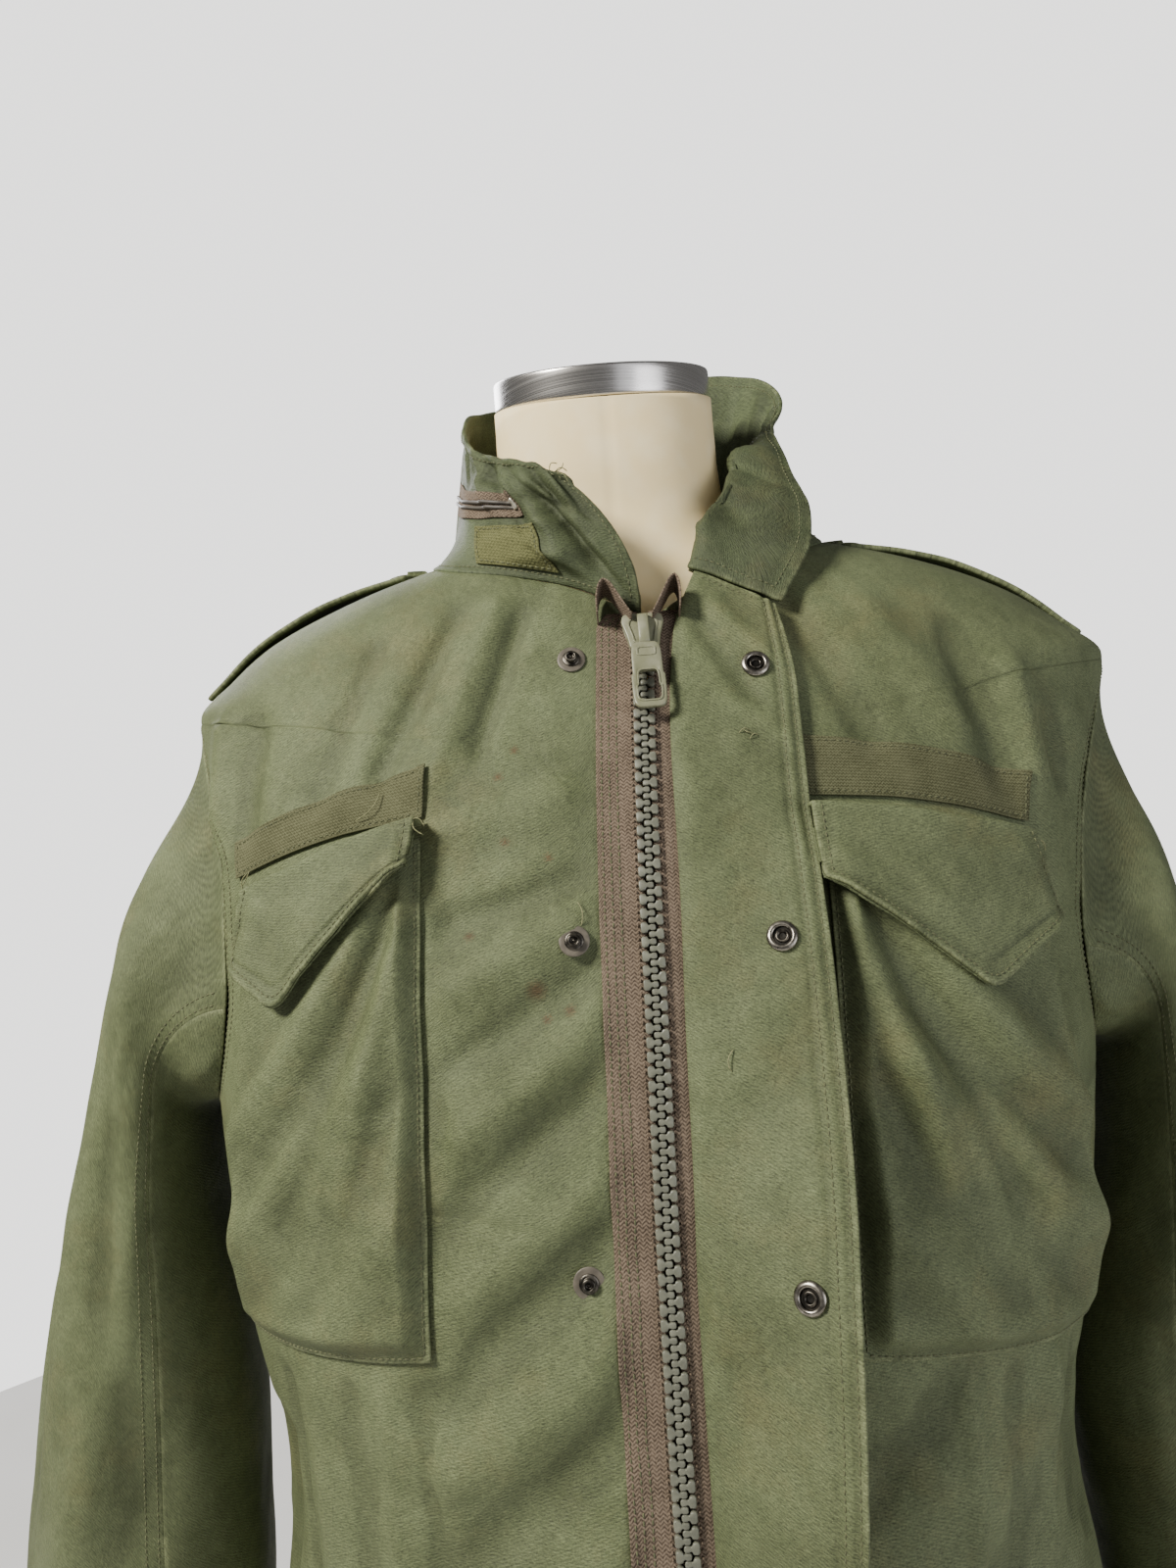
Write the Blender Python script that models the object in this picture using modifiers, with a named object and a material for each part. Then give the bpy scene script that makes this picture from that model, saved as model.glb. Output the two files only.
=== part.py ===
"""Field jacket on a limbless dress form, in metres: +Z up, the front faces -Y, the wearer's right is -X.

Every cloth piece is a slab: a grid of outer points and the same grid moved in by the cloth's thickness.
The garment's own shape is body(), a stack of level rings read from the table RINGS.
"""

import math

import bmesh
import bpy
import numpy as np
from mathutils import Matrix, Vector

MM = 0.001
CLOTH = 2.0 * MM
SEAM = 0.3 * MM

for scene_object in list(bpy.data.objects):
    bpy.data.objects.remove(scene_object, do_unlink=True)
JACKET = bpy.data.collections.new("jacket")
FORM = bpy.data.collections.new("dress_form")
HELPERS = bpy.data.collections.new("helpers")
for group in (JACKET, FORM, HELPERS):
    bpy.context.scene.collection.children.link(group)

# ---------------------------------------------------------------- colours


def linear(code):
    """A six-digit sRGB code as linear RGBA."""
    parts = [int(code[i : i + 2], 16) / 255 for i in (0, 2, 4)]
    return tuple(c / 12.92 if c < 0.04045 else ((c + 0.055) / 1.055) ** 2.4 for c in parts) + (1.0,)


FINISHES = {  # name: (colour, roughness, metallic)
    "olive": ("5D6A41", 0.9, 0.0),
    "taupe": ("6B6155", 0.9, 0.0),
    "moss": ("5C6530", 0.95, 0.0),
    "tape": ("555A41", 0.9, 0.0),
    "chain": ("5B6255", 0.5, 0.0),
    "slider": ("6A7054", 0.45, 0.0),
    "stud": ("2E2A27", 0.4, 1.0),
    "socket": ("6E665C", 0.35, 1.0),
    "cream": ("D9CDB4", 0.7, 0.0),
    "steel": ("B9BCBD", 0.3, 1.0),
    "base": ("2B2B2B", 0.5, 0.0),
}


def finish(name, piece):
    """A Principled material of the piece's own."""
    code, rough, metal = FINISHES[name]
    made = bpy.data.materials.new(piece + "_" + name)
    made.use_nodes = True
    shader = made.node_tree.nodes["Principled BSDF"]
    shader.inputs["Base Color"].default_value = linear(code)
    shader.inputs["Roughness"].default_value = rough
    shader.inputs["Metallic"].default_value = metal
    return made


def solid(name, points, faces, look, group=JACKET):
    """A mesh object turned so that its faces point out."""
    points = np.asarray(points, float)
    volume = 0.0
    for face in faces:
        a = points[face[0]]
        for j in range(1, len(face) - 1):
            volume += float(np.dot(a, np.cross(points[face[j]], points[face[j + 1]])))
    if volume < 0:
        faces = [tuple(reversed(face)) for face in faces]
    mesh = bpy.data.meshes.new(name)
    mesh.from_pydata([tuple(p) for p in points], [], [tuple(int(i) for i in f) for f in faces])
    mesh.shade_smooth()
    mesh.materials.append(finish(look, name))
    made = bpy.data.objects.new(name, mesh)
    group.objects.link(made)
    return made


# ---------------------------------------------------------------- curves


def curve(xs, ys, at):
    """A smooth curve through a table that never overshoots it."""
    xs, ys = np.asarray(xs, float), np.asarray(ys, float)
    at = np.clip(np.asarray(at, float), xs[0], xs[-1])
    step = np.diff(xs)
    slope = np.diff(ys) / step
    ends = np.zeros(len(xs))
    inner = slope[:-1] * slope[1:] > 0
    weight1, weight2 = 2 * step[1:] + step[:-1], step[1:] + 2 * step[:-1]
    mean = np.zeros(len(slope) - 1)
    mean[inner] = (weight1 + weight2)[inner] / (
        weight1[inner] / slope[:-1][inner] + weight2[inner] / slope[1:][inner]
    )
    ends[1:-1] = mean
    ends[0], ends[-1] = slope[0], slope[-1]
    i = np.clip(np.searchsorted(xs, at, side="right") - 1, 0, len(xs) - 2)
    t = (at - xs[i]) / step[i]
    return (
        ys[i] * (1 + 2 * t) * (1 - t) ** 2
        + ys[i + 1] * t * t * (3 - 2 * t)
        + step[i] * (ends[i] * t * (1 - t) ** 2 - ends[i + 1] * t * t * (1 - t))
    )


def smooth(at, low, high):
    t = np.clip((np.asarray(at, float) - low) / (high - low), 0, 1)
    return t * t * (3 - 2 * t)


def unit(v):
    return v / np.maximum(np.linalg.norm(v, axis=-1, keepdims=True), 1e-12)


# ---------------------------------------------------------------- the garment's shape

RINGS = np.array([
    # height, half width, front depth, back depth, shift to +X
    [0.100, 0.235, 0.193, 0.150, 0.000],
    [0.160, 0.232, 0.194, 0.148, 0.000],
    [0.230, 0.2250, 0.195, 0.144, 0.000],
    [0.340, 0.2140, 0.194, 0.137, 0.000],
    [0.430, 0.2050, 0.190, 0.132, 0.000],
    [0.520, 0.2210, 0.182, 0.134, 0.000],
    [0.600, 0.2310, 0.171, 0.138, 0.001],
    [0.680, 0.2350, 0.158, 0.137, 0.003],
    [0.740, 0.2400, 0.140, 0.130, 0.007],
    [0.780, 0.2440, 0.1225, 0.118, 0.011],
    [0.812, 0.2475, 0.1070, 0.102, 0.0145],
    [0.830, 0.2285, 0.0985, 0.092, 0.0125],
    [0.846, 0.2080, 0.0900, 0.084, 0.0115],
    [0.860, 0.1810, 0.0815, 0.078, 0.0110],
    [0.871, 0.1520, 0.0750, 0.074, 0.0095],
    [0.880, 0.1180, 0.0705, 0.071, 0.0060],
    [0.886, 0.0890, 0.0680, 0.069, 0.0015],
    [0.895, 0.0750, 0.0655, 0.067, 0.0000],
    [0.910, 0.0665, 0.0625, 0.0645, 0.0000],
    [0.930, 0.0615, 0.0605, 0.0615, 0.0000],
    [0.990, 0.0600, 0.0600, 0.0600, 0.0000],
])
SQUARE = 2.4  # exponent of every ring: 2 is an ellipse
HEM, NECK_SIDE, UNDERARM, SHOULDER = 0.12, 0.886, 0.608, 0.812


def ring(z):
    """Half width, front depth, back depth and shift at a height."""
    return [curve(RINGS[:, 0], RINGS[:, k], z) for k in (1, 2, 3, 4)]


def smooth_body(theta, z):
    """The garment's outside at an angle (0 the front, +90 degrees the wearer's left) and a height, without folds."""
    theta, z = np.broadcast_arrays(np.asarray(theta, float), np.asarray(z, float))
    half, front, back, shift = ring(z)
    s, c = np.sin(theta), np.cos(theta)
    deep = np.where(c > 0, front, back)
    reach = ((np.abs(s) / half) ** SQUARE + (np.abs(c) / deep) ** SQUARE) ** (-1 / SQUARE)
    return np.stack([shift + reach * s, -reach * c, z], -1)


def normal(theta, z):
    """Outward normal of the smooth body."""
    across = smooth_body(theta + 1e-3, z) - smooth_body(theta - 1e-3, z)
    up = smooth_body(theta, z + 4e-4) - smooth_body(theta, z - 4e-4)
    return unit(np.cross(across, up))


FOLDS = [
    # from (angle, height) to (angle, height), depth in mm (minus goes in), half width in mm
    (-78, 0.640, -40, 0.700, -4.0, 17),
    (-30, 0.640, -13, 0.560, 3.0, 22),
    (-38, 0.500, -14, 0.430, -3.5, 20),
    (-62, 0.480, -70, 0.360, -4.5, 14),
    (-80, 0.500, -84, 0.340, 4.0, 13),
    (-48, 0.470, -44, 0.330, 3.0, 18),
    (34, 0.500, 20, 0.400, 3.0, 20),
    (76, 0.640, 44, 0.700, -4.0, 17),
    (60, 0.480, 66, 0.350, -4.5, 15),
    (80, 0.500, 84, 0.340, 4.0, 14),
    (118, 0.700, 150, 0.760, -4.0, 20),
    (-118, 0.690, -148, 0.760, -4.0, 20),
    (112, 0.500, 118, 0.340, -5.0, 17),
    (140, 0.510, 136, 0.330, -4.0, 20),
    (172, 0.520, 176, 0.320, -4.0, 22),
    (-136, 0.500, -140, 0.330, -5.0, 18),
    (-112, 0.480, -108, 0.330, 4.5, 16),
    (158, 0.640, 196, 0.610, -3.5, 26),
    (128, 0.300, 132, 0.150, 4.0, 26),
    (-128, 0.280, -133, 0.150, -4.0, 26),
    (100, 0.280, 98, 0.140, -3.5, 22),
    (-99, 0.290, -97, 0.140, -3.5, 22),
]


def folds(theta, z):
    """How far the cloth stands out of the smooth body, from the table of long folds."""
    out = np.zeros(np.broadcast(theta, z).shape)
    for a0, z0, a1, z1, depth, wide in FOLDS:
        around = 0.2
        turn = (theta - math.radians(a0) + math.pi) % (2 * math.pi) - math.pi
        px, pz = turn * around, z - z0
        dx, dz = math.radians(a1 - a0) * around, z1 - z0
        long = math.hypot(dx, dz)
        along = (px * dx + pz * dz) / long
        side = (px * dz - pz * dx) / long
        past = np.maximum(np.maximum(-along, along - long), 0)
        wide = wide * MM
        out = out + depth * MM * np.exp(-((side / wide) ** 2) - (past / (1.6 * wide)) ** 2)
    return out


def hold(theta, z):
    """Where the cloth can't fold: 0 on the shoulders and under pockets and zip, 1 on open cloth."""
    at = smooth_body(theta, z)
    front = np.cos(theta) > 0
    x = np.abs(at[..., 0])
    free = 1 - smooth(z, 0.735, 0.785)
    chest = smooth(x, 0.085, 0.10) * (1 - smooth(x, 0.222, 0.232)) * smooth(z, 0.465, 0.485)
    low = smooth(x, 0.045, 0.06) * (1 - smooth(x, 0.212, 0.222)) * smooth(z, 0.13, 0.15) * (1 - smooth(z, 0.375, 0.395))
    zip_band = 1 - smooth(x, 0.045, 0.075)
    return free * np.where(front, (1 - chest) * (1 - low) * (1 - zip_band), 1)


def jacket(theta, z, out=0.0):
    """A point on the jacket's outside, or moved out of it."""
    lift = folds(theta, z) * hold(theta, z) + out
    return smooth_body(theta, z) + lift[..., None] * normal(theta, z)


def angle_at(x, z):
    """The angle where the front of the smooth body has this x at this height."""
    half, front, _, shift = ring(z)
    across = np.clip((x - shift) / half, -0.9999, 0.9999)
    deep = front * (1 - np.abs(across) ** SQUARE) ** (1 / SQUARE)
    return np.arctan2(across * half, deep)


def on_front(x, z, out=0.0):
    x, z = np.broadcast_arrays(np.asarray(x, float), np.asarray(z, float))
    return jacket(angle_at(x, z), z, np.broadcast_to(out, x.shape))


def roof(x, y):
    """The height of the shoulder's top at (x, y)."""
    low, high = np.full(np.shape(x), 0.70), np.full(np.shape(x), 0.93)
    for _ in range(40):
        mid = (low + high) / 2
        half, front, back, shift = ring(mid)
        deep = np.where(y < 0, front, back)
        inside = (np.abs(x - shift) / half) ** SQUARE + (np.abs(y) / deep) ** SQUARE < 1
        low, high = np.where(inside, mid, low), np.where(inside, high, mid)
    return (low + high) / 2


# ---------------------------------------------------------------- slabs


def grid_normals(grid, wrap=False):
    """Normals of a grid of points, from its neighbours."""
    if wrap:
        across = np.roll(grid, -1, 0) - np.roll(grid, 1, 0)
    else:
        across = np.gradient(grid, axis=0)
    return unit(np.cross(across, np.gradient(grid, axis=1)))


def slab(name, outer, inner, look="olive", group=JACKET, wrap=False):
    """A cloth wall: the outer grid as an open surface, with a Solidify as deep as the inner grid lies below it."""
    count, rows = outer.shape[:2]
    last = count if wrap else count - 1
    faces = [
        (i * rows + j, (i + 1) % count * rows + j, (i + 1) % count * rows + j + 1, i * rows + j + 1)
        for i in range(last)
        for j in range(rows - 1)
    ]
    i, j = count // 2, rows // 2
    facing = np.cross(outer[i, j] - outer[i - 1, j], outer[i, j] - outer[i, j - 1])
    if np.dot(facing, outer[i, j] - inner[i, j]) < 0:
        faces = [face[::-1] for face in faces]
    mesh = bpy.data.meshes.new(name)
    mesh.from_pydata([tuple(p) for p in outer.reshape(-1, 3)], [], faces)
    mesh.materials.append(finish(look, name))
    made = bpy.data.objects.new(name, mesh)
    wall = made.modifiers.new("cloth_wall", "SOLIDIFY")
    wall.thickness = float(np.median(np.linalg.norm(outer - inner, axis=-1)))
    wall.offset = -1
    wall.use_even_offset = True
    wall.thickness_clamp = 1.0
    group.objects.link(made)
    return made


def wall_between(name, outer, inner, look="olive"):
    """A cloth wall between two given grids: for halves that meet along a seam, and for a wall that thins at its fold."""
    count, rows = outer.shape[:2]
    under = count * rows
    rim = [i * rows for i in range(count)] + [(count - 1) * rows + j for j in range(1, rows)]
    rim += [i * rows + rows - 1 for i in range(count - 2, -1, -1)] + [j for j in range(rows - 2, 0, -1)]
    faces = [(a, b, b + under, a + under) for a, b in zip(rim, rim[1:] + rim[:1])]
    for i in range(count - 1):
        for j in range(rows - 1):
            corner = i * rows + j
            faces.append((corner, corner + 1, corner + rows + 1, corner + rows))
            faces.append((under + corner, under + corner + rows, under + corner + rows + 1, under + corner + 1))
    return solid(name, np.concatenate([outer.reshape(-1, 3), inner.reshape(-1, 3)]), faces, look)


def turned(name, profile, at, axis, steps, look, group=JACKET):
    """A solid turned about an axis: a profile of (radius, height) pairs under a Screw modifier, from top to bottom."""
    mesh = bpy.data.meshes.new(name)
    profile = profile[::-1]
    closed = profile[0][0] > 0
    count = len(profile)
    edges = [(i, i + 1) for i in range(count - 1)] + ([(count - 1, 0)] if closed else [])
    mesh.from_pydata([(radius, 0, height) for radius, height in profile], edges, [])
    mesh.materials.append(finish(look, name))
    made = bpy.data.objects.new(name, mesh)
    made.location = [float(v) for v in at]
    made.rotation_euler = Vector([float(v) for v in axis]).to_track_quat("Z", "Y").to_euler()
    screw = made.modifiers.new("turn", "SCREW")
    screw.steps = screw.render_steps = steps
    screw.use_merge_vertices = True
    screw.merge_threshold = 1e-5
    group.objects.link(made)
    return made


def coons(left, right, bottom, top, us, vs):
    """Points inside four edges in the (angle, height) plane: left and right run over vs, bottom and top over us."""
    u, v = us[:, None, None], vs[None, :, None]
    return (
        (1 - u) * left[None] + u * right[None] + (1 - v) * bottom[:, None] + v * top[:, None]
        - ((1 - u) * (1 - v) * bottom[0] + u * (1 - v) * bottom[-1] + (1 - u) * v * top[0] + u * v * top[-1])
    )


# ---------------------------------------------------------------- body panels

ARMHOLE = np.array([
    # height, share of the half width
    [0.608, 1.000], [0.612, 0.985], [0.622, 0.955], [0.645, 0.915], [0.680, 0.890],
    [0.720, 0.890], [0.755, 0.915], [0.785, 0.955], [0.803, 0.985], [0.812, 1.000],
])
ZIP_LINE = np.array([
    # height, x of the middle of the zip
    [0.100, -0.0065], [0.471, -0.0062], [0.547, -0.0052], [0.606, -0.0036],
    [0.662, -0.0018], [0.718, 0.0002], [0.777, 0.0036], [0.835, 0.0083], [0.870, 0.0110],
])
NECKLINE = np.array([
    # degrees from the front, height
    [0, 0.8385], [10, 0.848], [22, 0.8575], [40, 0.867], [55, 0.8740], [70, 0.8810], [90, 0.8860],
    [110, 0.8915], [130, 0.8970], [155, 0.9020], [180, 0.9035],
])


def zip_x(z):
    return curve(ZIP_LINE[:, 0], ZIP_LINE[:, 1], z)


def neck_height(theta):
    turn = np.abs(np.degrees((theta + math.pi) % (2 * math.pi) - math.pi))
    return curve(NECKLINE[:, 0], NECKLINE[:, 1], turn)


def armhole_angle(z, side, back):
    """The armhole's angle at a height: the side line, moved to the front or the back inside the armhole."""
    share = curve(ARMHOLE[:, 0], ARMHOLE[:, 1], z)
    half, front, deep_back, _ = ring(z)
    deep = (deep_back if back else front) * np.maximum(1 - share**SQUARE, 0) ** (1 / SQUARE)
    bend = np.arctan2(share * half, deep)
    inside = (z > UNDERARM) & (z < SHOULDER)
    turn = np.where(inside, bend, math.pi / 2)
    return side * (math.pi - turn if back else turn)


V_UNDER, V_SHOULDER = 0.62, 0.885


def side_edge(vs, side, back, gap):
    """The edge from hem to neck: side seam, armhole and shoulder seam."""
    z = np.interp(vs, [0, V_UNDER], [HEM, UNDERARM])
    turn = (1 - np.cos(np.pi * np.clip((vs - V_UNDER) / (V_SHOULDER - V_UNDER), 0, 1))) / 2
    z = np.where(vs > V_UNDER, UNDERARM + (SHOULDER - UNDERARM) * turn, z)
    z = np.where(vs > V_SHOULDER, np.interp(vs, [V_SHOULDER, 1], [SHOULDER, NECK_SIDE]), z)
    theta = armhole_angle(z, side, back)
    inwards = side * (1 if back else -1)
    gap = gap * (1 + 1.8 * smooth(z, 0.79, 0.812))
    return np.stack([theta + inwards * gap, z], -1)


def rows_of(low, mid, high):
    return np.concatenate([
        np.linspace(0, V_UNDER, low, endpoint=False),
        np.linspace(V_UNDER, V_SHOULDER, mid, endpoint=False),
        np.linspace(V_SHOULDER, 1, high),
    ])


def panel_front(name, side):
    """One front, from beside the zip to the side seam."""
    us, vs = np.linspace(0, 1, 12) ** 0.92, rows_of(9, 7, 6)
    z = HEM + (0.8385 + 0.0035 - HEM) * vs
    left = np.stack([angle_at(zip_x(z) + side * 0.0092, z), z], -1)
    right = side_edge(vs, side, False, 0.0012)
    bottom = np.stack([left[0, 0] + (right[0, 0] - left[0, 0]) * us, np.full(len(us), HEM)], -1)
    turn = left[-1, 0] + (right[-1, 0] - left[-1, 0]) * us
    top = np.stack([turn, neck_height(turn)], -1)
    top[0], top[-1] = left[-1], right[-1]
    return flat_panel(name, coons(left, right, bottom, top, us, vs))


def panel_back(name):
    us, vs = np.linspace(0, 1, 20), rows_of(9, 7, 6)
    left, right = side_edge(vs, 1, True, 0.0012), side_edge(vs, -1, True, 0.0012)
    right[:, 0] += 2 * math.pi
    bottom = left[0] + (right[0] - left[0]) * us[:, None]
    turn = left[-1, 0] + (right[-1, 0] - left[-1, 0]) * us
    top = np.stack([turn, neck_height(turn)], -1)
    top[0], top[-1] = left[-1], right[-1]
    return flat_panel(name, coons(left, right, bottom, top, us, vs))


def flat_panel(name, plane):
    theta, z = plane[..., 0], plane[..., 1]
    return slab(name, jacket(theta, z), jacket(theta, z, np.full(theta.shape, -CLOTH)))


# ---------------------------------------------------------------- sleeves

SLEEVE = {
    -1: np.array([
        # outer x, outer z, inner x, inner z, middle y, half depth
        [-0.2770, 0.7060, -0.2400, 0.5960, 0.000, 0.082],
        [-0.3010, 0.6280, -0.2405, 0.5560, -0.001, 0.078],
        [-0.3210, 0.5630, -0.2350, 0.5100, -0.003, 0.074],
        [-0.3450, 0.4530, -0.2290, 0.4230, -0.008, 0.069],
        [-0.3570, 0.3430, -0.2310, 0.3250, -0.014, 0.064],
        [-0.3640, 0.2650, -0.2395, 0.2520, -0.018, 0.059],
        [-0.3660, 0.2020, -0.2470, 0.1940, -0.022, 0.053],
    ]),
    1: np.array([
        [0.2745, 0.7060, 0.2420, 0.5960, 0.000, 0.084],
        [0.2880, 0.6280, 0.2405, 0.5560, 0.000, 0.081],
        [0.3010, 0.5630, 0.2340, 0.5100, -0.002, 0.078],
        [0.3270, 0.4530, 0.2200, 0.4230, -0.006, 0.072],
        [0.3440, 0.3430, 0.2280, 0.3250, -0.012, 0.066],
        [0.3560, 0.2650, 0.2395, 0.2520, -0.016, 0.060],
        [0.3600, 0.2020, 0.2460, 0.1940, -0.020, 0.054],
    ]),
}
SLEEVE_FOLDS = [
    # angle round the sleeve at the start and the end, height of both ends, depth in mm, half width in degrees
    (70, 100, 0.640, 0.420, -5.0, 15),
    (105, 60, 0.560, 0.330, 4.0, 14),
    (30, 35, 0.640, 0.400, -4.5, 13),
    (-25, -5, 0.600, 0.330, 4.0, 15),
    (250, 285, 0.640, 0.430, -5.0, 16),
    (300, 320, 0.560, 0.300, -4.0, 14),
    (150, 110, 0.520, 0.400, -4.0, 16),
    (60, 130, 0.360, 0.290, -4.5, 17),
    (200, 260, 0.470, 0.410, -3.5, 15),
]
TURNS = 28
SEAMS = (115.7, 244.3)


def armhole_loop(turns, side):
    """Points, inward directions and normals round one armhole. Turn 0 is the shoulder, 90 the front, 180 the underarm."""
    back = turns > math.pi
    share = np.where(back, 2 * math.pi - turns, turns) / math.pi
    z = SHOULDER - (SHOULDER - UNDERARM) * (1 - np.cos(np.pi * share)) / 2
    theta = np.where(back, armhole_angle(z, side, True), armhole_angle(z, side, False))
    at = jacket(theta, z)
    at[1::2] = (at[0::2] + np.roll(at, -1, 0)[1::2]) / 2  # every second point on the panels' straight edges
    out = normal(theta, z)
    around = unit(np.roll(at, -1, 0) - np.roll(at, 1, 0))
    into = unit(np.cross(around, out))
    middle = at.mean(axis=0)
    into = np.where((np.sum(into * (middle - at), -1) < 0)[:, None], -into, into)
    return at, into, out


def sleeve_grid(side):
    """The sleeve's outside: rings round it, from armhole to cuff."""
    turns = np.linspace(0, 2 * math.pi, TURNS, endpoint=False)
    at, into, out = armhole_loop(turns, side)
    low = (1 - np.cos(turns)) / 2
    keep = (1 - smooth(low, 0.45, 0.98))[:, None]
    leave = unit(into * keep + (out + np.array([side * 0.3, 0, -0.25])) * (1 - keep))
    start = at + leave * (0.6 + 0.8 * (1 - smooth(low, 0.0, 0.08)))[:, None] * MM
    table = SLEEVE[side]
    share = np.linspace(0, 1, len(table))
    fine = np.linspace(0, 1, 12)
    rings = []
    for row in np.stack([curve(share, table[:, k], fine) for k in range(6)], -1):
        outer, inner = np.array([row[0], row[4], row[1]]), np.array([row[2], row[4], row[3]])
        mid, arm = (outer + inner) / 2, (outer - inner) / 2
        c, s = np.cos(turns), np.sin(turns)
        bulge = (np.abs(c) ** 2.15 + np.abs(s) ** 2.15) ** (-1 / 2.15)
        rings.append(mid + (bulge * c)[:, None] * arm + (bulge * s)[:, None] * np.array([0, -row[5], 0]))
    rings = np.stack(rings, 1)
    first, onward = rings[:, 0], unit(rings[:, 1] - rings[:, 0])
    reach = np.linalg.norm(first - start, axis=-1)[:, None]
    cap = []
    for t in (0.0, 0.3, 0.62):
        a, b = (1 + 2 * t) * (1 - t) ** 2, t * t * (3 - 2 * t)
        c, d = t * (1 - t) ** 2, -t * t * (1 - t)
        cap.append(a * start + b * first + reach * (c * leave + d * onward) * 1.1)
    grid = np.concatenate([np.stack(cap, 1), rings], 1)
    out = grid_normals(grid, wrap=True)
    if np.sum(out[0, 6] * np.array([side, 0, 0])) < 0:
        out = -out
    degrees = np.degrees(turns)[:, None]
    lift = np.zeros(grid.shape[:2])
    height = grid[..., 2]
    for a0, a1, z0, z1, depth, wide in SLEEVE_FOLDS:
        t = (z0 - height) / (z0 - z1)
        mid = a0 + (a1 - a0) * t
        off = (degrees - mid + 180) % 360 - 180
        lift += depth * MM * np.exp(-((off / wide) ** 2)) * smooth(t, -0.25, 0.3) * (1 - smooth(t, 0.7, 1.25))
    lift *= smooth(np.arange(grid.shape[1]), 2, 5)[None] * (1 - smooth(np.arange(grid.shape[1]), 11.5, 14)[None])
    inner_side = smooth(low, 0.6, 0.85)[:, None]
    lift = np.where(lift > 0, lift, lift) * (1 - inner_side)
    return grid + out * lift[..., None], out


def sleeve(side, names):
    grid, _ = sleeve_grid(side)
    out = grid_normals(grid, wrap=True)
    if np.sum(out[0, 6] * np.array([side, 0, 0])) < 0:
        out = -out
    inner = grid - out * CLOTH
    cut = [int(round(a / 360 * TURNS)) for a in SEAMS]
    for name, picks in ((names[0], list(range(cut[1], TURNS)) + list(range(0, cut[0] + 1))), (names[1], list(range(cut[0], cut[1] + 1)))):
        shell, lining = grid[picks].copy(), inner[picks].copy()
        for layer in (shell, lining):
            layer[0] += unit(layer[1] - layer[0]) * SEAM * 2.0
            layer[-1] += unit(layer[-2] - layer[-1]) * SEAM * 2.0
        wall_between(name, shell, lining)


# ---------------------------------------------------------------- collar

COLLAR = np.array([
    # degrees, middle x y z, top x y z (the seam's point comes from the neckline)
    [-3, -0.0005, -0.0975, 0.8790, -0.0270, -0.0880, 0.9140],
    [-14, -0.0260, -0.0930, 0.8930, -0.0420, -0.0800, 0.9230],
    [-27, -0.0460, -0.0800, 0.8960, -0.0570, -0.0670, 0.9300],
    [-43, -0.0660, -0.0610, 0.9010, -0.0700, -0.0480, 0.9400],
    [-64, -0.0800, -0.0320, 0.9080, -0.0775, -0.0260, 0.9570],
    [-90, -0.0840, 0.0010, 0.9180, -0.0765, -0.0020, 0.9720],
    [-120, -0.0740, 0.0380, 0.9310, -0.0695, 0.0360, 0.9860],
    [-150, -0.0430, 0.0690, 0.9470, -0.0380, 0.0720, 1.0020],
    [-180, 0.0010, 0.0770, 0.9540, 0.0060, 0.0850, 1.0120],
    [-210, 0.0480, 0.0730, 0.9540, 0.0660, 0.0790, 1.0130],
    [-230, 0.0780, 0.0540, 0.9450, 0.1010, 0.0590, 1.0020],
    [-245, 0.0890, 0.0320, 0.9360, 0.1090, 0.0330, 0.9810],
    [-260, 0.0870, 0.0110, 0.9290, 0.0965, 0.0090, 0.9580],
    [-275, 0.0790, -0.0090, 0.9310, 0.0940, -0.0150, 0.9430],
    [-290, 0.0690, -0.0320, 0.9270, 0.0955, -0.0400, 0.9170],
    [-305, 0.0590, -0.0530, 0.9110, 0.0985, -0.0610, 0.8960],
    [-320, 0.0480, -0.0700, 0.8910, 0.0955, -0.0760, 0.8760],
    [-338, 0.0370, -0.0835, 0.8630, 0.0760, -0.0935, 0.8430],
])
COLLAR_WALL = 2.2 * MM


def collar_point(turn, up, out=0.0):
    """A point of the collar's outer face. turn runs along the seam in degrees, up from the seam (0) to the edge (1)."""
    keys = -COLLAR[:, 0]
    turn, up = np.broadcast_arrays(np.asarray(turn, float), np.asarray(up, float))
    theta = np.radians(turn)
    low = smooth_body(theta, neck_height(theta)) + np.array([0, 0, 1.1 * MM])
    mid = np.stack([curve(keys, COLLAR[:, k], -turn) for k in (1, 2, 3)], -1)
    top = np.stack([curve(keys, COLLAR[:, k], -turn) for k in (4, 5, 6)], -1)
    v = up[..., None]
    return low * (1 - v) * (1 - 2 * v) + mid * 4 * v * (1 - v) + top * v * (2 * v - 1)


def collar_layers(turns, ups, out=0.0, wall=COLLAR_WALL):
    turn, up = turns[:, None] + 0 * ups[None], ups[None] + 0 * turns[:, None]
    grid = collar_point(turn, up)
    along = collar_point(turn + 0.4, up) - collar_point(turn - 0.4, up)
    rise = collar_point(turn, up + 0.01) - collar_point(turn, up - 0.01)
    face = unit(np.cross(along, rise))
    return grid + face * out, grid + face * (out - wall)


# ---------------------------------------------------------------- pieces on the fronts


def patch_on(name, corners, size, out, wall, look="olive"):
    """A flat piece laid on a front. corners are (x, z) of its four corners, in order round it."""
    a, b, c, d = [np.array(p) for p in corners]
    us, vs = np.linspace(0, 1, size[0]), np.linspace(0, 1, size[1])
    u, v = us[:, None, None], vs[None, :, None]
    plane = (a * (1 - u) + b * u) * (1 - v) + (d * (1 - u) + c * u) * v
    x, z = plane[..., 0], plane[..., 1]
    full = np.full(x.shape, out)
    return slab(name, on_front(x, z, full + wall), on_front(x, z, full), look)


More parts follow.
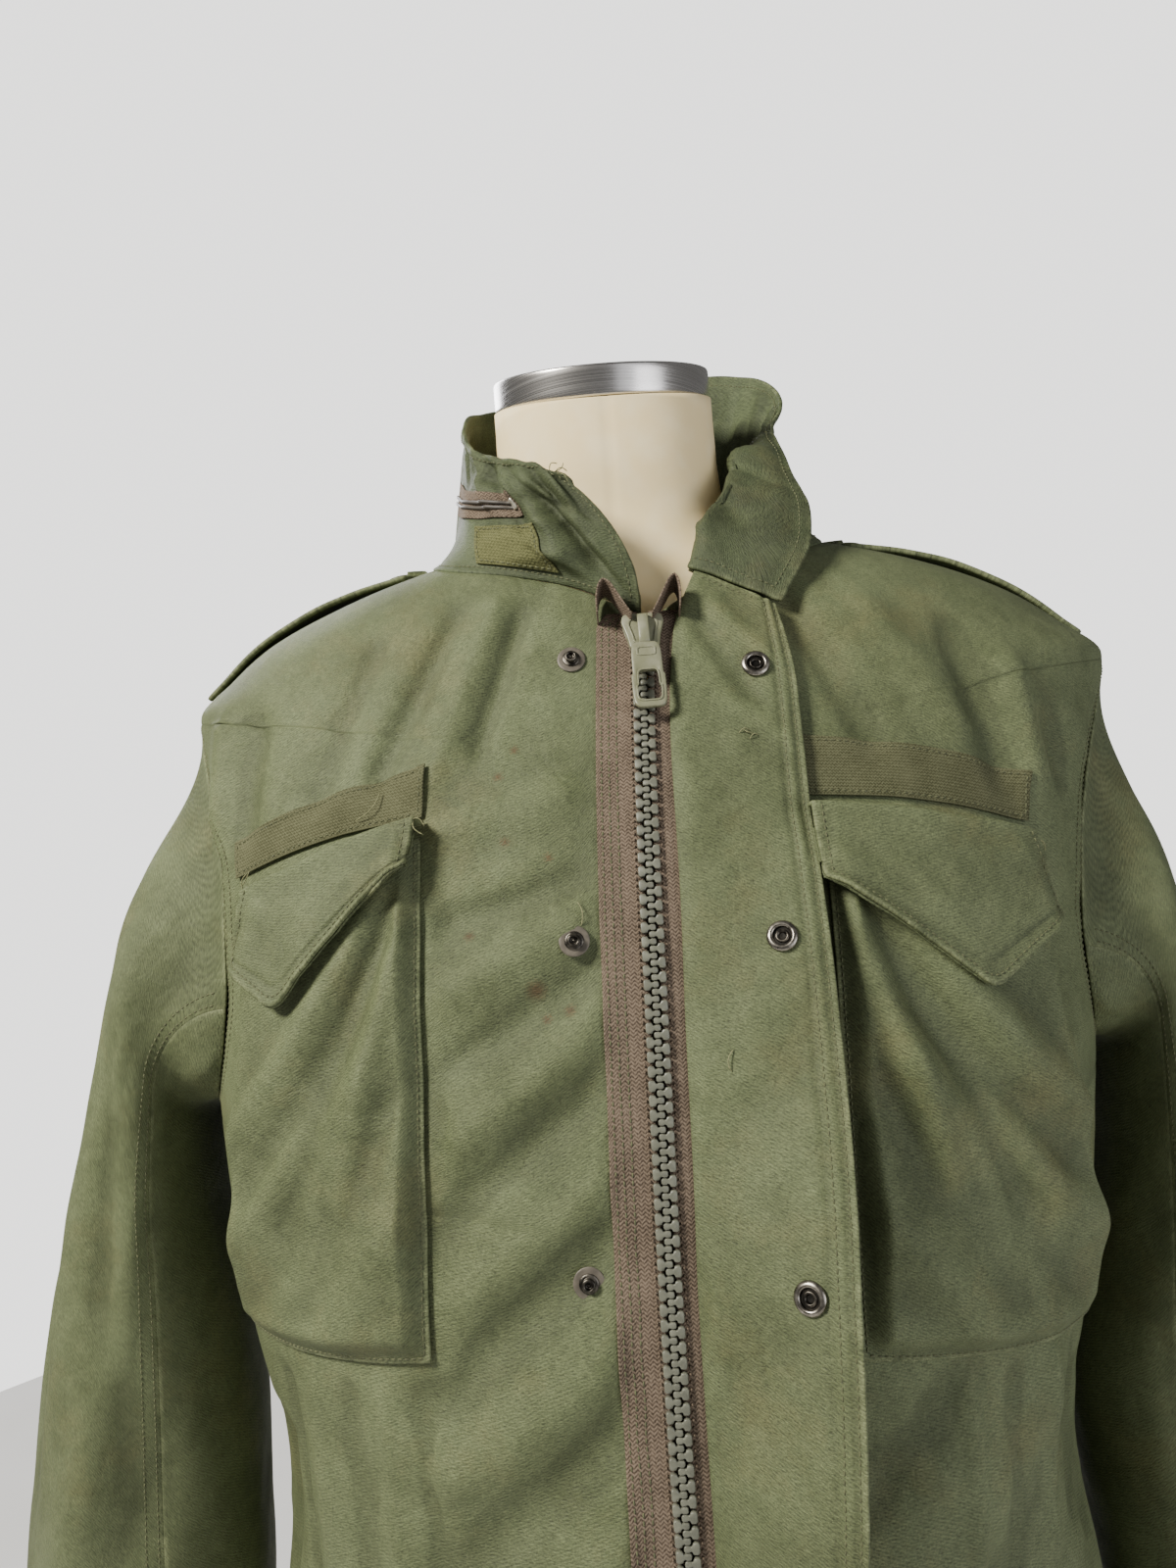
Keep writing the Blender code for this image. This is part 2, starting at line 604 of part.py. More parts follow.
def strip(name, left, right, heights, out, wall, look, columns=2):
    """A band up a front between two x lines, given as functions of height."""
    us = np.linspace(0, 1, columns)
    z = heights[None] + 0 * us[:, None]
    x = left(z) + (right(z) - left(z)) * us[:, None]
    full = np.full(x.shape, out)
    return slab(name, on_front(x, z, full + wall), on_front(x, z, full), look)


POCKETS = {
    # name: corners top inner, top outer, bottom outer, bottom inner as (x, z)
    "chest_pocket_right": ((-0.1000, 0.742), (-0.1930, 0.718), (-0.2060, 0.5170), (-0.1055, 0.5280)),
    "chest_pocket_left": ((0.0785, 0.734), (0.1780, 0.716), (0.1990, 0.4980), (0.0700, 0.5210)),
    "lower_pocket_right": ((-0.0640, 0.345), (-0.1880, 0.345), (-0.1960, 0.158), (-0.0640, 0.158)),
    "lower_pocket_left": ((0.0640, 0.345), (0.1880, 0.345), (0.1960, 0.158), (0.0640, 0.158)),
}
FLAPS = {
    # name: top inner, top outer, side outer, point, side inner
    "chest_flap_right": ((-0.0985, 0.7500), (-0.1860, 0.7270), (-0.1900, 0.6870), (-0.1640, 0.6650), (-0.1030, 0.7290)),
    "chest_flap_left": ((0.0790, 0.7450), (0.1700, 0.7280), (0.1790, 0.6870), (0.1370, 0.6580), (0.0800, 0.7080)),
    "lower_flap_right": ((-0.0620, 0.3600), (-0.1880, 0.3600), (-0.1900, 0.3170), (-0.1270, 0.2800), (-0.0620, 0.3170)),
    "lower_flap_left": ((0.0620, 0.3600), (0.1880, 0.3600), (0.1900, 0.3170), (0.1270, 0.2800), (0.0620, 0.3170)),
}
POCKET_STAND = 7.0 * MM


def pocket(name):
    """A pocket standing off its front, closed at the sides and the bottom and open under its flap."""
    a, b, c, d = [np.array(p) for p in POCKETS[name]]
    us = np.array([0, 0.045, 0.11, 0.3, 0.5, 0.7, 0.89, 0.955, 1])
    vs = np.array([0, 0.03, 0.08, 0.25, 0.5, 0.75, 1])
    u, v = us[:, None], vs[None]
    plane = (d * (1 - u[..., None]) + c * u[..., None]) * (1 - v[..., None]) + (a * (1 - u[..., None]) + b * u[..., None]) * v[..., None]
    rim = smooth(np.minimum(u, 1 - u), 0, 0.09) * smooth(v, 0, 0.06)
    sag = 1 + 0.35 * np.exp(-(((v - 0.3) / 0.25) ** 2))
    out = 0.9 * MM + POCKET_STAND * rim * sag * np.where(v > 0.9, 0.9, 1)
    x, z = plane[..., 0], plane[..., 1]
    return wall_between(name, on_front(x, z, out + CLOTH), on_front(x, z, out))


def flap(name, stand):
    """A pocket flap: straight at the top, pointed at the bottom, lying over the pocket's mouth."""
    a, b, c, p, d = [np.array(q) for q in FLAPS[name]]
    us, vs = np.linspace(0, 1, 11), np.array([0, 0.09, 0.35, 0.68, 1])
    mid = (p[0] - d[0]) / (c[0] - d[0])
    near = us < mid
    t = np.where(near, us / mid, (us - mid) / (1 - mid))
    low = np.where(near, d[1] + (p[1] - d[1]) * t**1.15, p[1] + (c[1] - p[1]) * t**0.9)
    low_x = np.where(near, d[0] + (p[0] - d[0]) * t, p[0] + (c[0] - p[0]) * t)
    top = a + (b - a) * us[:, None]
    bottom = np.stack([low_x, low], -1)
    plane = top[:, None] * (1 - vs[None, :, None]) + bottom[:, None] * vs[None, :, None]
    x, z = plane[..., 0], plane[..., 1]
    u, v = us[:, None], vs[None]
    rim = smooth(np.minimum(u, 1 - u), -0.08, 0.10)
    out = 0.7 * MM + (POCKET_STAND + CLOTH + 1.4 * MM + stand * v) * smooth(v, 0, 0.09) * (0.55 + 0.45 * rim)
    edge = POCKET_STAND * 1.15 + CLOTH + 1.8 * MM
    out = np.where(v > 0.05, np.maximum(out, edge), out)
    return wall_between(name, on_front(x, z, out + 2.2 * MM), on_front(x, z, out))


# ---------------------------------------------------------------- storm flap

STORM = np.array([
    # height of the root, x of the root, free edge x, z and how far it stands out of the front, all in metres
    [0.120, 0.0040, 0.0460, 0.115, 0.026],
    [0.250, 0.0040, 0.0460, 0.245, 0.036],
    [0.400, 0.0042, 0.0475, 0.395, 0.046],
    [0.470, 0.0048, 0.0495, 0.466, 0.050],
    [0.547, 0.0058, 0.0562, 0.544, 0.046],
    [0.596, 0.0080, 0.0618, 0.592, 0.037],
    [0.656, 0.0100, 0.0670, 0.652, 0.024],
    [0.714, 0.0130, 0.0705, 0.708, 0.0120],
    [0.776, 0.0155, 0.0730, 0.762, 0.0050],
    [0.830, 0.0225, 0.0755, 0.806, 0.0040],
    [0.862, 0.0365, 0.0725, 0.841, 0.0035],
])
FLAP_WALL = 2.6 * MM


def storm_point(height, across):
    """A point of the storm flap's showing face: across is 0 at the fold beside the zip, 1 at the free edge."""
    height, across = np.broadcast_arrays(np.asarray(height, float), np.asarray(across, float))
    root_x, free_x, free_z, stand = [curve(STORM[:, 0], STORM[:, k], height) for k in (1, 2, 3, 4)]
    x = root_x + (free_x - root_x) * across
    z = height + (free_z - height) * across
    roll = 1.0 - (1 - np.clip(across / 0.13, 0, 1)) ** 2
    out = 0.4 * MM + 1.6 * MM * roll + np.maximum(stand - 3.5 * MM, 0) * across**1.15
    return on_front(x, z, out + FLAP_WALL)


def storm_frame(height, across):
    """A point of the showing face with its outward and upward directions."""
    at = storm_point(height, across)
    right = storm_point(height, across + 0.02) - storm_point(height, across - 0.02)
    up = storm_point(height + 0.004, across) - storm_point(height - 0.004, across)
    out = unit(np.cross(right, up))
    if out[1] > 0:
        out = -out
    return at, out, unit(up)


def storm_flap(name):
    heights = np.concatenate([np.linspace(0.125, 0.76, 18), np.linspace(0.79, 0.8605, 5)])
    us = np.array([0, 0.08, 0.3, 0.65, 1.0])
    grid = storm_point(heights[None] + 0 * us[:, None], us[:, None] + 0 * heights[None])
    face = grid_normals(grid)
    if face[2, 3, 1] > 0:
        face = -face
    wall = np.array([0.5, 1, 1, 1, 0.7])[:, None, None] * FLAP_WALL
    wall_between(name, grid, grid - face * wall)


# ---------------------------------------------------------------- metal pieces


def surface_frame(x, z, out):
    """Point, outward and upward directions on the front."""
    at = on_front(x, z, out)
    theta = angle_at(x, z)
    n = normal(theta, np.asarray(z, float))
    up = unit(np.array([0, 0, 1.0]) - n * n[2])
    return at, n, up


def stud(name, at, out):
    turned(name, [(0, 0), (6.2 * MM, 0), (6.4 * MM, 0.6 * MM), (3.4 * MM, 1.1 * MM), (2.5 * MM, 1.5 * MM),
                 (2.7 * MM, 3.0 * MM), (2.1 * MM, 3.6 * MM), (0, 3.6 * MM)], at, out, 10, "stud")


def socket(name, at, out):
    turned(name, [(0, 0), (5.6 * MM, 0), (5.8 * MM, 1.0 * MM), (5.0 * MM, 2.0 * MM), (3.4 * MM, 2.0 * MM),
                 (3.0 * MM, 0.9 * MM), (0, 0.9 * MM)], at, out, 10, "socket")


SLIDER_AT = 0.830
PULL_DROP = -11.0 * MM
STUDS = [(-0.0270, 0.8210), (-0.0340, 0.6950), (-0.0380, 0.5580), (-0.0390, 0.4240), (-0.0390, 0.2900)]
SOCKETS = [(0.8260, 0.680), (0.6930, 0.690), (0.5590, 0.740), (0.4250, 0.720), (0.2910, 0.720)]


def zip_slider_and_pull():
    """The slider's body with its bail, and the tab that hangs from the bail on its own hinge."""
    at, n, up = surface_frame(zip_x(SLIDER_AT), np.array(SLIDER_AT), np.array(0.0))
    half = [(6.8, -10.0), (8.0, -3.0), (10.2, 5.0), (9.2, 9.0), (2.6, 9.6)]
    body = [(x * MM, y * MM) for x, y in half] + [(0.0, 7.6 * MM)] + [(-x * MM, y * MM) for x, y in reversed(half)]
    slider = as_mesh(plate("zip_slider", [body], at, n, up, 4.2 * MM, 6.6 * MM, "slider"))
    bail_outline = [(2.8 * MM * a, 8.5 * MM * b - 0.1 * MM) for a, b in ((-1, -1), (1, -1), (1, 1), (-1, 1))]
    bail = as_mesh(plate("slider_bail", [bail_outline], at, n, up, 6.0 * MM, 11.2 * MM, "slider"))
    bail.hide_render, bail.display_type = True, "WIRE"
    JACKET.objects.unlink(bail)
    HELPERS.objects.link(bail)
    join = slider.modifiers.new("bail", "BOOLEAN")
    join.operation, join.solver, join.object = "UNION", "EXACT", bail
    # the tab turns about an axis across the bail's lower end, 11 mm below the slider's middle
    hinge = at + up * PULL_DROP
    outline = arch(7.8 * MM, 17.5 * MM, -26.7 * MM - PULL_DROP, 0.9)
    window = arch(5.4 * MM, 8.0 * MM, -32.7 * MM - PULL_DROP, 0.86)
    plate("zip_pull", [outline, window], hinge, n, up, 8.2 * MM, 10.4 * MM, "slider")


def plate(name, outlines, at, n, up, low, high, look):
    """A flat plate: closed outlines in (across, up), the second one a window, filled between two heights over the surface."""
    flat = bpy.data.curves.new(name, "CURVE")
    flat.dimensions, flat.fill_mode, flat.extrude = "2D", "BOTH", (high - low) / 2
    for outline in outlines:
        spline = flat.splines.new("POLY")
        spline.points.add(len(outline) - 1)
        for point, (across, along) in zip(spline.points, outline):
            point.co = (across, along, 0, 1)
        spline.use_cyclic_u = True
    flat.materials.append(finish(look, name))
    made = bpy.data.objects.new(name, flat)
    right = np.cross(up, n)
    middle = at + n * (low + high) / 2
    made.matrix_world = Matrix([[right[k], up[k], n[k], middle[k]] for k in range(3)] + [[0, 0, 0, 1]])
    JACKET.objects.link(made)
    return made


def as_mesh(made):
    """The curve object as a mesh object of the same name and place, its caps welded to its sides."""
    bpy.context.view_layer.update()
    name, place = made.name, made.matrix_world.copy()
    mesh = bpy.data.meshes.new_from_object(made.evaluated_get(bpy.context.evaluated_depsgraph_get()))
    shape = bmesh.new()
    shape.from_mesh(mesh)
    bmesh.ops.remove_doubles(shape, verts=shape.verts, dist=1e-6)
    bmesh.ops.recalc_face_normals(shape, faces=shape.faces)
    shape.to_mesh(mesh)
    shape.free()
    bpy.data.objects.remove(made)
    mesh.name = name
    solid_piece = bpy.data.objects.new(name, mesh)
    solid_piece.matrix_world = place
    JACKET.objects.link(solid_piece)
    return solid_piece


def arch(width, height, middle, narrow, steps=24):
    """A rounded rectangle in (across, up), its top narrower than its bottom."""
    turn = 2 * math.pi * (np.arange(steps) + 0.5) / steps
    c, s = np.cos(turn), np.sin(turn)
    square = (np.abs(c) ** 6 + np.abs(s) ** 6) ** (-1 / 6)
    return [(float(x), float(y)) for x, y in zip(width * c * square * np.where(s < 0, 1.0, narrow), middle + height * s * square)]


# ---------------------------------------------------------------- dress form


RING_AT, RING_TILT = 0.9725, math.radians(12)


def form_gap(theta, z):
    """Room between the form and the jacket's inside: a hair under the shoulder seam, more below."""
    ridge = smooth(z, 0.800, 0.826) * np.exp(-((np.cos(theta) / 0.30) ** 2)) * (1 - smooth(z, 0.872, 0.884))
    room = 0.0125 * (1 - smooth(z, 0.80, 0.90)) + 0.0045 * smooth(z, 0.80, 0.90) * (1 - smooth(z, 0.895, 0.93))
    room = room * (1 - ridge) + 0.0015 * ridge
    return room + CLOTH * (1 - smooth(z, 0.895, 0.93))


def dress_form():
    turns = np.linspace(0, 2 * math.pi, 32, endpoint=False)
    heights = np.array([0.128, 0.24, 0.34, 0.43, 0.52, 0.62, 0.70, 0.755, 0.790, 0.812, 0.826, 0.840, 0.852, 0.862, 0.871, 0.879, 0.888, 0.902, 0.925, 0.9585])
    theta, z = turns[:, None] + 0 * heights[None], heights[None] + 0 * turns[:, None]
    grid = smooth_body(theta, z) - (form_gap(theta, z))[..., None] * normal(theta, z)
    grid[:, -1, 2] = RING_AT - 0.6 * MM + grid[:, -1, 1] * math.tan(RING_TILT)
    points = [tuple(p) for p in grid.reshape(-1, 3)]
    rows, count = len(heights), len(turns)
    bottom = grid[:, 0].copy()
    for share, drop in ((0.97, 0.010), (0.86, 0.018)):
        points += [tuple(p) for p in np.array([0, 0, 0]) + bottom * [share, share, 0] + [0, 0, 0.128 - drop]]
    points += [(0, 0, 0.110)]
    top = grid[:, -1]
    points += [(0, 0, float(top[:, 2].mean()))]
    faces = []
    for i in range(count):
        j = (i + 1) % count
        for k in range(rows - 1):
            faces.append((i * rows + k, j * rows + k, j * rows + k + 1, i * rows + k + 1))
        a, b = count * rows + i, count * rows + j
        c, d = a + count, b + count
        faces.append((i * rows, a, b, j * rows))
        faces.append((a, c, d, b))
        faces.append((c, count * rows + 2 * count, d))
        faces.append((i * rows + rows - 1, j * rows + rows - 1, count * rows + 2 * count + 1))
    solid("form_torso", points, faces, "cream", FORM)
    lean = (0, -math.sin(RING_TILT), math.cos(RING_TILT))
    turned("form_neck_ring", [(0.0570, 0), (0.0602, 0), (0.0602, 0.016), (0.0570, 0.016)], (0, 0.0, RING_AT), lean, 32, "steel", FORM)
    turned("form_neck_cap", [(0, 0), (0.0564, 0), (0.0564, 0.010), (0.052, 0.012), (0, 0.012)], (0, 0.0, RING_AT), lean, 24, "base", FORM)
    turned("form_pole", [(0, 0), (0.016, 0), (0.016, 0.0847), (0, 0.0847)], (0, 0, 0.0245), (0, 0, 1), 16, "steel", FORM)
    turned("form_base", [(0, 0), (0.150, 0), (0.152, 0.004), (0.148, 0.014), (0.110, 0.020), (0.030, 0.0242), (0, 0.0242)],
          (0, 0, 0), (0, 0, 1), 32, "base", FORM)


# ---------------------------------------------------------------- the whole


def build():
    panel_front("front_right", -1)
    panel_front("front_left", 1)
    panel_back("back")
    sleeve(-1, ("top_sleeve_right", "under_sleeve_right"))
    sleeve(1, ("top_sleeve_left", "under_sleeve_left"))

    outer, inner = collar_layers(np.linspace(-3, -338, 40), np.array([0, 0.14, 0.34, 0.56, 0.8, 1.0]))
    slab("collar", outer, inner)

    heights = np.linspace(0.128, 0.842, 26)
    strip("zip_tape_right", lambda z: zip_x(z) - 0.0220, lambda z: zip_x(z) - 0.0004, heights, 0.6 * MM, 0.8 * MM, "taupe", 2)
    strip("zip_tape_left", lambda z: zip_x(z) + 0.0004, lambda z: zip_x(z) + 0.0210, heights, 0.6 * MM, 0.8 * MM, "taupe", 2)
    strip("zip_chain", lambda z: zip_x(z) - 0.0042, lambda z: zip_x(z) + 0.0042, np.linspace(0.130, 0.826, 26), 1.9 * MM, 2.0 * MM, "chain", 2)

    storm_flap("storm_flap")
    for name in POCKETS:
        pocket(name)
    for name in FLAPS:
        flap(name, 2.0 * MM)
    patch_on("chest_tape_right", ((-0.0990, 0.7520), (-0.1950, 0.7290), (-0.1970, 0.7460), (-0.0965, 0.7745)), (8, 3), 0.7 * MM, 1.2 * MM, "tape")
    patch_on("chest_tape_left", ((0.0800, 0.7490), (0.1780, 0.7300), (0.1830, 0.7520), (0.0840, 0.7745)), (8, 3), 0.7 * MM, 1.2 * MM, "tape")

    for side, name in ((-1, "shoulder_strap_right"), (1, "shoulder_strap_left")):
        along = np.linspace(0, 1, 9)
        x0 = 0.0125 + side * 0.236 if side > 0 else 0.0125 - 0.2365
        x1 = 0.118 if side > 0 else -0.106
        x = x0 + (x1 - x0) * along
        wide = 0.023 - 0.005 * along - 0.010 * smooth(along, 0.9, 1.0)
        us = np.linspace(-1, 1, 5)
        y = 0.002 + us[:, None] * wide[None]
        xx = x[None] + 0 * y
        lift = 0.5 * MM + (3.7 * MM * np.sin(np.pi * along) ** 0.7)[None] + 0 * y
        low = np.stack([xx, y, roof(xx, y) + lift], -1)
        face = grid_normals(low)
        if face[2, 4, 2] < 0:
            face = -face
        slab(name, low + face * 3.2 * MM, low)
        top = low[2, 7] + face[2, 7] * 3.6 * MM
        turned("strap_button_" + name[15:], [(0, 0), (6.8 * MM, 0), (7.4 * MM, 1.0 * MM), (7.0 * MM, 2.4 * MM), (5.4 * MM, 2.4 * MM), (4.8 * MM, 1.6 * MM), (0, 1.6 * MM)], top, face[2, 7], 14, "slider")

    for k, (x, z) in enumerate(STUDS):
        at, out, _ = surface_frame(np.array(x), np.array(z), np.array(0.5 * MM))
        stud("snap_stud_%d" % (k + 1), at, out)
    for k, (z, across) in enumerate(SOCKETS):
        at, out, _ = storm_frame(np.array(z), np.array(across))
        socket("snap_socket_%d" % (k + 1), at + out * 0.4 * MM, out)

    zip_slider_and_pull()

    turns, ups = np.linspace(-26, -58, 6), np.linspace(0.12, 0.47, 4)
    outer, inner = collar_layers(turns, ups, 2.3 * MM, 1.4 * MM)
    slab("collar_patch", outer, inner, "moss")
    turns, ups = np.linspace(-31, -84, 8), np.linspace(0.60, 0.78, 3)
    outer, inner = collar_layers(turns, ups, 2.3 * MM, 1.4 * MM)
    slab("collar_zip", outer, inner, "taupe")
    dress_form()


build()
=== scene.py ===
import logging
import math
from dataclasses import dataclass, field
from enum import Enum, auto

import bpy
import numpy as np
from mathutils import Matrix, Vector


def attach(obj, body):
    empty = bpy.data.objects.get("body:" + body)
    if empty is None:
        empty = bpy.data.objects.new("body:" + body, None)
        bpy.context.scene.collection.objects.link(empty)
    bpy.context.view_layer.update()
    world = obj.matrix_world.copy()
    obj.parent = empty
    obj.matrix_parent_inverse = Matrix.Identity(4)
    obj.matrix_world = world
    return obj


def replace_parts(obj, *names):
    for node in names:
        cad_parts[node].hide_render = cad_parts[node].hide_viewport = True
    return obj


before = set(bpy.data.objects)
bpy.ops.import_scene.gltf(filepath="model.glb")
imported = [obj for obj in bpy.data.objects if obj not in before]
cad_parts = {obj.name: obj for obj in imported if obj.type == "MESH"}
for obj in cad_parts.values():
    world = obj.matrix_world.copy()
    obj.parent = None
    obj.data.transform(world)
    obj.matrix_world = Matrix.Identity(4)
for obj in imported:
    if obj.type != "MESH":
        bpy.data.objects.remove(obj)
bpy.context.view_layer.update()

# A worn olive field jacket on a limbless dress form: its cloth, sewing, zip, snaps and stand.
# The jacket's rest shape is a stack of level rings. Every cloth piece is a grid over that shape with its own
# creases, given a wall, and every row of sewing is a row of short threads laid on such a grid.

MM = 0.001
# a cloth's rim: how far it bulges and how deep its two rings lie, in parts of the wall. Its relief is measured
# from an average over this reach, in steps of the grid
RIM_BULGE, RIM_DEPTH, RELIEF_REACH = 0.36, 0.2, 4
BODY, PULL = "jacket_on_form", "zip_pull"
OLIVE = "olive_cloth"
FORWARD, UPWARD = (0, -1, 0), (0, 0, 1)
LOG = logging.getLogger("field_jacket")
Array = np.ndarray
Socket = bpy.types.NodeSocket
Profile = tuple[tuple[float, float], ...]
Table = tuple[tuple[float, ...], ...]


class Side(Enum):
    """The four sides of a cloth grid: its first and last column, its first and last row."""

    LEFT = auto()
    RIGHT = auto()
    BOTTOM = auto()
    TOP = auto()


class Wearer(Enum):
    """The wearer's two sides, with the sign of their X."""

    RIGHT = -1
    LEFT = 1

    @property
    def word(self) -> str:
        """The side as it stands in the names of pieces."""
        return self.name.lower()


# ---- curves and grids


def curve(xs: Array, ys: Array, at: Array) -> Array:
    """A cubic Hermite curve through a table, with slopes that never overshoot it.

    Each inner slope is the weighted harmonic mean of the two secants beside it, 0 where their signs differ.

    Args:
        xs: Rising positions of the table.
        ys: Values of the table.
        at: Where the curve is read.

    Returns:
        The values, in the shape of at.
    """
    at = np.clip(np.asarray(at, float), xs[0], xs[-1])
    step = np.diff(xs)
    slope = np.diff(ys) / step
    ends = np.zeros(len(xs))
    same = slope[:-1] * slope[1:] > 0
    first, second = (2 * step[1:] + step[:-1])[same], (step[1:] + 2 * step[:-1])[same]
    ends[1:-1][same] = (first + second) / (first / slope[:-1][same] + second / slope[1:][same])
    ends[0], ends[-1] = slope[0], slope[-1]
    i = np.clip(np.searchsorted(xs, at, side="right") - 1, 0, len(xs) - 2)
    t = (at - xs[i]) / step[i]
    held = ys[i] * (1 + 2 * t) * (1 - t) ** 2 + ys[i + 1] * t * t * (3 - 2 * t)
    return held + step[i] * (ends[i] * t * (1 - t) ** 2 - ends[i + 1] * t * t * (1 - t))


def smooth(at: Array, low: float, high: float) -> Array:
    """The step t*t*(3 - 2t), from 0 at low to 1 at high."""
    t = np.clip((np.asarray(at, float) - low) / (high - low), 0, 1)
    return t * t * (3 - 2 * t)


def bump_at(at: Array, middle: float, wide: float) -> Array:
    """The bell exp(-((at - middle) / wide)^2)."""
    return np.exp(-(((np.asarray(at, float) - middle) / wide) ** 2))


def unit(v: Array) -> Array:
    """Vectors scaled to length 1."""
    return v / np.maximum(np.linalg.norm(v, axis=-1, keepdims=True), 1e-12)


def drift(x: Array, y: Array, seed: float) -> Array:
    """Smooth value noise from -1 to 1: a hashed value at each whole (x, y), blended by t*t*(3 - 2t).

    Args:
        x: First position, in cells.
        y: Second position, in cells.
        seed: Picks the pattern.

    Returns:
        The noise, in the shape of x.
    """
    i, j = np.floor(x), np.floor(y)
    u, v = smooth(x - i, 0, 1), smooth(y - j, 0, 1)

    def corner(a: Array, b: Array) -> Array:
        """The value at a whole position."""
        mixed = np.sin(a * 12.9898 + b * 78.233 + seed * 37.719) * 43758.5453
        return (mixed - np.floor(mixed)) * 2 - 1

    low = corner(i, j) * (1 - u) + corner(i + 1, j) * u
    high = corner(i, j + 1) * (1 - u) + corner(i + 1, j + 1) * u
    return low * (1 - v) + high * v


def mesh_grid(us: Array, vs: Array) -> tuple[Array, Array]:
    """Two arrays of shape (len(us), len(vs)) with the u and the v of every grid point."""
    return np.meshgrid(us, vs, indexing="ij")


def grid_normals(grid: Array, towards: Array, closed: bool = False) -> Array:
    """Unit normals of a grid, dP/du x dP/dv, turned to the side of a given direction.

    Args:
        grid: Points of shape (n, m, 3).
        towards: A direction that the normal at the grid's middle has to agree with.
        closed: Whether the first column follows the last.

    Returns:
        The normals, shaped as the grid.
    """
    across = (np.roll(grid, -1, 0) - np.roll(grid, 1, 0)) if closed else np.gradient(grid, axis=0)
    out = unit(np.cross(across, np.gradient(grid, axis=1)))
    middle = out[grid.shape[0] // 2, grid.shape[1] // 2]
    return out if float(np.dot(middle, towards)) > 0 else -out


def running_length(grid: Array, axis: int) -> Array:
    """Length run along each grid line: the sum of |P(k) - P(k - 1)|."""
    steps = np.linalg.norm(np.diff(grid, axis=axis), axis=-1)
    start = np.zeros_like(np.take(steps, [0], axis=axis))
    return np.cumsum(np.concatenate([start, steps], axis=axis), axis=axis)


def blurred(grid: Array, reach: int) -> Array:
    """The grid averaged over each axis, twice, from -reach to +reach steps, with the last value held."""
    for axis in (0, 1, 0, 1):
        wide = [(reach, reach) if k == axis else (0, 0) for k in range(3)]
        total = np.cumsum(np.pad(grid, wide, mode="reflect", reflect_type="odd"), axis=axis)
        total = np.concatenate([0 * np.take(total, [0], axis=axis), total], axis=axis)
        size = grid.shape[axis]
        upper = np.take(total, range(2 * reach + 1, 2 * reach + 1 + size), axis=axis)
        grid = (upper - np.take(total, range(size), axis=axis)) / (2 * reach + 1)
    return grid


def edge_distance(grid: Array, sides: tuple[Side, ...]) -> Array:
    """Distance in metres of every grid point from the nearest of the given sides, along the grid lines."""
    across, along = running_length(grid, 0), running_length(grid, 1)
    each = {
        Side.LEFT: across, Side.RIGHT: across[-1:] - across,
        Side.BOTTOM: along, Side.TOP: along[:, -1:] - along,
    }
    return np.min([each[side] for side in sides], axis=0) if sides else np.full(grid.shape[:2], 1.0)


def run_along(path: Array) -> Array:
    """The running length at each point of a path."""
    return np.concatenate([[0.0], np.cumsum(np.linalg.norm(np.diff(path, axis=0), axis=-1))])


def read_along(path: Array, at: Array) -> Array:
    """Points of a path, flat or in space, at given running lengths."""
    run = run_along(path)
    return np.stack([np.interp(at, run, path[:, k]) for k in range(path.shape[1])], -1)


def spaced(*parts: tuple[float, float, int]) -> Array:
    """Even steps in stretches of (from, to, how many), of which only the last holds its end."""
    runs = [np.linspace(a, b, n, endpoint=False) for a, b, n in parts[:-1]]
    return np.concatenate(runs + [np.linspace(*parts[-1])])


def bilinear(corners: Profile, u: Array, v: Array) -> Array:
    """The patch ((1-u) A + u B) (1-v) + ((1-u) D + u C) v between corners A, B below and C, D above."""
    a, b, c, d = [np.asarray(corner) for corner in corners]
    u, v = u[..., None], v[..., None]
    return (a * (1 - u) + b * u) * (1 - v) + (d * (1 - u) + c * u) * v


def line_beside(grid: Array, side: Side, away: float, ends: float = 0.0) -> Array:
    """The line that runs at a distance inside one side of a grid.

    On each grid line that crosses the side, the point is read where the running length from the side is away.

    Args:
        grid: Points of shape (n, m, 3).
        side: The side it follows.
        away: Distance from the side, in metres.
        ends: How much is left off at both ends, in metres.

    Returns:
        Points of shape (k, 3).
    """
    lines = {Side.LEFT: grid, Side.RIGHT: grid[::-1], Side.BOTTOM: grid.swapaxes(0, 1),
             Side.TOP: grid[:, ::-1].swapaxes(0, 1)}[side]
    run = running_length(lines, 0)
    i = np.clip((run < away).sum(axis=0) - 1, 0, len(lines) - 2)[None]
    low, high = np.take_along_axis(run, i, 0)[0], np.take_along_axis(run, i + 1, 0)[0]
    t = np.clip((away - low) / np.maximum(high - low, 1e-9), 0, 1)[:, None]
    a = np.take_along_axis(lines, i[..., None], 0)[0]
    b = np.take_along_axis(lines, i[..., None] + 1, 0)[0]
    path = a * (1 - t) + b * t
    total = float(np.linalg.norm(np.diff(path, axis=0), axis=-1).sum())
    return read_along(path, np.linspace(ends, total - ends, len(path)))


# ---- meshes


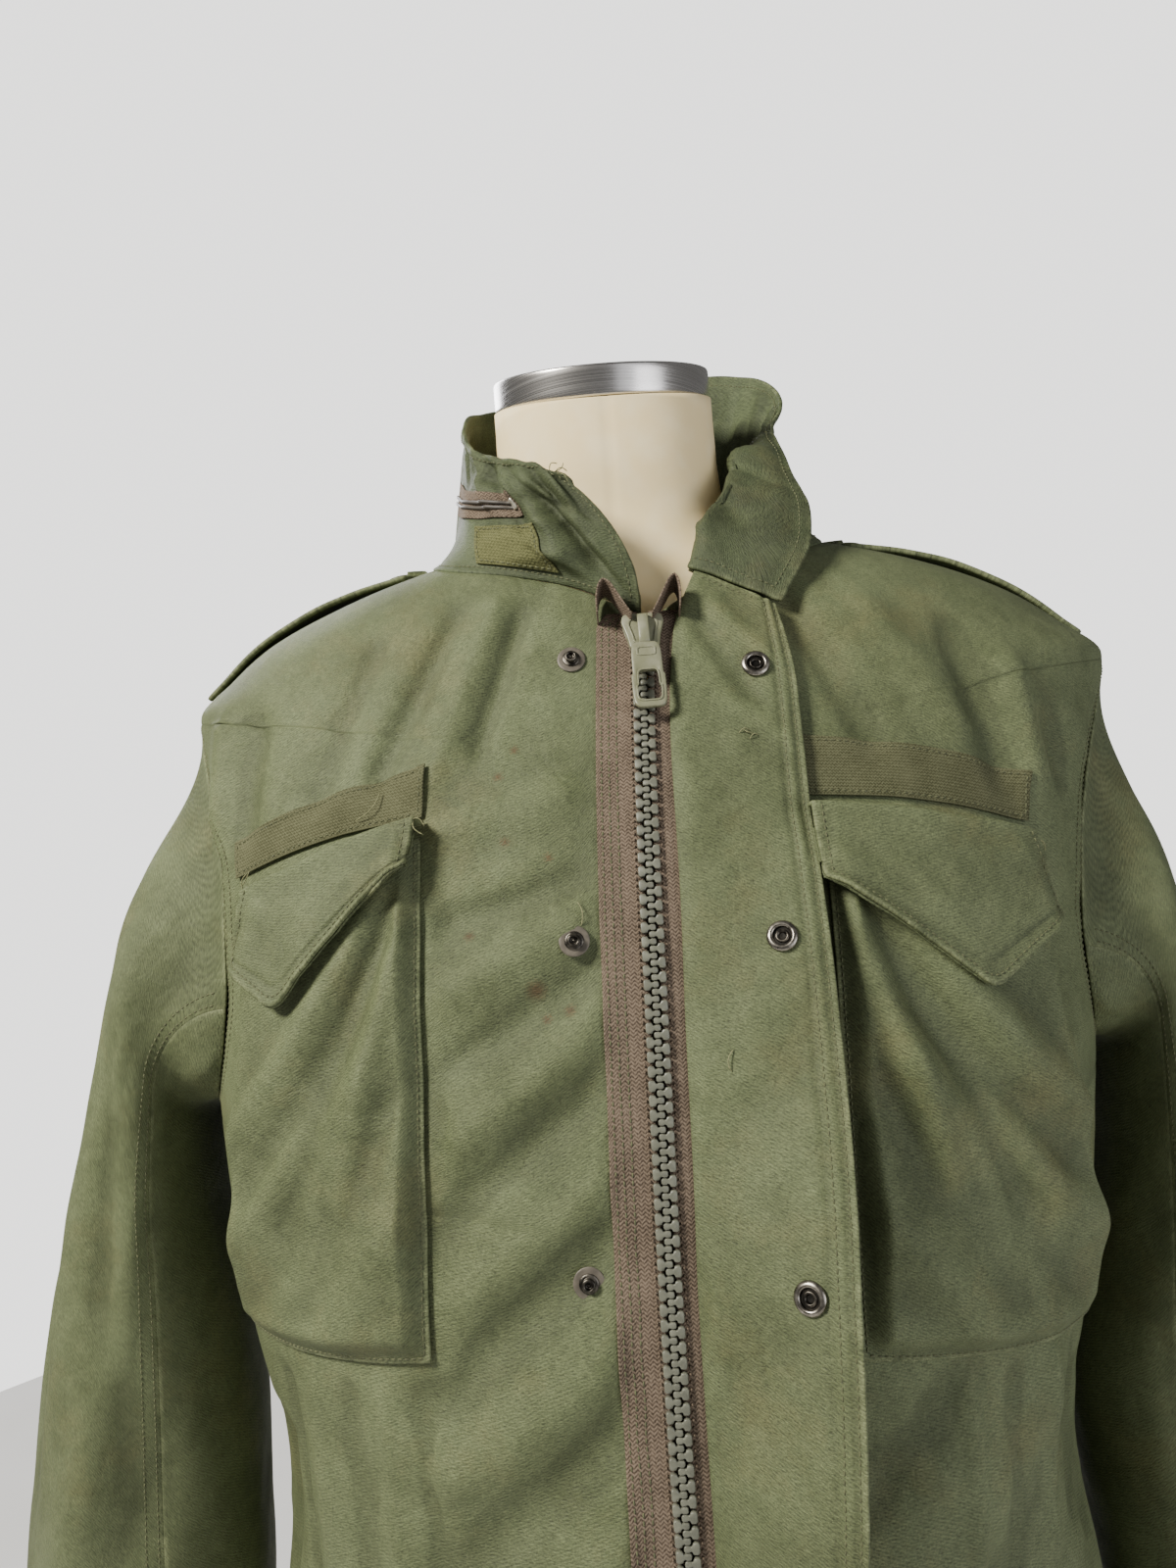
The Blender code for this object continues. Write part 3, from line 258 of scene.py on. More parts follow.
@dataclass
class MeshData:
    """Points and faces gathered for one object."""

    points: Array
    quads: Array
    tris: Array = field(default_factory=lambda: np.zeros((0, 3), int))
    uv: Array | None = None
    floats: dict[str, Array] = field(default_factory=dict)

    def build(self, name: str, finish: "Finish", slot: str, body: str = BODY) -> bpy.types.Object:
        """Makes the object, dressed and riding on its body.

        Args:
            name: The object's name.
            finish: The finish of its surface.
            slot: Not used.
            body: The body it rides on.

        Returns:
            The new object.
        """
        sizes = np.concatenate([np.full(len(self.quads), 4), np.full(len(self.tris), 3)])
        corners = np.concatenate([self.quads.reshape(-1), self.tris.reshape(-1)]).astype(np.int32)
        mesh = bpy.data.meshes.new(name)
        mesh.vertices.add(len(self.points))
        mesh.vertices.foreach_set("co", self.points.astype(np.float32).reshape(-1))
        mesh.loops.add(len(corners))
        mesh.loops.foreach_set("vertex_index", corners)
        mesh.polygons.add(len(sizes))
        starts = np.concatenate([[0], np.cumsum(sizes)[:-1]]).astype(np.int32)
        mesh.polygons.foreach_set("loop_start", starts)
        mesh.polygons.foreach_set("use_smooth", np.ones(len(sizes), bool))
        if self.uv is not None:
            layer = mesh.uv_layers.new(name="cloth")
            layer.data.foreach_set("uv", self.uv[corners].astype(np.float32).reshape(-1))
        for key, values in self.floats.items():
            attribute = mesh.attributes.new(key, "FLOAT", "POINT")
            attribute.data.foreach_set("value", values.astype(np.float32).reshape(-1))
        mesh.update(calc_edges=True)
        mesh.validate()
        mesh.materials.append(finish.material())
        made = bpy.data.objects.new(name, mesh)
        bpy.context.scene.collection.objects.link(made)
        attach(made, body)
        return made


def joined(parts: list[MeshData]) -> MeshData:
    """Several meshes as one, without their UV maps and values."""
    shift = np.cumsum([0] + [len(part.points) for part in parts[:-1]])
    return MeshData(
        np.concatenate([part.points for part in parts]),
        np.concatenate([part.quads.reshape(-1, 4) + s for part, s in zip(parts, shift)]),
        np.concatenate([part.tris.reshape(-1, 3) + s for part, s in zip(parts, shift)]),
    )


def grid_quads(count: int, rows: int, closed: bool = False, start: int = 0) -> Array:
    """The quads of a grid whose point (i, j) has the number start + i * rows + j."""
    i, j = mesh_grid(np.arange(count if closed else count - 1), np.arange(rows - 1))
    a, b = start + i * rows + j, start + (i + 1) % count * rows + j
    return np.stack([a, b, b + 1, a + 1], -1).reshape(-1, 4)


def fan(ring: Array, tip: int, top: bool) -> Array:
    """Triangles from every step of a ring of point numbers to a tip, which looks up from a top."""
    after = np.roll(ring, -1)
    return np.stack([ring, after, 0 * ring + tip] if top else [after, ring, 0 * ring + tip], -1)


def capped(grid: Array, tips: Array) -> MeshData:
    """A grid closed round its columns, with a fan from its first and its last row to one tip each."""
    count, rows = grid.shape[:2]
    low = np.arange(count) * rows
    fans = [fan(low, count * rows, False), fan(low + rows - 1, count * rows + 1, True)]
    return MeshData(np.concatenate([grid.reshape(-1, 3), tips]), grid_quads(count, rows, closed=True),
                    np.concatenate(fans))


def turned(profile: Array, at: Array, axis: Array, steps: int = 36) -> MeshData:
    """A profile of (radius, height) turned about an axis: P = at + r (c e1 + s e2) + h axis.

    A profile that starts or ends at radius 0 is closed there, and any other profile is a closed loop.

    Args:
        profile: Radii and heights, from the bottom up the outer side.
        at: A point of the axis, where height is 0.
        axis: The axis direction.
        steps: How many columns go round.

    Returns:
        The mesh.
    """
    axis = unit(np.asarray(axis, float))
    first = unit(np.cross(axis, [0.0, 0.0, 1.0] if abs(axis[2]) < 0.9 else [0.0, 1.0, 0.0]))
    second = np.cross(axis, first)
    loop = profile[0, 0] > 0
    if loop:
        profile = np.concatenate([profile, profile[:1]])
    turn, radius = mesh_grid(np.linspace(0, 2 * math.pi, steps, endpoint=False), profile[:, 0])
    height = np.broadcast_to(profile[:, 1], radius.shape)
    grid = np.asarray(at) + (
        (radius * np.cos(turn))[..., None] * first + (radius * np.sin(turn))[..., None] * second
        + height[..., None] * axis
    )
    return welded(MeshData(grid.reshape(-1, 3), grid_quads(steps, len(profile), closed=True)))


def welded(mesh: MeshData) -> MeshData:
    """A mesh with points at one place made one, and quads with a doubled corner made triangles."""
    keys = np.round(mesh.points / 1e-6).astype(np.int64)
    _, first, index = np.unique(keys, axis=0, return_index=True, return_inverse=True)
    index = index.reshape(-1)
    quads = index[mesh.quads]
    same = quads == np.roll(quads, -1, axis=1)
    whole, torn = quads[~same.any(axis=1)], quads[same.sum(axis=1) == 1]
    keep = ~same[same.sum(axis=1) == 1]
    return MeshData(mesh.points[first], whole, torn[keep].reshape(-1, 3))


def profile_of(points: Profile, rounds: int = 2) -> Array:
    """A profile in millimetres as metres, its corners cut by Chaikin's rule, its ends kept."""
    path = np.array(points, float) * MM
    for _ in range(rounds):
        a, b = path[:-1] * 0.75 + path[1:] * 0.25, path[:-1] * 0.25 + path[1:] * 0.75
        path = np.concatenate([path[:1], np.stack([a, b], 1).reshape(-1, 2), path[-1:]])
    return path


@dataclass
class Cloth:
    """A piece of cloth: a grid of its outer face, a wall, and rounded rims."""

    name: str
    grid: Array
    wall: float
    towards: tuple[float, float, float]
    stitched: tuple[Side, ...] = ()

    def data(self) -> MeshData:
        """The closed wall: outer face, inner face at -wall with half the rows, two rim rings between."""
        count, rows = self.grid.shape[:2]
        out = grid_normals(self.grid, np.array(self.towards))
        inner = self.grid - out * self.wall
        keep_i, keep_j = np.arange(count) % 2 == 0, np.arange(rows) % 2 == 0
        keep_i[-1] = keep_j[-1] = True
        columns, lines = np.cumsum(keep_i) - 1, np.cumsum(keep_j) - 1
        rim_i = np.concatenate([np.zeros(rows, int), np.arange(1, count), np.full(rows - 1, count - 1),
                                np.arange(count - 2, 0, -1)])
        rim_j = np.concatenate([np.arange(rows), np.full(count - 1, rows - 1), np.arange(rows - 2, -1, -1),
                                np.zeros(count - 2, int)])
        rim = rim_i * rows + rim_j
        inward = np.clip(rim_i, 1, count - 2) * rows + np.clip(rim_j, 1, rows - 2)
        outer, lining = self.grid.reshape(-1, 3), inner.reshape(-1, 3)
        away = unit(outer[rim] - outer[inward]) * RIM_BULGE * self.wall
        high = outer[rim] * (1 - RIM_DEPTH) + lining[rim] * RIM_DEPTH + away
        low = outer[rim] * RIM_DEPTH + lining[rim] * (1 - RIM_DEPTH) + away
        coarse = inner[keep_i][:, keep_j]
        under = count * rows
        top = under + coarse.shape[0] * coarse.shape[1]
        ring = np.arange(len(rim))
        kept = keep_i[rim_i] & keep_j[rim_j]
        holder = np.maximum.accumulate(np.where(kept, ring, 0))
        hold = under + (columns[rim_i] * coarse.shape[1] + lines[rim_j])[holder]
        rings = [rim, top + ring, top + len(rim) + ring]
        i, j = count // 2, rows // 2
        here = np.cross(self.grid[i + 1, j] - self.grid[i, j], self.grid[i, j + 1] - self.grid[i, j])
        face, back = grid_quads(count, rows), grid_quads(coarse.shape[0], coarse.shape[1], start=under)
        sides = np.concatenate([
            np.stack([np.roll(a, -1), np.roll(b, -1), b, a], -1) for a, b in zip(rings[:-1], rings[1:])
        ])
        last, following = rings[2], np.roll(hold, -1)
        step = following != hold
        tris = np.concatenate([
            np.stack([np.roll(last, -1), hold, last], -1),
            np.stack([np.roll(last, -1), following, hold], -1)[step],
        ])
        faces = np.concatenate([face, back[:, ::-1], sides])
        if float(np.dot(here, out[i, j])) < 0:
            faces, tris = faces[:, ::-1], tris[:, ::-1]
        uv = np.stack([running_length(self.grid, 0), running_length(self.grid, 1)], -1)
        edge = edge_distance(self.grid, self.stitched)
        # relief: how far each point stands out of its neighbourhood, which the sateen turns into painted shade
        # in hollows and painted light on crests
        relief = np.sum((self.grid - blurred(self.grid, RELIEF_REACH)) * out, -1) / MM

        def spread(values: Array) -> Array:
            """Values of the grid for all the points: outer face, inner face, both rings."""
            flat = values.reshape(-1, *values.shape[2:])
            less = values[keep_i][:, keep_j]
            return np.concatenate([flat, less.reshape(-1, *values.shape[2:]), flat[rim], flat[rim]])

        return MeshData(
            np.concatenate([outer, coarse.reshape(-1, 3), high, low]),
            faces,
            tris,
            uv=spread(uv),
            floats={"edge": spread(edge), "relief": spread(relief)},
        )

    def cut(self) -> tuple[float, float, float]:
        """The flat cut: the widest width, the longest length and the area, in metres and square metres."""
        across, along = running_length(self.grid, 0), running_length(self.grid, 1)
        a = self.grid[1:, 1:] - self.grid[:-1, :-1]
        b = self.grid[1:, :-1] - self.grid[:-1, 1:]
        area = float(np.linalg.norm(np.cross(a, b), axis=-1).sum() / 2)
        return float(across[-1].max()), float(along[:, -1].max()), area

    def make(self, finish: "Finish", slot: str, node: str | None, rests_on: list[str],
             held: str = "draped") -> bpy.types.Object:
        """Builds the piece, replaces its node and declares its cut.

        Args:
            finish: The finish of the cloth.
            slot: A material slot, passed on to the mesh's build, which does not use it.
            node: The CAD node that it stands for, if any.
            rests_on: What it lies on or hangs from; not used.
            held: How it is held; not used.

        Returns:
            The object.
        """
        made = self.data().build(self.name, finish, slot)
        if node:
            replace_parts(made, node)
        width, length, area = self.cut()
        LOG.info("%s: cut %.0f x %.0f mm, %.4f m2", self.name, width / MM, length / MM, area)
        return made


@dataclass
class Sewing:
    """Rows of thread: every stitch is a thin bead laid on the cloth along its row."""

    name: str
    pitch: float = 3.1 * MM
    length: float = 2.5 * MM
    radius: float = 0.42 * MM
    rows: list[MeshData] = field(default_factory=list)

    def row(self, path: Array, facing: Array) -> None:
        """Adds a row of stitches along a path.

        A stitch is P = A + t L + n r h(t) + r w(t) (cos f s + sin f n), with t from 0 to 1 along it.

        Args:
            path: Points on the cloth's outer face, of shape (n, 3).
            facing: The cloth's outward direction, one for all or one a point.
        """
        run = run_along(path)
        count = int(run[-1] / self.pitch)
        if count < 1:
            return
        start = (np.arange(count) + 0.5) * (run[-1] / count) - self.length / 2
        a, b = read_along(path, start), read_along(path, start + self.length)
        facing = np.broadcast_to(facing, path.shape)
        out = np.stack([np.interp(start + self.length / 2, run, facing[:, k]) for k in range(3)], -1)
        along = b - a
        side = unit(np.cross(unit(out), unit(along)))
        out = unit(np.cross(unit(along), side))
        # share of the length, width and height of the three rings, and the depth of both tips
        at, wide, high = np.array([[0.16, 0.85, 0.0], [0.5, 1.0, 0.35], [0.84, 0.85, 0.0]]).T
        sunk = -0.7
        turn = np.arange(4) * math.pi / 2
        ring = (
            a[:, None, None] + along[:, None, None] * at[:, None, None]
            + out[:, None, None] * (high[:, None] + wide[:, None] * np.sin(turn))[..., None] * self.radius
            + side[:, None, None] * (wide[:, None] * np.cos(turn))[..., None] * self.radius
        )
        tips = np.stack([a + out * sunk * self.radius, b + out * sunk * self.radius], 1)
        points = np.concatenate([ring.reshape(count, 12, 3), tips], 1)
        k = np.arange(4)
        n = (k + 1) % 4
        band = np.stack([k, 4 + k, 4 + n, n], -1)
        quads = np.concatenate([band, band + 4])
        tris = np.concatenate([fan(k, 12, True), fan(8 + k, 13, False)])
        shift = (np.arange(count) * 14)[:, None, None]
        self.rows.append(MeshData(
            points.reshape(-1, 3), (quads[None] + shift).reshape(-1, 4), (tris[None] + shift).reshape(-1, 3)
        ))

    def rows_on(self, cloth: Cloth, sides: Side | tuple[Side, ...], distances: tuple[float, ...],
                ends: float = 2.0, behind: bool = False) -> None:
        """Adds rows beside the sides of a cloth, or on its inner face.

        Args:
            cloth: The cloth.
            sides: The side or the sides that the rows follow.
            distances: How far each row runs from the side, in millimetres.
            ends: How much is left off at both ends of a row, in millimetres.
            behind: Whether the rows lie on the inner face.
        """
        out = grid_normals(cloth.grid, np.array(cloth.towards))
        grid = cloth.grid - out * cloth.wall if behind else cloth.grid
        out = -out if behind else out
        for side in (sides if isinstance(sides, tuple) else (sides,)):
            for away in distances:
                path = line_beside(grid, side, away * MM, ends * MM)
                lifted = line_beside(grid + out * MM, side, away * MM, ends * MM)
                self.row(path, unit(lifted - path))

    def make(self, finish: "Finish", slot: str) -> bpy.types.Object:
        """Builds all the rows as one object."""
        made = joined(self.rows).build(self.name, finish, slot)
        LOG.info("%s: %d rows of sewing", self.name, len(self.rows))
        return made


# ---- the garment's shape


@dataclass
class JacketShape:
    """The jacket's outside as a surface P(theta, z): theta 0 is the front, +90 degrees the wearer's left."""

    rings: Array = field(default_factory=lambda: np.array([
        # height, half width, front depth, back depth, shift to +X
        [0.1, 0.235, 0.193, 0.15, 0.0], [0.16, 0.232, 0.194, 0.148, 0.0], [0.23, 0.225, 0.195, 0.144, 0.0],
        [0.34, 0.214, 0.194, 0.137, 0.0], [0.43, 0.205, 0.19, 0.132, 0.0], [0.52, 0.221, 0.182, 0.134, 0.0],
        [0.6, 0.231, 0.171, 0.138, 0.001], [0.68, 0.235, 0.158, 0.137, 0.003],
        [0.74, 0.24, 0.14, 0.13, 0.007], [0.78, 0.244, 0.1225, 0.118, 0.011],
        [0.812, 0.2475, 0.107, 0.102, 0.0145], [0.83, 0.2285, 0.0985, 0.092, 0.0125],
        [0.846, 0.208, 0.09, 0.084, 0.0115], [0.86, 0.181, 0.0815, 0.078, 0.011],
        [0.871, 0.152, 0.075, 0.074, 0.0095], [0.88, 0.118, 0.0705, 0.071, 0.006],
        [0.886, 0.089, 0.068, 0.069, 0.0015], [0.895, 0.075, 0.0655, 0.067, 0.0],
        [0.91, 0.0665, 0.0625, 0.0645, 0.0], [0.93, 0.0615, 0.0605, 0.0615, 0.0],
        [0.99, 0.06, 0.06, 0.06, 0.0],
    ]))
    # power of the super-ellipse round the body, and factor for the depth of the creases
    square: float = 2.4
    deepen: float = 3.4
    # heights of the hem, waist, underarm, shoulder point and collar seam at the side
    hem: float = 0.12
    waist: float = 0.462
    underarm: float = 0.608
    shoulder: float = 0.812
    neck_side: float = 0.886
    # long folds: from (degrees, height) to (degrees, height), depth in mm (minus goes in), half width in mm
    folds: Table = (
        (-78, 0.64, -40, 0.7, -4.0, 17), (-30, 0.64, -13, 0.56, 3.0, 22), (-38, 0.5, -14, 0.43, -3.5, 20),
        (-62, 0.48, -70, 0.36, -4.5, 14), (-80, 0.5, -84, 0.34, 4.0, 13), (-48, 0.47, -44, 0.33, 3.0, 18),
        (34, 0.5, 20, 0.4, 3.0, 20), (76, 0.64, 44, 0.7, -4.0, 17), (60, 0.48, 66, 0.35, -4.5, 15),
        (80, 0.5, 84, 0.34, 4.0, 14), (118, 0.7, 150, 0.76, -4.0, 20), (-118, 0.69, -148, 0.76, -4.0, 20),
        (112, 0.5, 118, 0.34, -5.0, 17), (140, 0.51, 136, 0.33, -4.0, 20), (172, 0.52, 176, 0.32, -4.0, 22),
        (-136, 0.5, -140, 0.33, -5.0, 18), (-112, 0.48, -108, 0.33, 4.5, 16),
        (158, 0.64, 196, 0.61, -3.5, 26), (128, 0.3, 132, 0.15, 4.0, 26),
        (-128, 0.28, -133, 0.15, -4.0, 26), (100, 0.28, 98, 0.14, -3.5, 22),
        (-99, 0.29, -97, 0.14, -3.5, 22),
    )
    # creases in the cloth: x and height of both ends, depth in mm, half width in mm. They lie on the fronts
    creases: Table = (
        (-0.108, 0.7, -0.03, 0.722, -1.0, 7), (-0.1, 0.672, -0.026, 0.704, 1.0, 8),
        (-0.104, 0.64, -0.03, 0.68, -1.1, 8), (-0.096, 0.61, -0.022, 0.662, 1.1, 9),
        (-0.104, 0.58, -0.026, 0.636, -1.2, 9), (-0.098, 0.548, -0.022, 0.6, 1.1, 10),
        (-0.104, 0.515, -0.03, 0.572, -1.4, 10), (-0.096, 0.48, -0.022, 0.536, 1.3, 11),
        (-0.1, 0.44, -0.03, 0.5, -1.4, 11), (-0.092, 0.4, -0.03, 0.452, 1.1, 12),
        (-0.09, 0.745, -0.035, 0.757, 0.7, 8), (-0.12, 0.775, -0.085, 0.845, -1.4, 6),
        (-0.095, 0.77, -0.062, 0.85, 1.0, 7), (-0.15, 0.77, -0.125, 0.832, -1.0, 8),
        (-0.072, 0.785, -0.052, 0.842, -1.2, 5), (0.08, 0.84, 0.105, 0.78, -1.2, 8),
        (0.12, 0.835, 0.15, 0.78, 1.0, 9), (0.185, 0.8, 0.195, 0.7, 1.6, 8),
        (0.16, 0.815, 0.178, 0.7, -1.6, 9), (0.205, 0.77, 0.206, 0.69, -1.4, 7),
        (-0.206, 0.8, -0.214, 0.69, 1.5, 7), (-0.186, 0.8, -0.2, 0.7, -1.3, 8),
        (-0.112, 0.512, -0.108, 0.43, -0.8, 4), (-0.128, 0.508, -0.126, 0.42, 0.8, 4),
        (-0.146, 0.506, -0.14, 0.425, -0.9, 5), (-0.163, 0.502, -0.156, 0.42, 0.8, 5),
        (-0.182, 0.5, -0.174, 0.415, -1.0, 5), (0.118, 0.498, 0.112, 0.425, 0.8, 4),
        (0.14, 0.494, 0.134, 0.42, -0.9, 5), (0.162, 0.49, 0.156, 0.415, 0.9, 5),
        (0.184, 0.488, 0.176, 0.415, -0.9, 5), (0.11, 0.5, 0.06, 0.46, -1.2, 12),
        (0.15, 0.47, 0.08, 0.41, 1.0, 13),
    )
    neckline: Array = field(default_factory=lambda: np.array([
        # degrees from the front, height
        [0, 0.8385], [10, 0.848], [22, 0.8575], [40, 0.867], [55, 0.874], [70, 0.881], [90, 0.886],
        [110, 0.8915], [130, 0.897], [155, 0.902], [180, 0.9035],
    ]))
    armhole: Array = field(default_factory=lambda: np.array([
        # height, share of the half width
        [0.608, 1.0], [0.612, 0.985], [0.622, 0.955], [0.645, 0.915], [0.68, 0.89], [0.72, 0.89],
        [0.755, 0.915], [0.785, 0.955], [0.803, 0.985], [0.812, 1.0],
    ]))
    zip_line: Array = field(default_factory=lambda: np.array([
        # height, x of the middle of the zip
        [0.1, -0.0065], [0.471, -0.0062], [0.547, -0.0052], [0.606, -0.0036], [0.662, -0.0018],
        [0.718, 0.0002], [0.777, 0.0036], [0.835, 0.0083], [0.87, 0.011],
    ]))

    def ring(self, z: Array) -> list[Array]:
        """Half width, front depth, back depth and shift at a height."""
        return [curve(self.rings[:, 0], self.rings[:, k], z) for k in (1, 2, 3, 4)]

    def plain(self, theta: Array, z: Array) -> Array:
        """The outside without folds: P = (shift + r sin, -r cos, z), r from (|x|/a)^n + (|y|/b)^n = 1."""
        theta, z = np.broadcast_arrays(np.asarray(theta, float), np.asarray(z, float))
        half, front, back, shift = self.ring(z)
        s, c = np.sin(theta), np.cos(theta)
        deep = np.where(c > 0, front, back)
        reach = ((np.abs(s) / half) ** self.square + (np.abs(c) / deep) ** self.square) ** (-1 / self.square)
        return np.stack([shift + reach * s, -reach * c, z], -1)

    def normal(self, theta: Array, z: Array) -> Array:
        """Outward normal of the plain outside, from its two difference vectors."""
        across = self.plain(theta + 1e-3, z) - self.plain(theta - 1e-3, z)
        up = self.plain(theta, z + 4e-4) - self.plain(theta, z - 4e-4)
        return unit(np.cross(across, up))

    def fold_lift(self, theta: Array, z: Array) -> Array:
        """Height of the long folds: depth * exp(-(side/w)^2 - (past/1.6w)^2) summed over the table."""
        lift = np.zeros(np.broadcast(theta, z).shape)
        for a0, z0, a1, z1, depth, wide in self.folds:
            turn = (theta - math.radians(a0) + math.pi) % (2 * math.pi) - math.pi
            lift = lift + self.ridge(turn * 0.2, z - z0, math.radians(a1 - a0) * 0.2, z1 - z0, depth, wide)
        return lift

    @staticmethod
    def ridge(px: Array, pz: Array, dx: float, dz: float, depth: float, wide: float) -> Array:
        """One ridge along (dx, dz) from the origin, as deep and wide as given in millimetres."""
        long = math.hypot(dx, dz)
        along, side = (px * dx + pz * dz) / long, (px * dz - pz * dx) / long
        past = np.maximum(np.maximum(-along, along - long), 0)
        return depth * MM * np.exp(-((side / (wide * MM)) ** 2) - (past / (1.6 * wide * MM)) ** 2)

    @classmethod
    def ridges(cls, px: Array, pz: Array, table: Table, deepen: float = 1.0,
               size: tuple[float, float] = (1.0, 1.0)) -> Array:
        """The ridges of a table, added up.

        Args:
            px: Positions across, in parts of the size.
            pz: Positions up, in parts of the size.
            table: Both ends as (across, up), then depth and half width in millimetres.
            deepen: Factor for all depths.
            size: Metres in one part across and up.

        Returns:
            Heights in the shape of px.
        """
        lift = np.zeros(px.shape)
        for x0, z0, x1, z1, depth, wide in table:
            run = (x1 - x0) * size[0], (z1 - z0) * size[1]
            lift += cls.ridge((px - x0) * size[0], (pz - z0) * size[1], *run, depth * deepen, wide)
        return lift

    def crease_lift(self, theta: Array, z: Array) -> Array:
        """Height of the soft creases: the table's ridges on the fronts, and a slow waviness everywhere."""
        at = self.plain(theta, z)
        x, front = at[..., 0], np.cos(theta) > 0
        lift = np.where(front, self.ridges(x, z + 0 * x, self.creases, self.deepen), 0)
        # the chest pockets' bags have creases of their own, so the front lies flatter under them
        lift *= 1 - 0.8 * smooth(np.abs(x), 0.086, 0.1) * smooth(z, 0.5, 0.53) * (1 - smooth(z, 0.735, 0.76))
        around = theta * 0.22
        # the drawcord's channel round the waist pulls in and gathers the back and the sides
        beside = np.where(front, smooth(np.abs(x), 0.12, 0.145), 1)
        gather = 0.95 * drift(around / 0.01, z / 0.055, 12.0) * bump_at(z, self.waist, 0.034)
        lift = lift + (gather - 0.7 * bump_at(z, self.waist, 0.01)) * MM * beside
        slow = 0.55 * drift(around / 0.05 + z / 0.11, z / 0.06 - around / 0.16, 3.0)
        fine = 0.26 * drift(around / 0.021 - z / 0.05, z / 0.026 + around / 0.07, 8.0)
        # pulls meet in sharp crests: 1/2 - |drift|
        crest = 0.75 * (0.5 - np.abs(drift(around / 0.034 + z / 0.046, z / 0.04 - around / 0.075, 21.0)))
        return lift + (slow + fine + crest) * MM * (1 - smooth(z, 0.86, 0.885))

    def hold(self, theta: Array, z: Array) -> Array:
        """Where the cloth can't fold: 0 on the shoulders and under pockets and zip, 1 on open cloth."""
        at = self.plain(theta, z)
        x = np.abs(at[..., 0])
        free = 1 - smooth(z, 0.735, 0.785)
        chest = smooth(x, 0.085, 0.1) * (1 - smooth(x, 0.222, 0.232)) * smooth(z, 0.465, 0.485)
        low = (smooth(x, 0.045, 0.06) * (1 - smooth(x, 0.212, 0.222)) * smooth(z, 0.13, 0.15)
               * (1 - smooth(z, 0.375, 0.395)))
        zip_band = 1 - smooth(x, 0.045, 0.075)
        return free * np.where(np.cos(theta) > 0, (1 - chest) * (1 - low) * (1 - zip_band), 1)

    def point(self, theta: Array, z: Array, out: Array | float = 0.0) -> Array:
        """A point on the jacket's outside, or moved out of it, P + (folds + creases + out) n."""
        near_zip = smooth(np.abs(self.plain(theta, z)[..., 0]), 0.02, 0.034)
        quiet = np.where(np.cos(theta) > 0, near_zip, 1)
        lift = self.fold_lift(theta, z) * self.hold(theta, z) + self.crease_lift(theta, z) * quiet + out
        return self.plain(theta, z) + lift[..., None] * self.normal(theta, z)

    def angle_at(self, x: Array, z: Array) -> Array:
        """The angle where the front of the plain outside has this x at this height."""
        half, front, _, shift = self.ring(z)
        across = np.clip((x - shift) / half, -0.9999, 0.9999)
        deep = front * (1 - np.abs(across) ** self.square) ** (1 / self.square)
        return np.arctan2(across * half, deep)

    def on_front(self, x: Array, z: Array, out: Array | float = 0.0) -> Array:
        """The point of the front with this x and height, moved out by a distance."""
        x, z = np.broadcast_arrays(np.asarray(x, float), np.asarray(z, float))
        return self.point(self.angle_at(x, z), z, np.broadcast_to(out, x.shape))

    def front_frame(self, x: float, z: float, out: float) -> tuple[Array, Array, Array]:
        """Point, outward and upward directions at a place on the front."""
        at = self.on_front(np.array(x), np.array(z), out)
        away = self.normal(self.angle_at(np.array(x), np.array(z)), np.array(z))
        return at, away, unit(np.array([0, 0, 1.0]) - away * away[2])

    def roof(self, x: Array, y: Array) -> Array:
        """The height of the shoulder's top at (x, y), by halving."""
        low, high = np.full(np.shape(x), 0.7), np.full(np.shape(x), 0.93)
        for _ in range(40):
            mid = (low + high) / 2
            half, front, back, shift = self.ring(mid)
            deep = np.where(y < 0, front, back)
            inside = (np.abs(x - shift) / half) ** self.square + (np.abs(y) / deep) ** self.square < 1
            low, high = np.where(inside, mid, low), np.where(inside, high, mid)
        return (low + high) / 2

    def zip_x(self, z: Array) -> Array:
        """The x of the zip's middle at a height."""
        return curve(self.zip_line[:, 0], self.zip_line[:, 1], z)

    def neck_height(self, theta: Array) -> Array:
        """The height of the collar seam at an angle."""
        turn = np.abs(np.degrees((theta + math.pi) % (2 * math.pi) - math.pi))
        return curve(self.neckline[:, 0], self.neckline[:, 1], turn)

    def armhole_angle(self, z: Array, side: Wearer, back: bool) -> Array:
        """The armhole's angle at a height: the side line, moved to the front or back inside the armhole."""
        share = curve(self.armhole[:, 0], self.armhole[:, 1], z)
        half, front, deep_back, _ = self.ring(z)
        deep = (deep_back if back else front) * np.maximum(1 - share**self.square, 0) ** (1 / self.square)
        inside = (z > self.underarm) & (z < self.shoulder)
        turn = np.where(inside, np.arctan2(share * half, deep), math.pi / 2)
        return side.value * (math.pi - turn if back else turn)


SHAPE = JacketShape()
CLOTH_WALL = 1.5 * MM


# ---- body panels


def coons(left: Array, right: Array, bottom: Array, top: Array,
          us: Array, vs: Array) -> Array:
    """A Coons patch in the (angle, height) plane: the two ruled surfaces minus the bilinear one."""
    u, v = us[:, None, None], vs[None, :, None]
    ruled = (1 - u) * left[None] + u * right[None] + (1 - v) * bottom[:, None] + v * top[:, None]
    return ruled - ((1 - u) * (1 - v) * bottom[0] + u * (1 - v) * bottom[-1]
                    + (1 - u) * v * top[0] + u * v * top[-1])


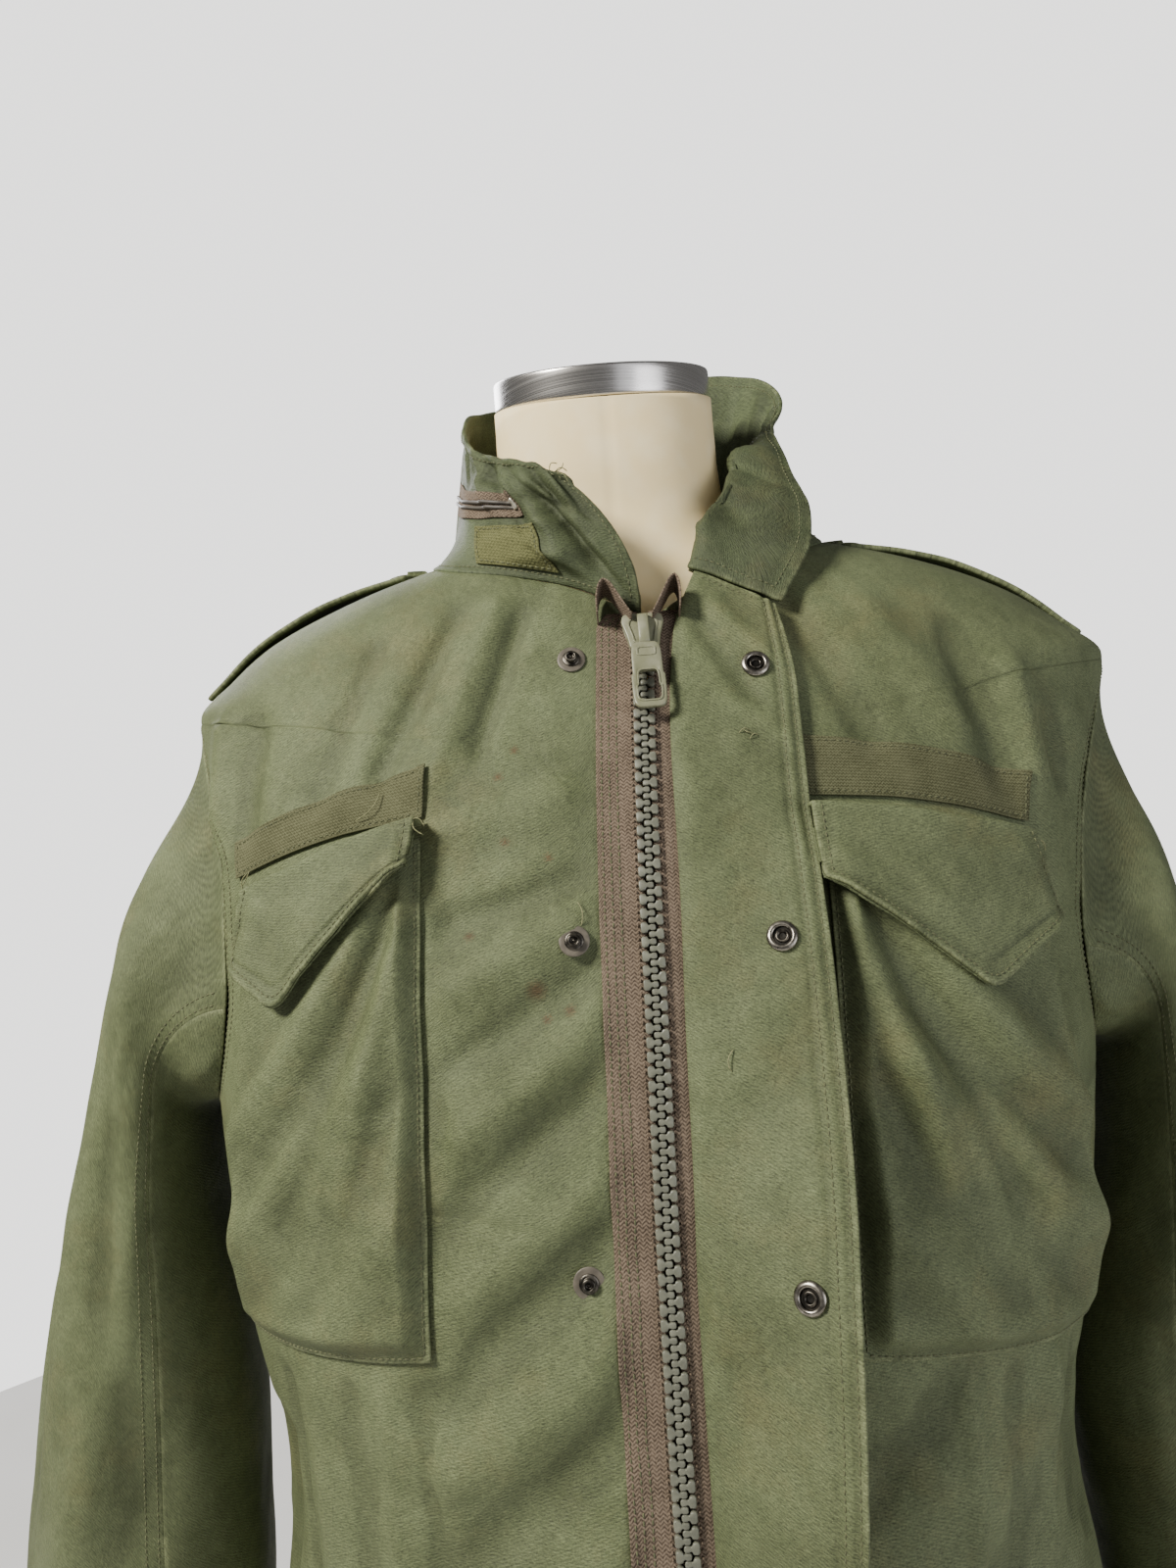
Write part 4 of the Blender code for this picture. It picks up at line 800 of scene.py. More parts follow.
@dataclass
class BodyPanels:
    """The two fronts and the back, with their seams and hem."""

    shape: JacketShape
    # v of the underarm and of the shoulder point
    v_under: float = 0.62
    v_shoulder: float = 0.885
    seam_gap: float = 0.001
    # half the gap that the zip lies in, and the height of a front's top corner beside it
    zip_gap: float = 0.0092
    front_top: float = 0.842
    front_columns: int = 77
    back_columns: int = 97
    rows: tuple[int, int, int] = (106, 72, 37)
    # distance of the hem's sewing in mm, and heights of the two rows of the waist channel
    hem_turn: float = 25.0
    channel: tuple[float, float] = (0.452, 0.472)

    def heights(self) -> Array:
        """The v of the rows: hem to underarm, armhole, shoulder seam."""
        low, mid, high = self.rows
        under, shoulder = self.v_under, self.v_shoulder
        return spaced((0, under, low), (under, shoulder, mid), (shoulder, 1, high))

    def side_edge(self, vs: Array, side: Wearer, back: bool) -> Array:
        """The edge from hem to neck in (angle, height): side seam, armhole and shoulder seam."""
        shape = self.shape
        z = np.interp(vs, [0, self.v_under], [shape.hem, shape.underarm])
        rise = np.clip((vs - self.v_under) / (self.v_shoulder - self.v_under), 0, 1)
        turn = 0.65 * rise + 0.35 * (1 - np.cos(np.pi * rise)) / 2
        z = np.where(vs > self.v_under, shape.underarm + (shape.shoulder - shape.underarm) * turn, z)
        rising = np.interp(vs, [self.v_shoulder, 1], [shape.shoulder, shape.neck_side])
        z = np.where(vs > self.v_shoulder, rising, z)
        inwards = side.value * (1 if back else -1)
        return np.stack([shape.armhole_angle(z, side, back) + inwards * self.seam_gap, z], -1)

    def seam_dip(self, plane: Array, sides: tuple[Side, ...]) -> Array:
        """How far the cloth sinks towards its seams, with short puckers: -d exp(-(e/w)) (1 + pucker)."""
        grid = self.shape.plain(plane[..., 0], plane[..., 1])
        edge = edge_distance(grid, sides)
        along = running_length(grid, 1)
        pucker = drift(along / (9 * MM), edge / (22 * MM), 5.0)
        return -0.9 * MM * np.exp(-edge / (2.2 * MM)) + 0.42 * MM * pucker * bump_at(edge, 0, 11 * MM)

    def front(self, side: Wearer) -> Cloth:
        """One front, from beside the zip to the side seam."""
        shape, vs = self.shape, self.heights()
        us = np.linspace(0, 1, self.front_columns)
        z = shape.hem + (self.front_top - shape.hem) * vs
        inner = np.stack([shape.angle_at(shape.zip_x(z) + side.value * self.zip_gap, z), z], -1)
        outer = self.side_edge(vs, side, back=False)
        bottom = np.stack([inner[0, 0] + (outer[0, 0] - inner[0, 0]) * us, np.full(len(us), shape.hem)], -1)
        turn = inner[-1, 0] + (outer[-1, 0] - inner[-1, 0]) * us
        top = np.stack([turn, shape.neck_height(turn)], -1)
        top[0], top[-1] = inner[-1], outer[-1]
        plane = coons(inner, outer, bottom, top, us, vs)
        dip = self.seam_dip(plane, (Side.RIGHT,))
        return Cloth("panel_front_" + side.word, shape.point(plane[..., 0], plane[..., 1], dip),
                     CLOTH_WALL, FORWARD, (Side.RIGHT, Side.BOTTOM))

    def back(self) -> Cloth:
        """The back, from side seam to side seam."""
        shape, vs = self.shape, self.heights()
        us = np.linspace(0, 1, self.back_columns)
        left, right = self.side_edge(vs, Wearer.LEFT, True), self.side_edge(vs, Wearer.RIGHT, True)
        right[:, 0] += 2 * math.pi
        bottom = left[0] + (right[0] - left[0]) * us[:, None]
        turn = left[-1, 0] + (right[-1, 0] - left[-1, 0]) * us
        top = np.stack([turn, shape.neck_height(turn)], -1)
        top[0], top[-1] = left[-1], right[-1]
        plane = coons(left, right, bottom, top, us, vs)
        dip = self.seam_dip(plane, (Side.LEFT, Side.RIGHT))
        return Cloth("panel_back", shape.point(plane[..., 0], plane[..., 1], dip),
                     CLOTH_WALL, (0, 1, 0), (Side.LEFT, Side.RIGHT, Side.BOTTOM))

    def build(self, cotton: "Finish", thread: "Finish") -> None:
        """Builds the three panels and their rows of sewing."""
        for side in Wearer:
            cloth = self.front(side)
            cloth.make(cotton, OLIVE, "front_" + side.word, ["form_torso"])
            sewing = Sewing("sewing_front_" + side.word)
            sewing.rows_on(cloth, Side.RIGHT, (2.0, 8.0))
            sewing.rows_on(cloth, Side.BOTTOM, (self.hem_turn,))
            sewing.make(thread, OLIVE)
        cloth = self.back()
        cloth.make(cotton, OLIVE, "back", ["form_torso"])
        sewing = Sewing("sewing_back")
        sewing.rows_on(cloth, Side.BOTTOM, (self.hem_turn,))
        turn = np.radians(np.linspace(93, 267, 240))
        for height in self.channel:
            z = np.full(len(turn), height)
            sewing.row(self.shape.point(turn, z), self.shape.normal(turn, z))
        sewing.make(thread, OLIVE)


# ---- sleeves


@dataclass
class Sleeve:
    """One sleeve of two pieces: rings round the arm, joined to the armhole by a rounded cap."""

    shape: JacketShape
    side: Wearer
    # outer x, outer z, inner x, inner z, middle y, half depth
    table: Array
    # degrees round at the start and the end, height of both ends, depth in mm, half width in degrees
    folds: Table = (
        (70, 100, 0.64, 0.42, -5.0, 15), (105, 60, 0.56, 0.33, 4.0, 14), (30, 35, 0.64, 0.4, -4.5, 13),
        (-25, -5, 0.6, 0.33, 4.0, 15), (250, 285, 0.64, 0.43, -5.0, 16), (300, 320, 0.56, 0.3, -4.0, 14),
        (150, 110, 0.52, 0.4, -4.0, 16), (60, 130, 0.36, 0.29, -4.5, 17), (200, 260, 0.47, 0.41, -3.5, 15),
    )
    deepen: float = 1.4
    # degrees round the arm where the top sleeve and the under sleeve meet
    seams: tuple[float, float] = (115.7, 244.3)
    turns: int = 168
    cap_rows: int = 39
    arm_rows: int = 120
    # power of the super-ellipse round the arm: 2 is an ellipse
    square: float = 2.15
    def armhole_loop(self, turns: Array) -> tuple[Array, Array, Array]:
        """Points, inward directions and normals round the armhole. Turn 0 is the shoulder, 90 the front."""
        shape = self.shape
        back = turns > math.pi
        share = np.where(back, 2 * math.pi - turns, turns) / math.pi
        z = shape.shoulder - (shape.shoulder - shape.underarm) * (1 - np.cos(np.pi * share)) / 2
        front_angle, back_angle = [shape.armhole_angle(z, self.side, behind) for behind in (False, True)]
        theta = np.where(back, back_angle, front_angle)
        at, out = shape.plain(theta, z), shape.normal(theta, z)
        into = unit(np.cross(unit(np.roll(at, -1, 0) - np.roll(at, 1, 0)), out))
        inward = (np.sum(into * (at.mean(axis=0) - at), -1) < 0)[:, None]
        return at, np.where(inward, -into, into), out

    def grid(self) -> Array:
        """The outside, of shape (turns, rows, 3): a Hermite cap, then super-ellipse rings down the arm."""
        turns = np.linspace(0, 2 * math.pi, self.turns, endpoint=False)
        at, into, out = self.armhole_loop(turns)
        low = (1 - np.cos(turns)) / 2
        keep = (1 - smooth(low, 0.45, 0.98))[:, None]
        leave = unit(into * keep + (out + np.array([self.side.value * 0.3, 0, -0.25])) * (1 - keep))
        start = at + leave * (0.6 + 0.8 * (1 - smooth(low, 0.0, 0.08)))[:, None] * MM
        share = np.linspace(0, 1, len(self.table))
        fine = np.linspace(0, 1, self.arm_rows)
        rows = np.stack([curve(share, self.table[:, k], fine) for k in range(6)], -1)
        outer, inner = rows[:, [0, 4, 1]], rows[:, [2, 4, 3]]
        mid, arm = (outer + inner) / 2, (outer - inner) / 2
        c, s = np.cos(turns)[:, None], np.sin(turns)[:, None]
        bulge = (np.abs(c) ** self.square + np.abs(s) ** self.square) ** (-1 / self.square)
        depth = np.stack([0 * rows[:, 5], -rows[:, 5], 0 * rows[:, 5]], -1)
        rings = mid[None] + (bulge * c)[..., None] * arm[None] + (bulge * s)[..., None] * depth[None]
        first, onward = rings[:, 0], unit(rings[:, 4] - rings[:, 0])
        reach = np.linalg.norm(first - start, axis=-1)[:, None, None]
        t = np.linspace(0, 1, self.cap_rows, endpoint=False)[None, :, None]
        cap = (
            (1 + 2 * t) * (1 - t) ** 2 * start[:, None] + t * t * (3 - 2 * t) * first[:, None]
            + 1.1 * reach * (t * (1 - t) ** 2 * leave[:, None] - t * t * (1 - t) * onward[:, None])
        )
        grid = np.concatenate([cap, rings], 1)
        rank = np.concatenate([t[0, :, 0] * 3, 3 + fine * 11])
        normals = grid_normals(grid, np.array([self.side.value, 0, 0]), closed=True)
        normals = normals * np.sign(np.sum(normals[0, self.cap_rows] * np.array([self.side.value, 0, 0])))
        return grid + normals * self.lift(grid, np.degrees(turns)[:, None], rank, low[:, None])[..., None]

    def lift(self, grid: Array, degrees: Array, rank: Array, low: Array) -> Array:
        """Height of the folds down the arm, the puckers round the armhole and the creases at the elbow."""
        height = grid[..., 2]
        total = np.zeros(height.shape)
        for a0, a1, z0, z1, depth, wide in self.folds:
            t = (z0 - height) / (z0 - z1)
            off = (degrees - a0 - (a1 - a0) * t + 180) % 360 - 180
            span = smooth(t, -0.25, 0.3) * (1 - smooth(t, 0.7, 1.25))
            total += self.deepen * depth * MM * np.exp(-((off / wide) ** 2)) * span
        total *= smooth(rank, 2, 5)[None] * (1 - smooth(rank, 11.5, 14)[None])
        total *= 1 - smooth(low, 0.6, 0.85)
        near_cap = np.exp(-((rank[None] / 1.5) ** 2)) * smooth(rank[None], 0.02, 0.35)
        total += 0.8 * MM * near_cap * drift(degrees / 8.0, 0 * height + 2.0, 4.0)
        slow = drift(degrees / 26.0 + height / 0.13, height / 0.055 + degrees / 70.0, 11.0 + self.side.value)
        fine = drift(degrees / 11.0 - height / 0.06, height / 0.028, 6.0)
        away = smooth(rank[None], 0.6, 2.5) * (1 - smooth(low, 0.8, 0.95) * smooth(height, 0.5, 0.6))
        return total + (1.3 * slow + 0.5 * fine) * MM * away

    def build(self, cotton: "Finish", thread: "Finish") -> None:
        """Builds the top sleeve and the under sleeve with their rows of sewing."""
        grid = self.grid()
        cut = [int(round(a / 360 * self.turns)) for a in self.seams]
        word = self.side.word
        sewing = Sewing("sewing_sleeve_" + word)
        pieces = (
            ("top_sleeve_", 1, np.r_[cut[1]:self.turns, 0:cut[0] + 1]),
            ("under_sleeve_", -1, np.arange(cut[0], cut[1] + 1)),
        )
        for name, outer, picks in pieces:
            piece = grid[picks].copy()
            # a hair of room at both seams
            piece[0] += unit(piece[1] - piece[0]) * 0.4 * MM
            piece[-1] += unit(piece[-2] - piece[-1]) * 0.4 * MM
            facing = (self.side.value * outer, 0, 0)
            cloth = Cloth(name + "cloth_" + word, piece, CLOTH_WALL, facing, tuple(Side))
            cloth.make(cotton, OLIVE, name + word, ["form_torso"])
            if outer > 0:
                sewing.rows_on(cloth, (Side.LEFT, Side.RIGHT), (2.0, 8.0), 6.0)
            sewing.rows_on(cloth, Side.TOP, (22.0,))
        sewing.make(thread, OLIVE)


SLEEVE_TABLES = {
    Wearer.RIGHT: np.array([
        [-0.277, 0.706, -0.24, 0.596, 0.0, 0.082], [-0.301, 0.628, -0.2405, 0.556, -0.001, 0.078],
        [-0.321, 0.563, -0.235, 0.51, -0.003, 0.074], [-0.345, 0.453, -0.229, 0.423, -0.008, 0.069],
        [-0.357, 0.343, -0.231, 0.325, -0.014, 0.064], [-0.364, 0.265, -0.2395, 0.252, -0.018, 0.059],
        [-0.366, 0.202, -0.247, 0.194, -0.022, 0.053],
    ]),
    Wearer.LEFT: np.array([
        [0.2745, 0.706, 0.242, 0.596, 0.0, 0.084], [0.288, 0.628, 0.2405, 0.556, 0.0, 0.081],
        [0.301, 0.563, 0.234, 0.51, -0.002, 0.078], [0.327, 0.453, 0.22, 0.423, -0.006, 0.072],
        [0.344, 0.343, 0.228, 0.325, -0.012, 0.066], [0.356, 0.265, 0.2395, 0.252, -0.016, 0.06],
        [0.36, 0.202, 0.246, 0.194, -0.02, 0.054],
    ]),
}


# ---- collar


@dataclass
class Collar:
    """The open stand collar with its loop patch and the zip of its hood pocket."""

    shape: JacketShape
    wall: float = 2.2 * MM
    # degrees, middle x y z, top x y z; the seam's own point comes from the neckline
    table: Array = field(default_factory=lambda: np.array([
        [-3, -0.0005, -0.0975, 0.879, -0.027, -0.088, 0.914],
        [-14, -0.026, -0.093, 0.893, -0.042, -0.08, 0.923],
        [-27, -0.046, -0.08, 0.896, -0.057, -0.067, 0.93],
        [-43, -0.066, -0.061, 0.901, -0.07, -0.048, 0.94],
        [-64, -0.08, -0.032, 0.908, -0.0775, -0.026, 0.957],
        [-90, -0.084, 0.001, 0.918, -0.0765, -0.002, 0.972],
        [-120, -0.074, 0.038, 0.931, -0.0695, 0.036, 0.986],
        [-150, -0.043, 0.069, 0.947, -0.038, 0.072, 1.002],
        [-180, 0.001, 0.077, 0.954, 0.006, 0.085, 1.012], [-210, 0.048, 0.073, 0.954, 0.066, 0.079, 1.013],
        [-230, 0.078, 0.054, 0.945, 0.101, 0.059, 1.002], [-245, 0.089, 0.032, 0.936, 0.109, 0.033, 0.981],
        [-260, 0.087, 0.011, 0.929, 0.0965, 0.009, 0.958],
        [-275, 0.079, -0.009, 0.931, 0.094, -0.015, 0.943],
        [-290, 0.069, -0.032, 0.927, 0.0955, -0.04, 0.917],
        [-305, 0.059, -0.053, 0.911, 0.0985, -0.061, 0.896],
        [-320, 0.048, -0.07, 0.891, 0.0955, -0.076, 0.876],
        [-338, 0.037, -0.0835, 0.863, 0.076, -0.0935, 0.843],
    ]))
    # creases: degrees and share of the height at both ends, depth in mm, half width in mm
    creases: Table = (
        (-30, 0.95, -20, 0.45, 1.0, 3.5), (-36, 1.0, -30, 0.4, -1.1, 3.0), (-24, 1.0, -12, 0.62, -0.9, 3.0),
        (-44, 0.98, -40, 0.62, 0.9, 3.0), (-18, 0.55, -44, 0.42, -0.8, 5.0),
        (-12, 0.3, -34, 0.16, 0.8, 5.0), (-60, 1.0, -56, 0.82, -0.8, 3.5),
        (-245, 1.0, -252, 0.55, -1.4, 5.0), (-262, 0.98, -270, 0.4, 1.3, 5.0),
        (-285, 0.92, -292, 0.4, -1.0, 6.0), (-318, 0.7, -300, 0.35, 1.0, 6.0),
        (-332, 0.6, -312, 0.2, -0.9, 6.0), (-7, 1.0, -8, 0.6, -1.1, 2.6), (-11, 1.0, -11, 0.62, 0.9, 2.4),
        (-15, 0.98, -14, 0.6, -1.0, 2.8), (-18, 0.68, -13, 0.12, -1.5, 5.0),
        (-24, 0.9, -20, 0.25, 0.9, 4.0), (-34, 1.0, -12, 0.3, -1.2, 8.0), (-48, 0.55, -22, 0.62, -1.0, 5.0),
        (-20, 0.75, -8, 0.2, 1.1, 4.0), (-26, 0.98, -19, 0.5, -1.2, 2.2), (-21, 0.96, -16, 0.66, 1.0, 2.0),
        (-31, 0.8, -24, 0.48, 1.0, 2.6), (-52, 0.92, -36, 0.8, -0.9, 3.0), (-16, 0.4, -7, 0.08, -1.0, 3.0),
        (-28, 0.3, -14, 0.06, 0.7, 3.0), (-236, 0.9, -240, 0.2, -1.3, 4.0),
        (-222, 0.92, -224, 0.2, 1.2, 4.0), (-230, 0.7, -231, 0.1, -1.4, 3.5),
        (-252, 0.86, -262, 0.66, -1.2, 3.5), (-272, 0.88, -266, 0.3, -1.0, 3.5),
        (-300, 0.92, -296, 0.6, 0.8, 4.0), (-150, 0.95, -155, 0.4, 1.0, 8.0),
        (-200, 0.95, -196, 0.35, -1.1, 8.0), (-100, 0.8, -92, 0.3, 0.9, 7.0),
    )
    deepen: float = 3.3
    # metres in a degree along the seam, and from the seam to the free edge
    metres: tuple[float, float] = (1.35 * MM, 68 * MM)

    def sheet(self, turn: Array, up: Array) -> Array:
        """The plain outer face: a parabola through seam, middle and top, with curves over the degrees."""
        keys = -self.table[:, 0]
        turn, up = np.broadcast_arrays(np.asarray(turn, float), np.asarray(up, float))
        theta = np.radians(turn)
        low = self.shape.plain(theta, self.shape.neck_height(theta)) + np.array([0, 0, 1.1 * MM])
        mid = np.stack([curve(keys, self.table[:, k], -turn) for k in (1, 2, 3)], -1)
        top = np.stack([curve(keys, self.table[:, k], -turn) for k in (4, 5, 6)], -1)
        v = up[..., None]
        return low * (1 - v) * (1 - 2 * v) + mid * 4 * v * (1 - v) + top * v * (2 * v - 1)

    def face(self, turns: Array, ups: Array, out: float = 0.0, calm: float = 1.0) -> Array:
        """The outer face as a grid, with its creases, moved out by a distance.

        Args:
            turns: Degrees along the seam.
            ups: Shares of the height, 0 the seam and 1 the free edge.
            out: How far out of the face.
            calm: Share of the creases that is kept.

        Returns:
            Points of shape (len(turns), len(ups), 3).
        """
        turn, up = mesh_grid(turns, ups)
        along = self.sheet(turn + 0.4, up) - self.sheet(turn - 0.4, up)
        rise = self.sheet(turn, up + 0.01) - self.sheet(turn, up - 0.01)
        away = unit(np.cross(along, rise))
        lift = JacketShape.ridges(turn, up, self.creases, self.deepen, self.metres)
        lift += 0.5 * MM * drift(turn / 9.0, up / 0.33 + turn / 31.0, 2.0)
        lift *= 1 - 0.7 * smooth(up, 0.84, 0.98)
        bead = 1.0 * MM * bump_at(up, 0.972, 0.025) - 0.8 * MM * bump_at(up, 0.915, 0.022)
        seam = -0.5 * MM * bump_at(up, 0.07, 0.03)
        lift = out + lift * calm * smooth(up, 0.03, 0.2) + bead + seam
        return self.sheet(turn, up) + lift[..., None] * away

    def build(self, cotton: "Finish", thread: "Finish", loop: "Finish", tape: "Finish", coil: "Finish",
              pale: "Finish") -> None:
        """Builds the collar, its sewing, the loop patch and the hood pocket's zip."""
        turns = np.linspace(-3, -338, 301)
        cloth = Cloth("collar_cloth", self.face(turns, np.linspace(0, 1, 57)), self.wall, (0, 1, 0),
                      (Side.LEFT, Side.RIGHT, Side.TOP))
        cloth.make(cotton, OLIVE, "collar", ["form_torso", "panel_back"])
        sewing = Sewing("sewing_collar")
        # side, distance, room at the ends, and whether the row lies on the inner face
        for side, away, ends, behind in (
            (Side.TOP, 5.0, 6.0, False), (Side.BOTTOM, 4.0, 3.0, False), (Side.RIGHT, 5.0, 5.0, False),
            (Side.LEFT, 4.0, 5.0, False), (Side.TOP, 5.5, 6.0, True), (Side.RIGHT, 5.0, 5.0, True),
            (Side.BOTTOM, 4.0, 3.0, True),
        ):
            sewing.rows_on(cloth, side, (away,), ends, behind)

        facing = (-1, -0.5, 0)
        pile = self.face(np.linspace(-25, -50, 60), np.linspace(0.09, 0.44, 44), 1.6 * MM)
        patch = Cloth("collar_loop_patch", pile, 1.3 * MM, facing, tuple(Side))
        patch.make(loop, "loop_pile", "collar_patch", ["collar_cloth"], "laid")
        sewing.rows_on(patch, tuple(Side), (1.6,))
        sewing.make(thread, OLIVE)

        zip_turns = np.linspace(-29, -84, 80)
        band = self.face(zip_turns, np.linspace(0.515, 0.7, 26), 1.4 * MM)
        strip = Cloth("collar_zip_tape", band, 1.0 * MM, facing, (Side.BOTTOM, Side.TOP))
        strip.make(tape, "zip_tape", "collar_zip", ["collar_cloth"], "laid")
        lines = [self.face(zip_turns[2:], np.array([up, up + 0.01]), 2.0 * MM)[:, 0] for up in (0.588, 0.626)]
        joined([tube(line, 0.9 * MM, 8) for line in lines]).build("collar_zip_coil", coil, "zip_tape")
        stop = self.face(np.linspace(-29.6, -31.4, 6), np.linspace(0.575, 0.64, 6), 3.0 * MM)
        Cloth("collar_zip_stop", stop, 1.4 * MM, facing).data().build("collar_zip_stop", pale, "zip_teeth")


def tube(path: Array, radius: float, sides: int) -> MeshData:
    """A round tube along a path, closed at its ends: P = C(s) + r (cos f N + sin f B) in a turning frame.

    Args:
        path: Points of the middle line, of shape (n, 3).
        radius: The tube's radius.
        sides: How many sides go round.

    Returns:
        The mesh.
    """
    along = unit(np.gradient(path, axis=0))
    away = unit(np.cross(along, np.array([0.13, 0.21, 0.97])))
    beside = np.cross(along, away)
    turn, station = mesh_grid(np.linspace(0, 2 * math.pi, sides, endpoint=False), np.arange(len(path)))
    share = np.where((station == 0) | (station == len(path) - 1), 0.45, 1.0)
    c, s = (share * np.cos(turn))[..., None], (share * np.sin(turn))[..., None]
    grid = path[station] + radius * (c * away[station] + s * beside[station])
    tips = np.stack([path[0] - along[0] * radius * 0.4, path[-1] + along[-1] * radius * 0.4])
    return capped(grid, tips)


# ---- storm flap and pockets


@dataclass
class StormFlap:
    """The double flap that folds back over the wearer's left front: a face and a facing, edge on edge."""

    shape: JacketShape
    low: float = 0.122
    high: float = 0.861
    wall: float = 1.1 * MM
    # height of the root, x of the root, free edge x, z and how far it stands out of the front
    table: Array = field(default_factory=lambda: np.array([
        [0.12, 0.004, 0.046, 0.115, 0.026], [0.25, 0.004, 0.046, 0.245, 0.036],
        [0.4, 0.0042, 0.0475, 0.395, 0.046], [0.47, 0.0048, 0.0495, 0.466, 0.05],
        [0.547, 0.0058, 0.0562, 0.544, 0.046], [0.596, 0.008, 0.0618, 0.592, 0.037],
        [0.656, 0.01, 0.067, 0.652, 0.024], [0.714, 0.013, 0.0705, 0.708, 0.012],
        [0.776, 0.0155, 0.073, 0.762, 0.005], [0.83, 0.0225, 0.0755, 0.806, 0.004],
        [0.862, 0.0365, 0.0725, 0.841, 0.0035],
    ]))
    # creases: height and share of the width at both ends, depth in mm, half width in mm
    creases: Table = (
        (0.835, 0.25, 0.812, 0.6, -1.6, 6), (0.846, 0.35, 0.836, 0.75, 1.3, 5),
        (0.8, 0.55, 0.79, 0.85, 0.8, 6), (0.64, 0.15, 0.69, 0.8, 0.7, 10), (0.6, 0.1, 0.65, 0.8, -0.8, 10),
        (0.545, 0.1, 0.6, 0.75, 0.9, 11), (0.5, 0.1, 0.556, 0.8, -1.0, 11),
        (0.455, 0.15, 0.505, 0.85, 0.9, 12), (0.41, 0.15, 0.46, 0.8, -0.8, 12),
        (0.73, 0.6, 0.752, 0.9, -0.6, 7), (0.34, 0.2, 0.39, 0.9, 0.9, 12), (0.24, 0.2, 0.29, 0.9, -0.9, 12),
    )
    deepen: float = 1.6
    # metres from the fold to the free edge, and the shares of it where the two rows of sewing dip
    width: float = 0.055
    dips: tuple[float, float] = (0.955, 0.845)
    # room between the front and the face at its fold, and how much the face rises behind the fold
    clear: float = 3.0 * MM
    roll: float = 1.6 * MM

    def plain(self, height: Array, across: Array, out: Array | float = 0.0) -> Array:
        """A point of the showing face: across is 0 at the fold beside the zip, 1 at the free edge."""
        height, across = np.broadcast_arrays(np.asarray(height, float), np.asarray(across, float))
        keys = self.table[:, 0]
        root_x, free_x, free_z, stand = [curve(keys, self.table[:, k], height) for k in (1, 2, 3, 4)]
        roll = 1.0 - (1 - np.clip(across / 0.13, 0, 1)) ** 2
        away = self.clear + self.roll * roll + np.maximum(stand - 3.5 * MM, 0) * across**1.15
        x, z = root_x + (free_x - root_x) * across, height + (free_z - height) * across
        return self.shape.on_front(x, z, away + out)

    def face(self, heights: Array, shares: Array, out: float = 0.0) -> Array:
        """The showing face as a grid: its creases, the dips of its sewing, the bead of its free edge."""
        across, height = mesh_grid(shares, heights)
        table = tuple((s0, h0, s1, h1, depth, wide) for h0, s0, h1, s1, depth, wide in self.creases)
        lift = JacketShape.ridges(across, height, table, self.deepen, (self.width, 1.0))
        lift += 0.3 * MM * drift(across * 3.2, height / 0.019, 7.0) * smooth(across, 0.55, 0.9)
        lift += 0.26 * MM * drift(across * 1.6 + height / 0.06, height / 0.034, 9.0)
        lift += 0.6 * MM * (0.5 - np.abs(drift(across * 1.9 + height / 0.05, height / 0.038 - across, 14.0)))
        lift -= 0.8 * MM * (bump_at(across, self.dips[0], 0.018) + bump_at(across, self.dips[1], 0.022))
        lift += 0.5 * MM * (bump_at(across, 0.9, 0.03) + bump_at(across, 0.99, 0.015))
        lift *= smooth(across, 0.0, 0.12)
        return self.plain(height, across, lift + out)

    def frame(self, height: float, across: float) -> tuple[Array, Array]:
        """A point of the showing face and its outward direction."""
        face = self.face(np.array([height - 0.003, height, height + 0.003]),
                         np.array([across - 0.03, across, across + 0.03]))
        out = unit(np.cross(face[2, 1] - face[0, 1], face[1, 2] - face[1, 0]))
        return face[1, 1], out if out[1] < 0 else -out

    def build(self, cotton: "Finish", thread: "Finish") -> None:
        """Builds the face, the facing behind it and the double row of sewing at the free edge."""
        heights = np.linspace(self.low, self.high, 380)
        shares = spaced((0, 0.12, 8), (0.12, 1, 44))
        grid = self.face(heights, shares)
        face = Cloth("storm_flap_face", grid, self.wall, FORWARD, (Side.RIGHT, Side.TOP))
        shares = spaced((0.06, 0.12, 4), (0.12, 1.012, 34))
        grid = self.face(heights[::2], shares, -1.45 * MM)
        back = Cloth("storm_flap_facing", grid, self.wall, FORWARD, (Side.RIGHT,))
        face.make(cotton, OLIVE, "storm_flap", ["panel_front_left"])
        back.make(cotton, OLIVE, None, ["panel_front_left"])
        sewing = Sewing("sewing_storm_flap")
        sewing.rows_on(face, Side.RIGHT, (2.4, 8.6), 3.0)
        sewing.rows_on(face, Side.TOP, (3.0,), 4.0)
        sewing.make(thread, OLIVE)


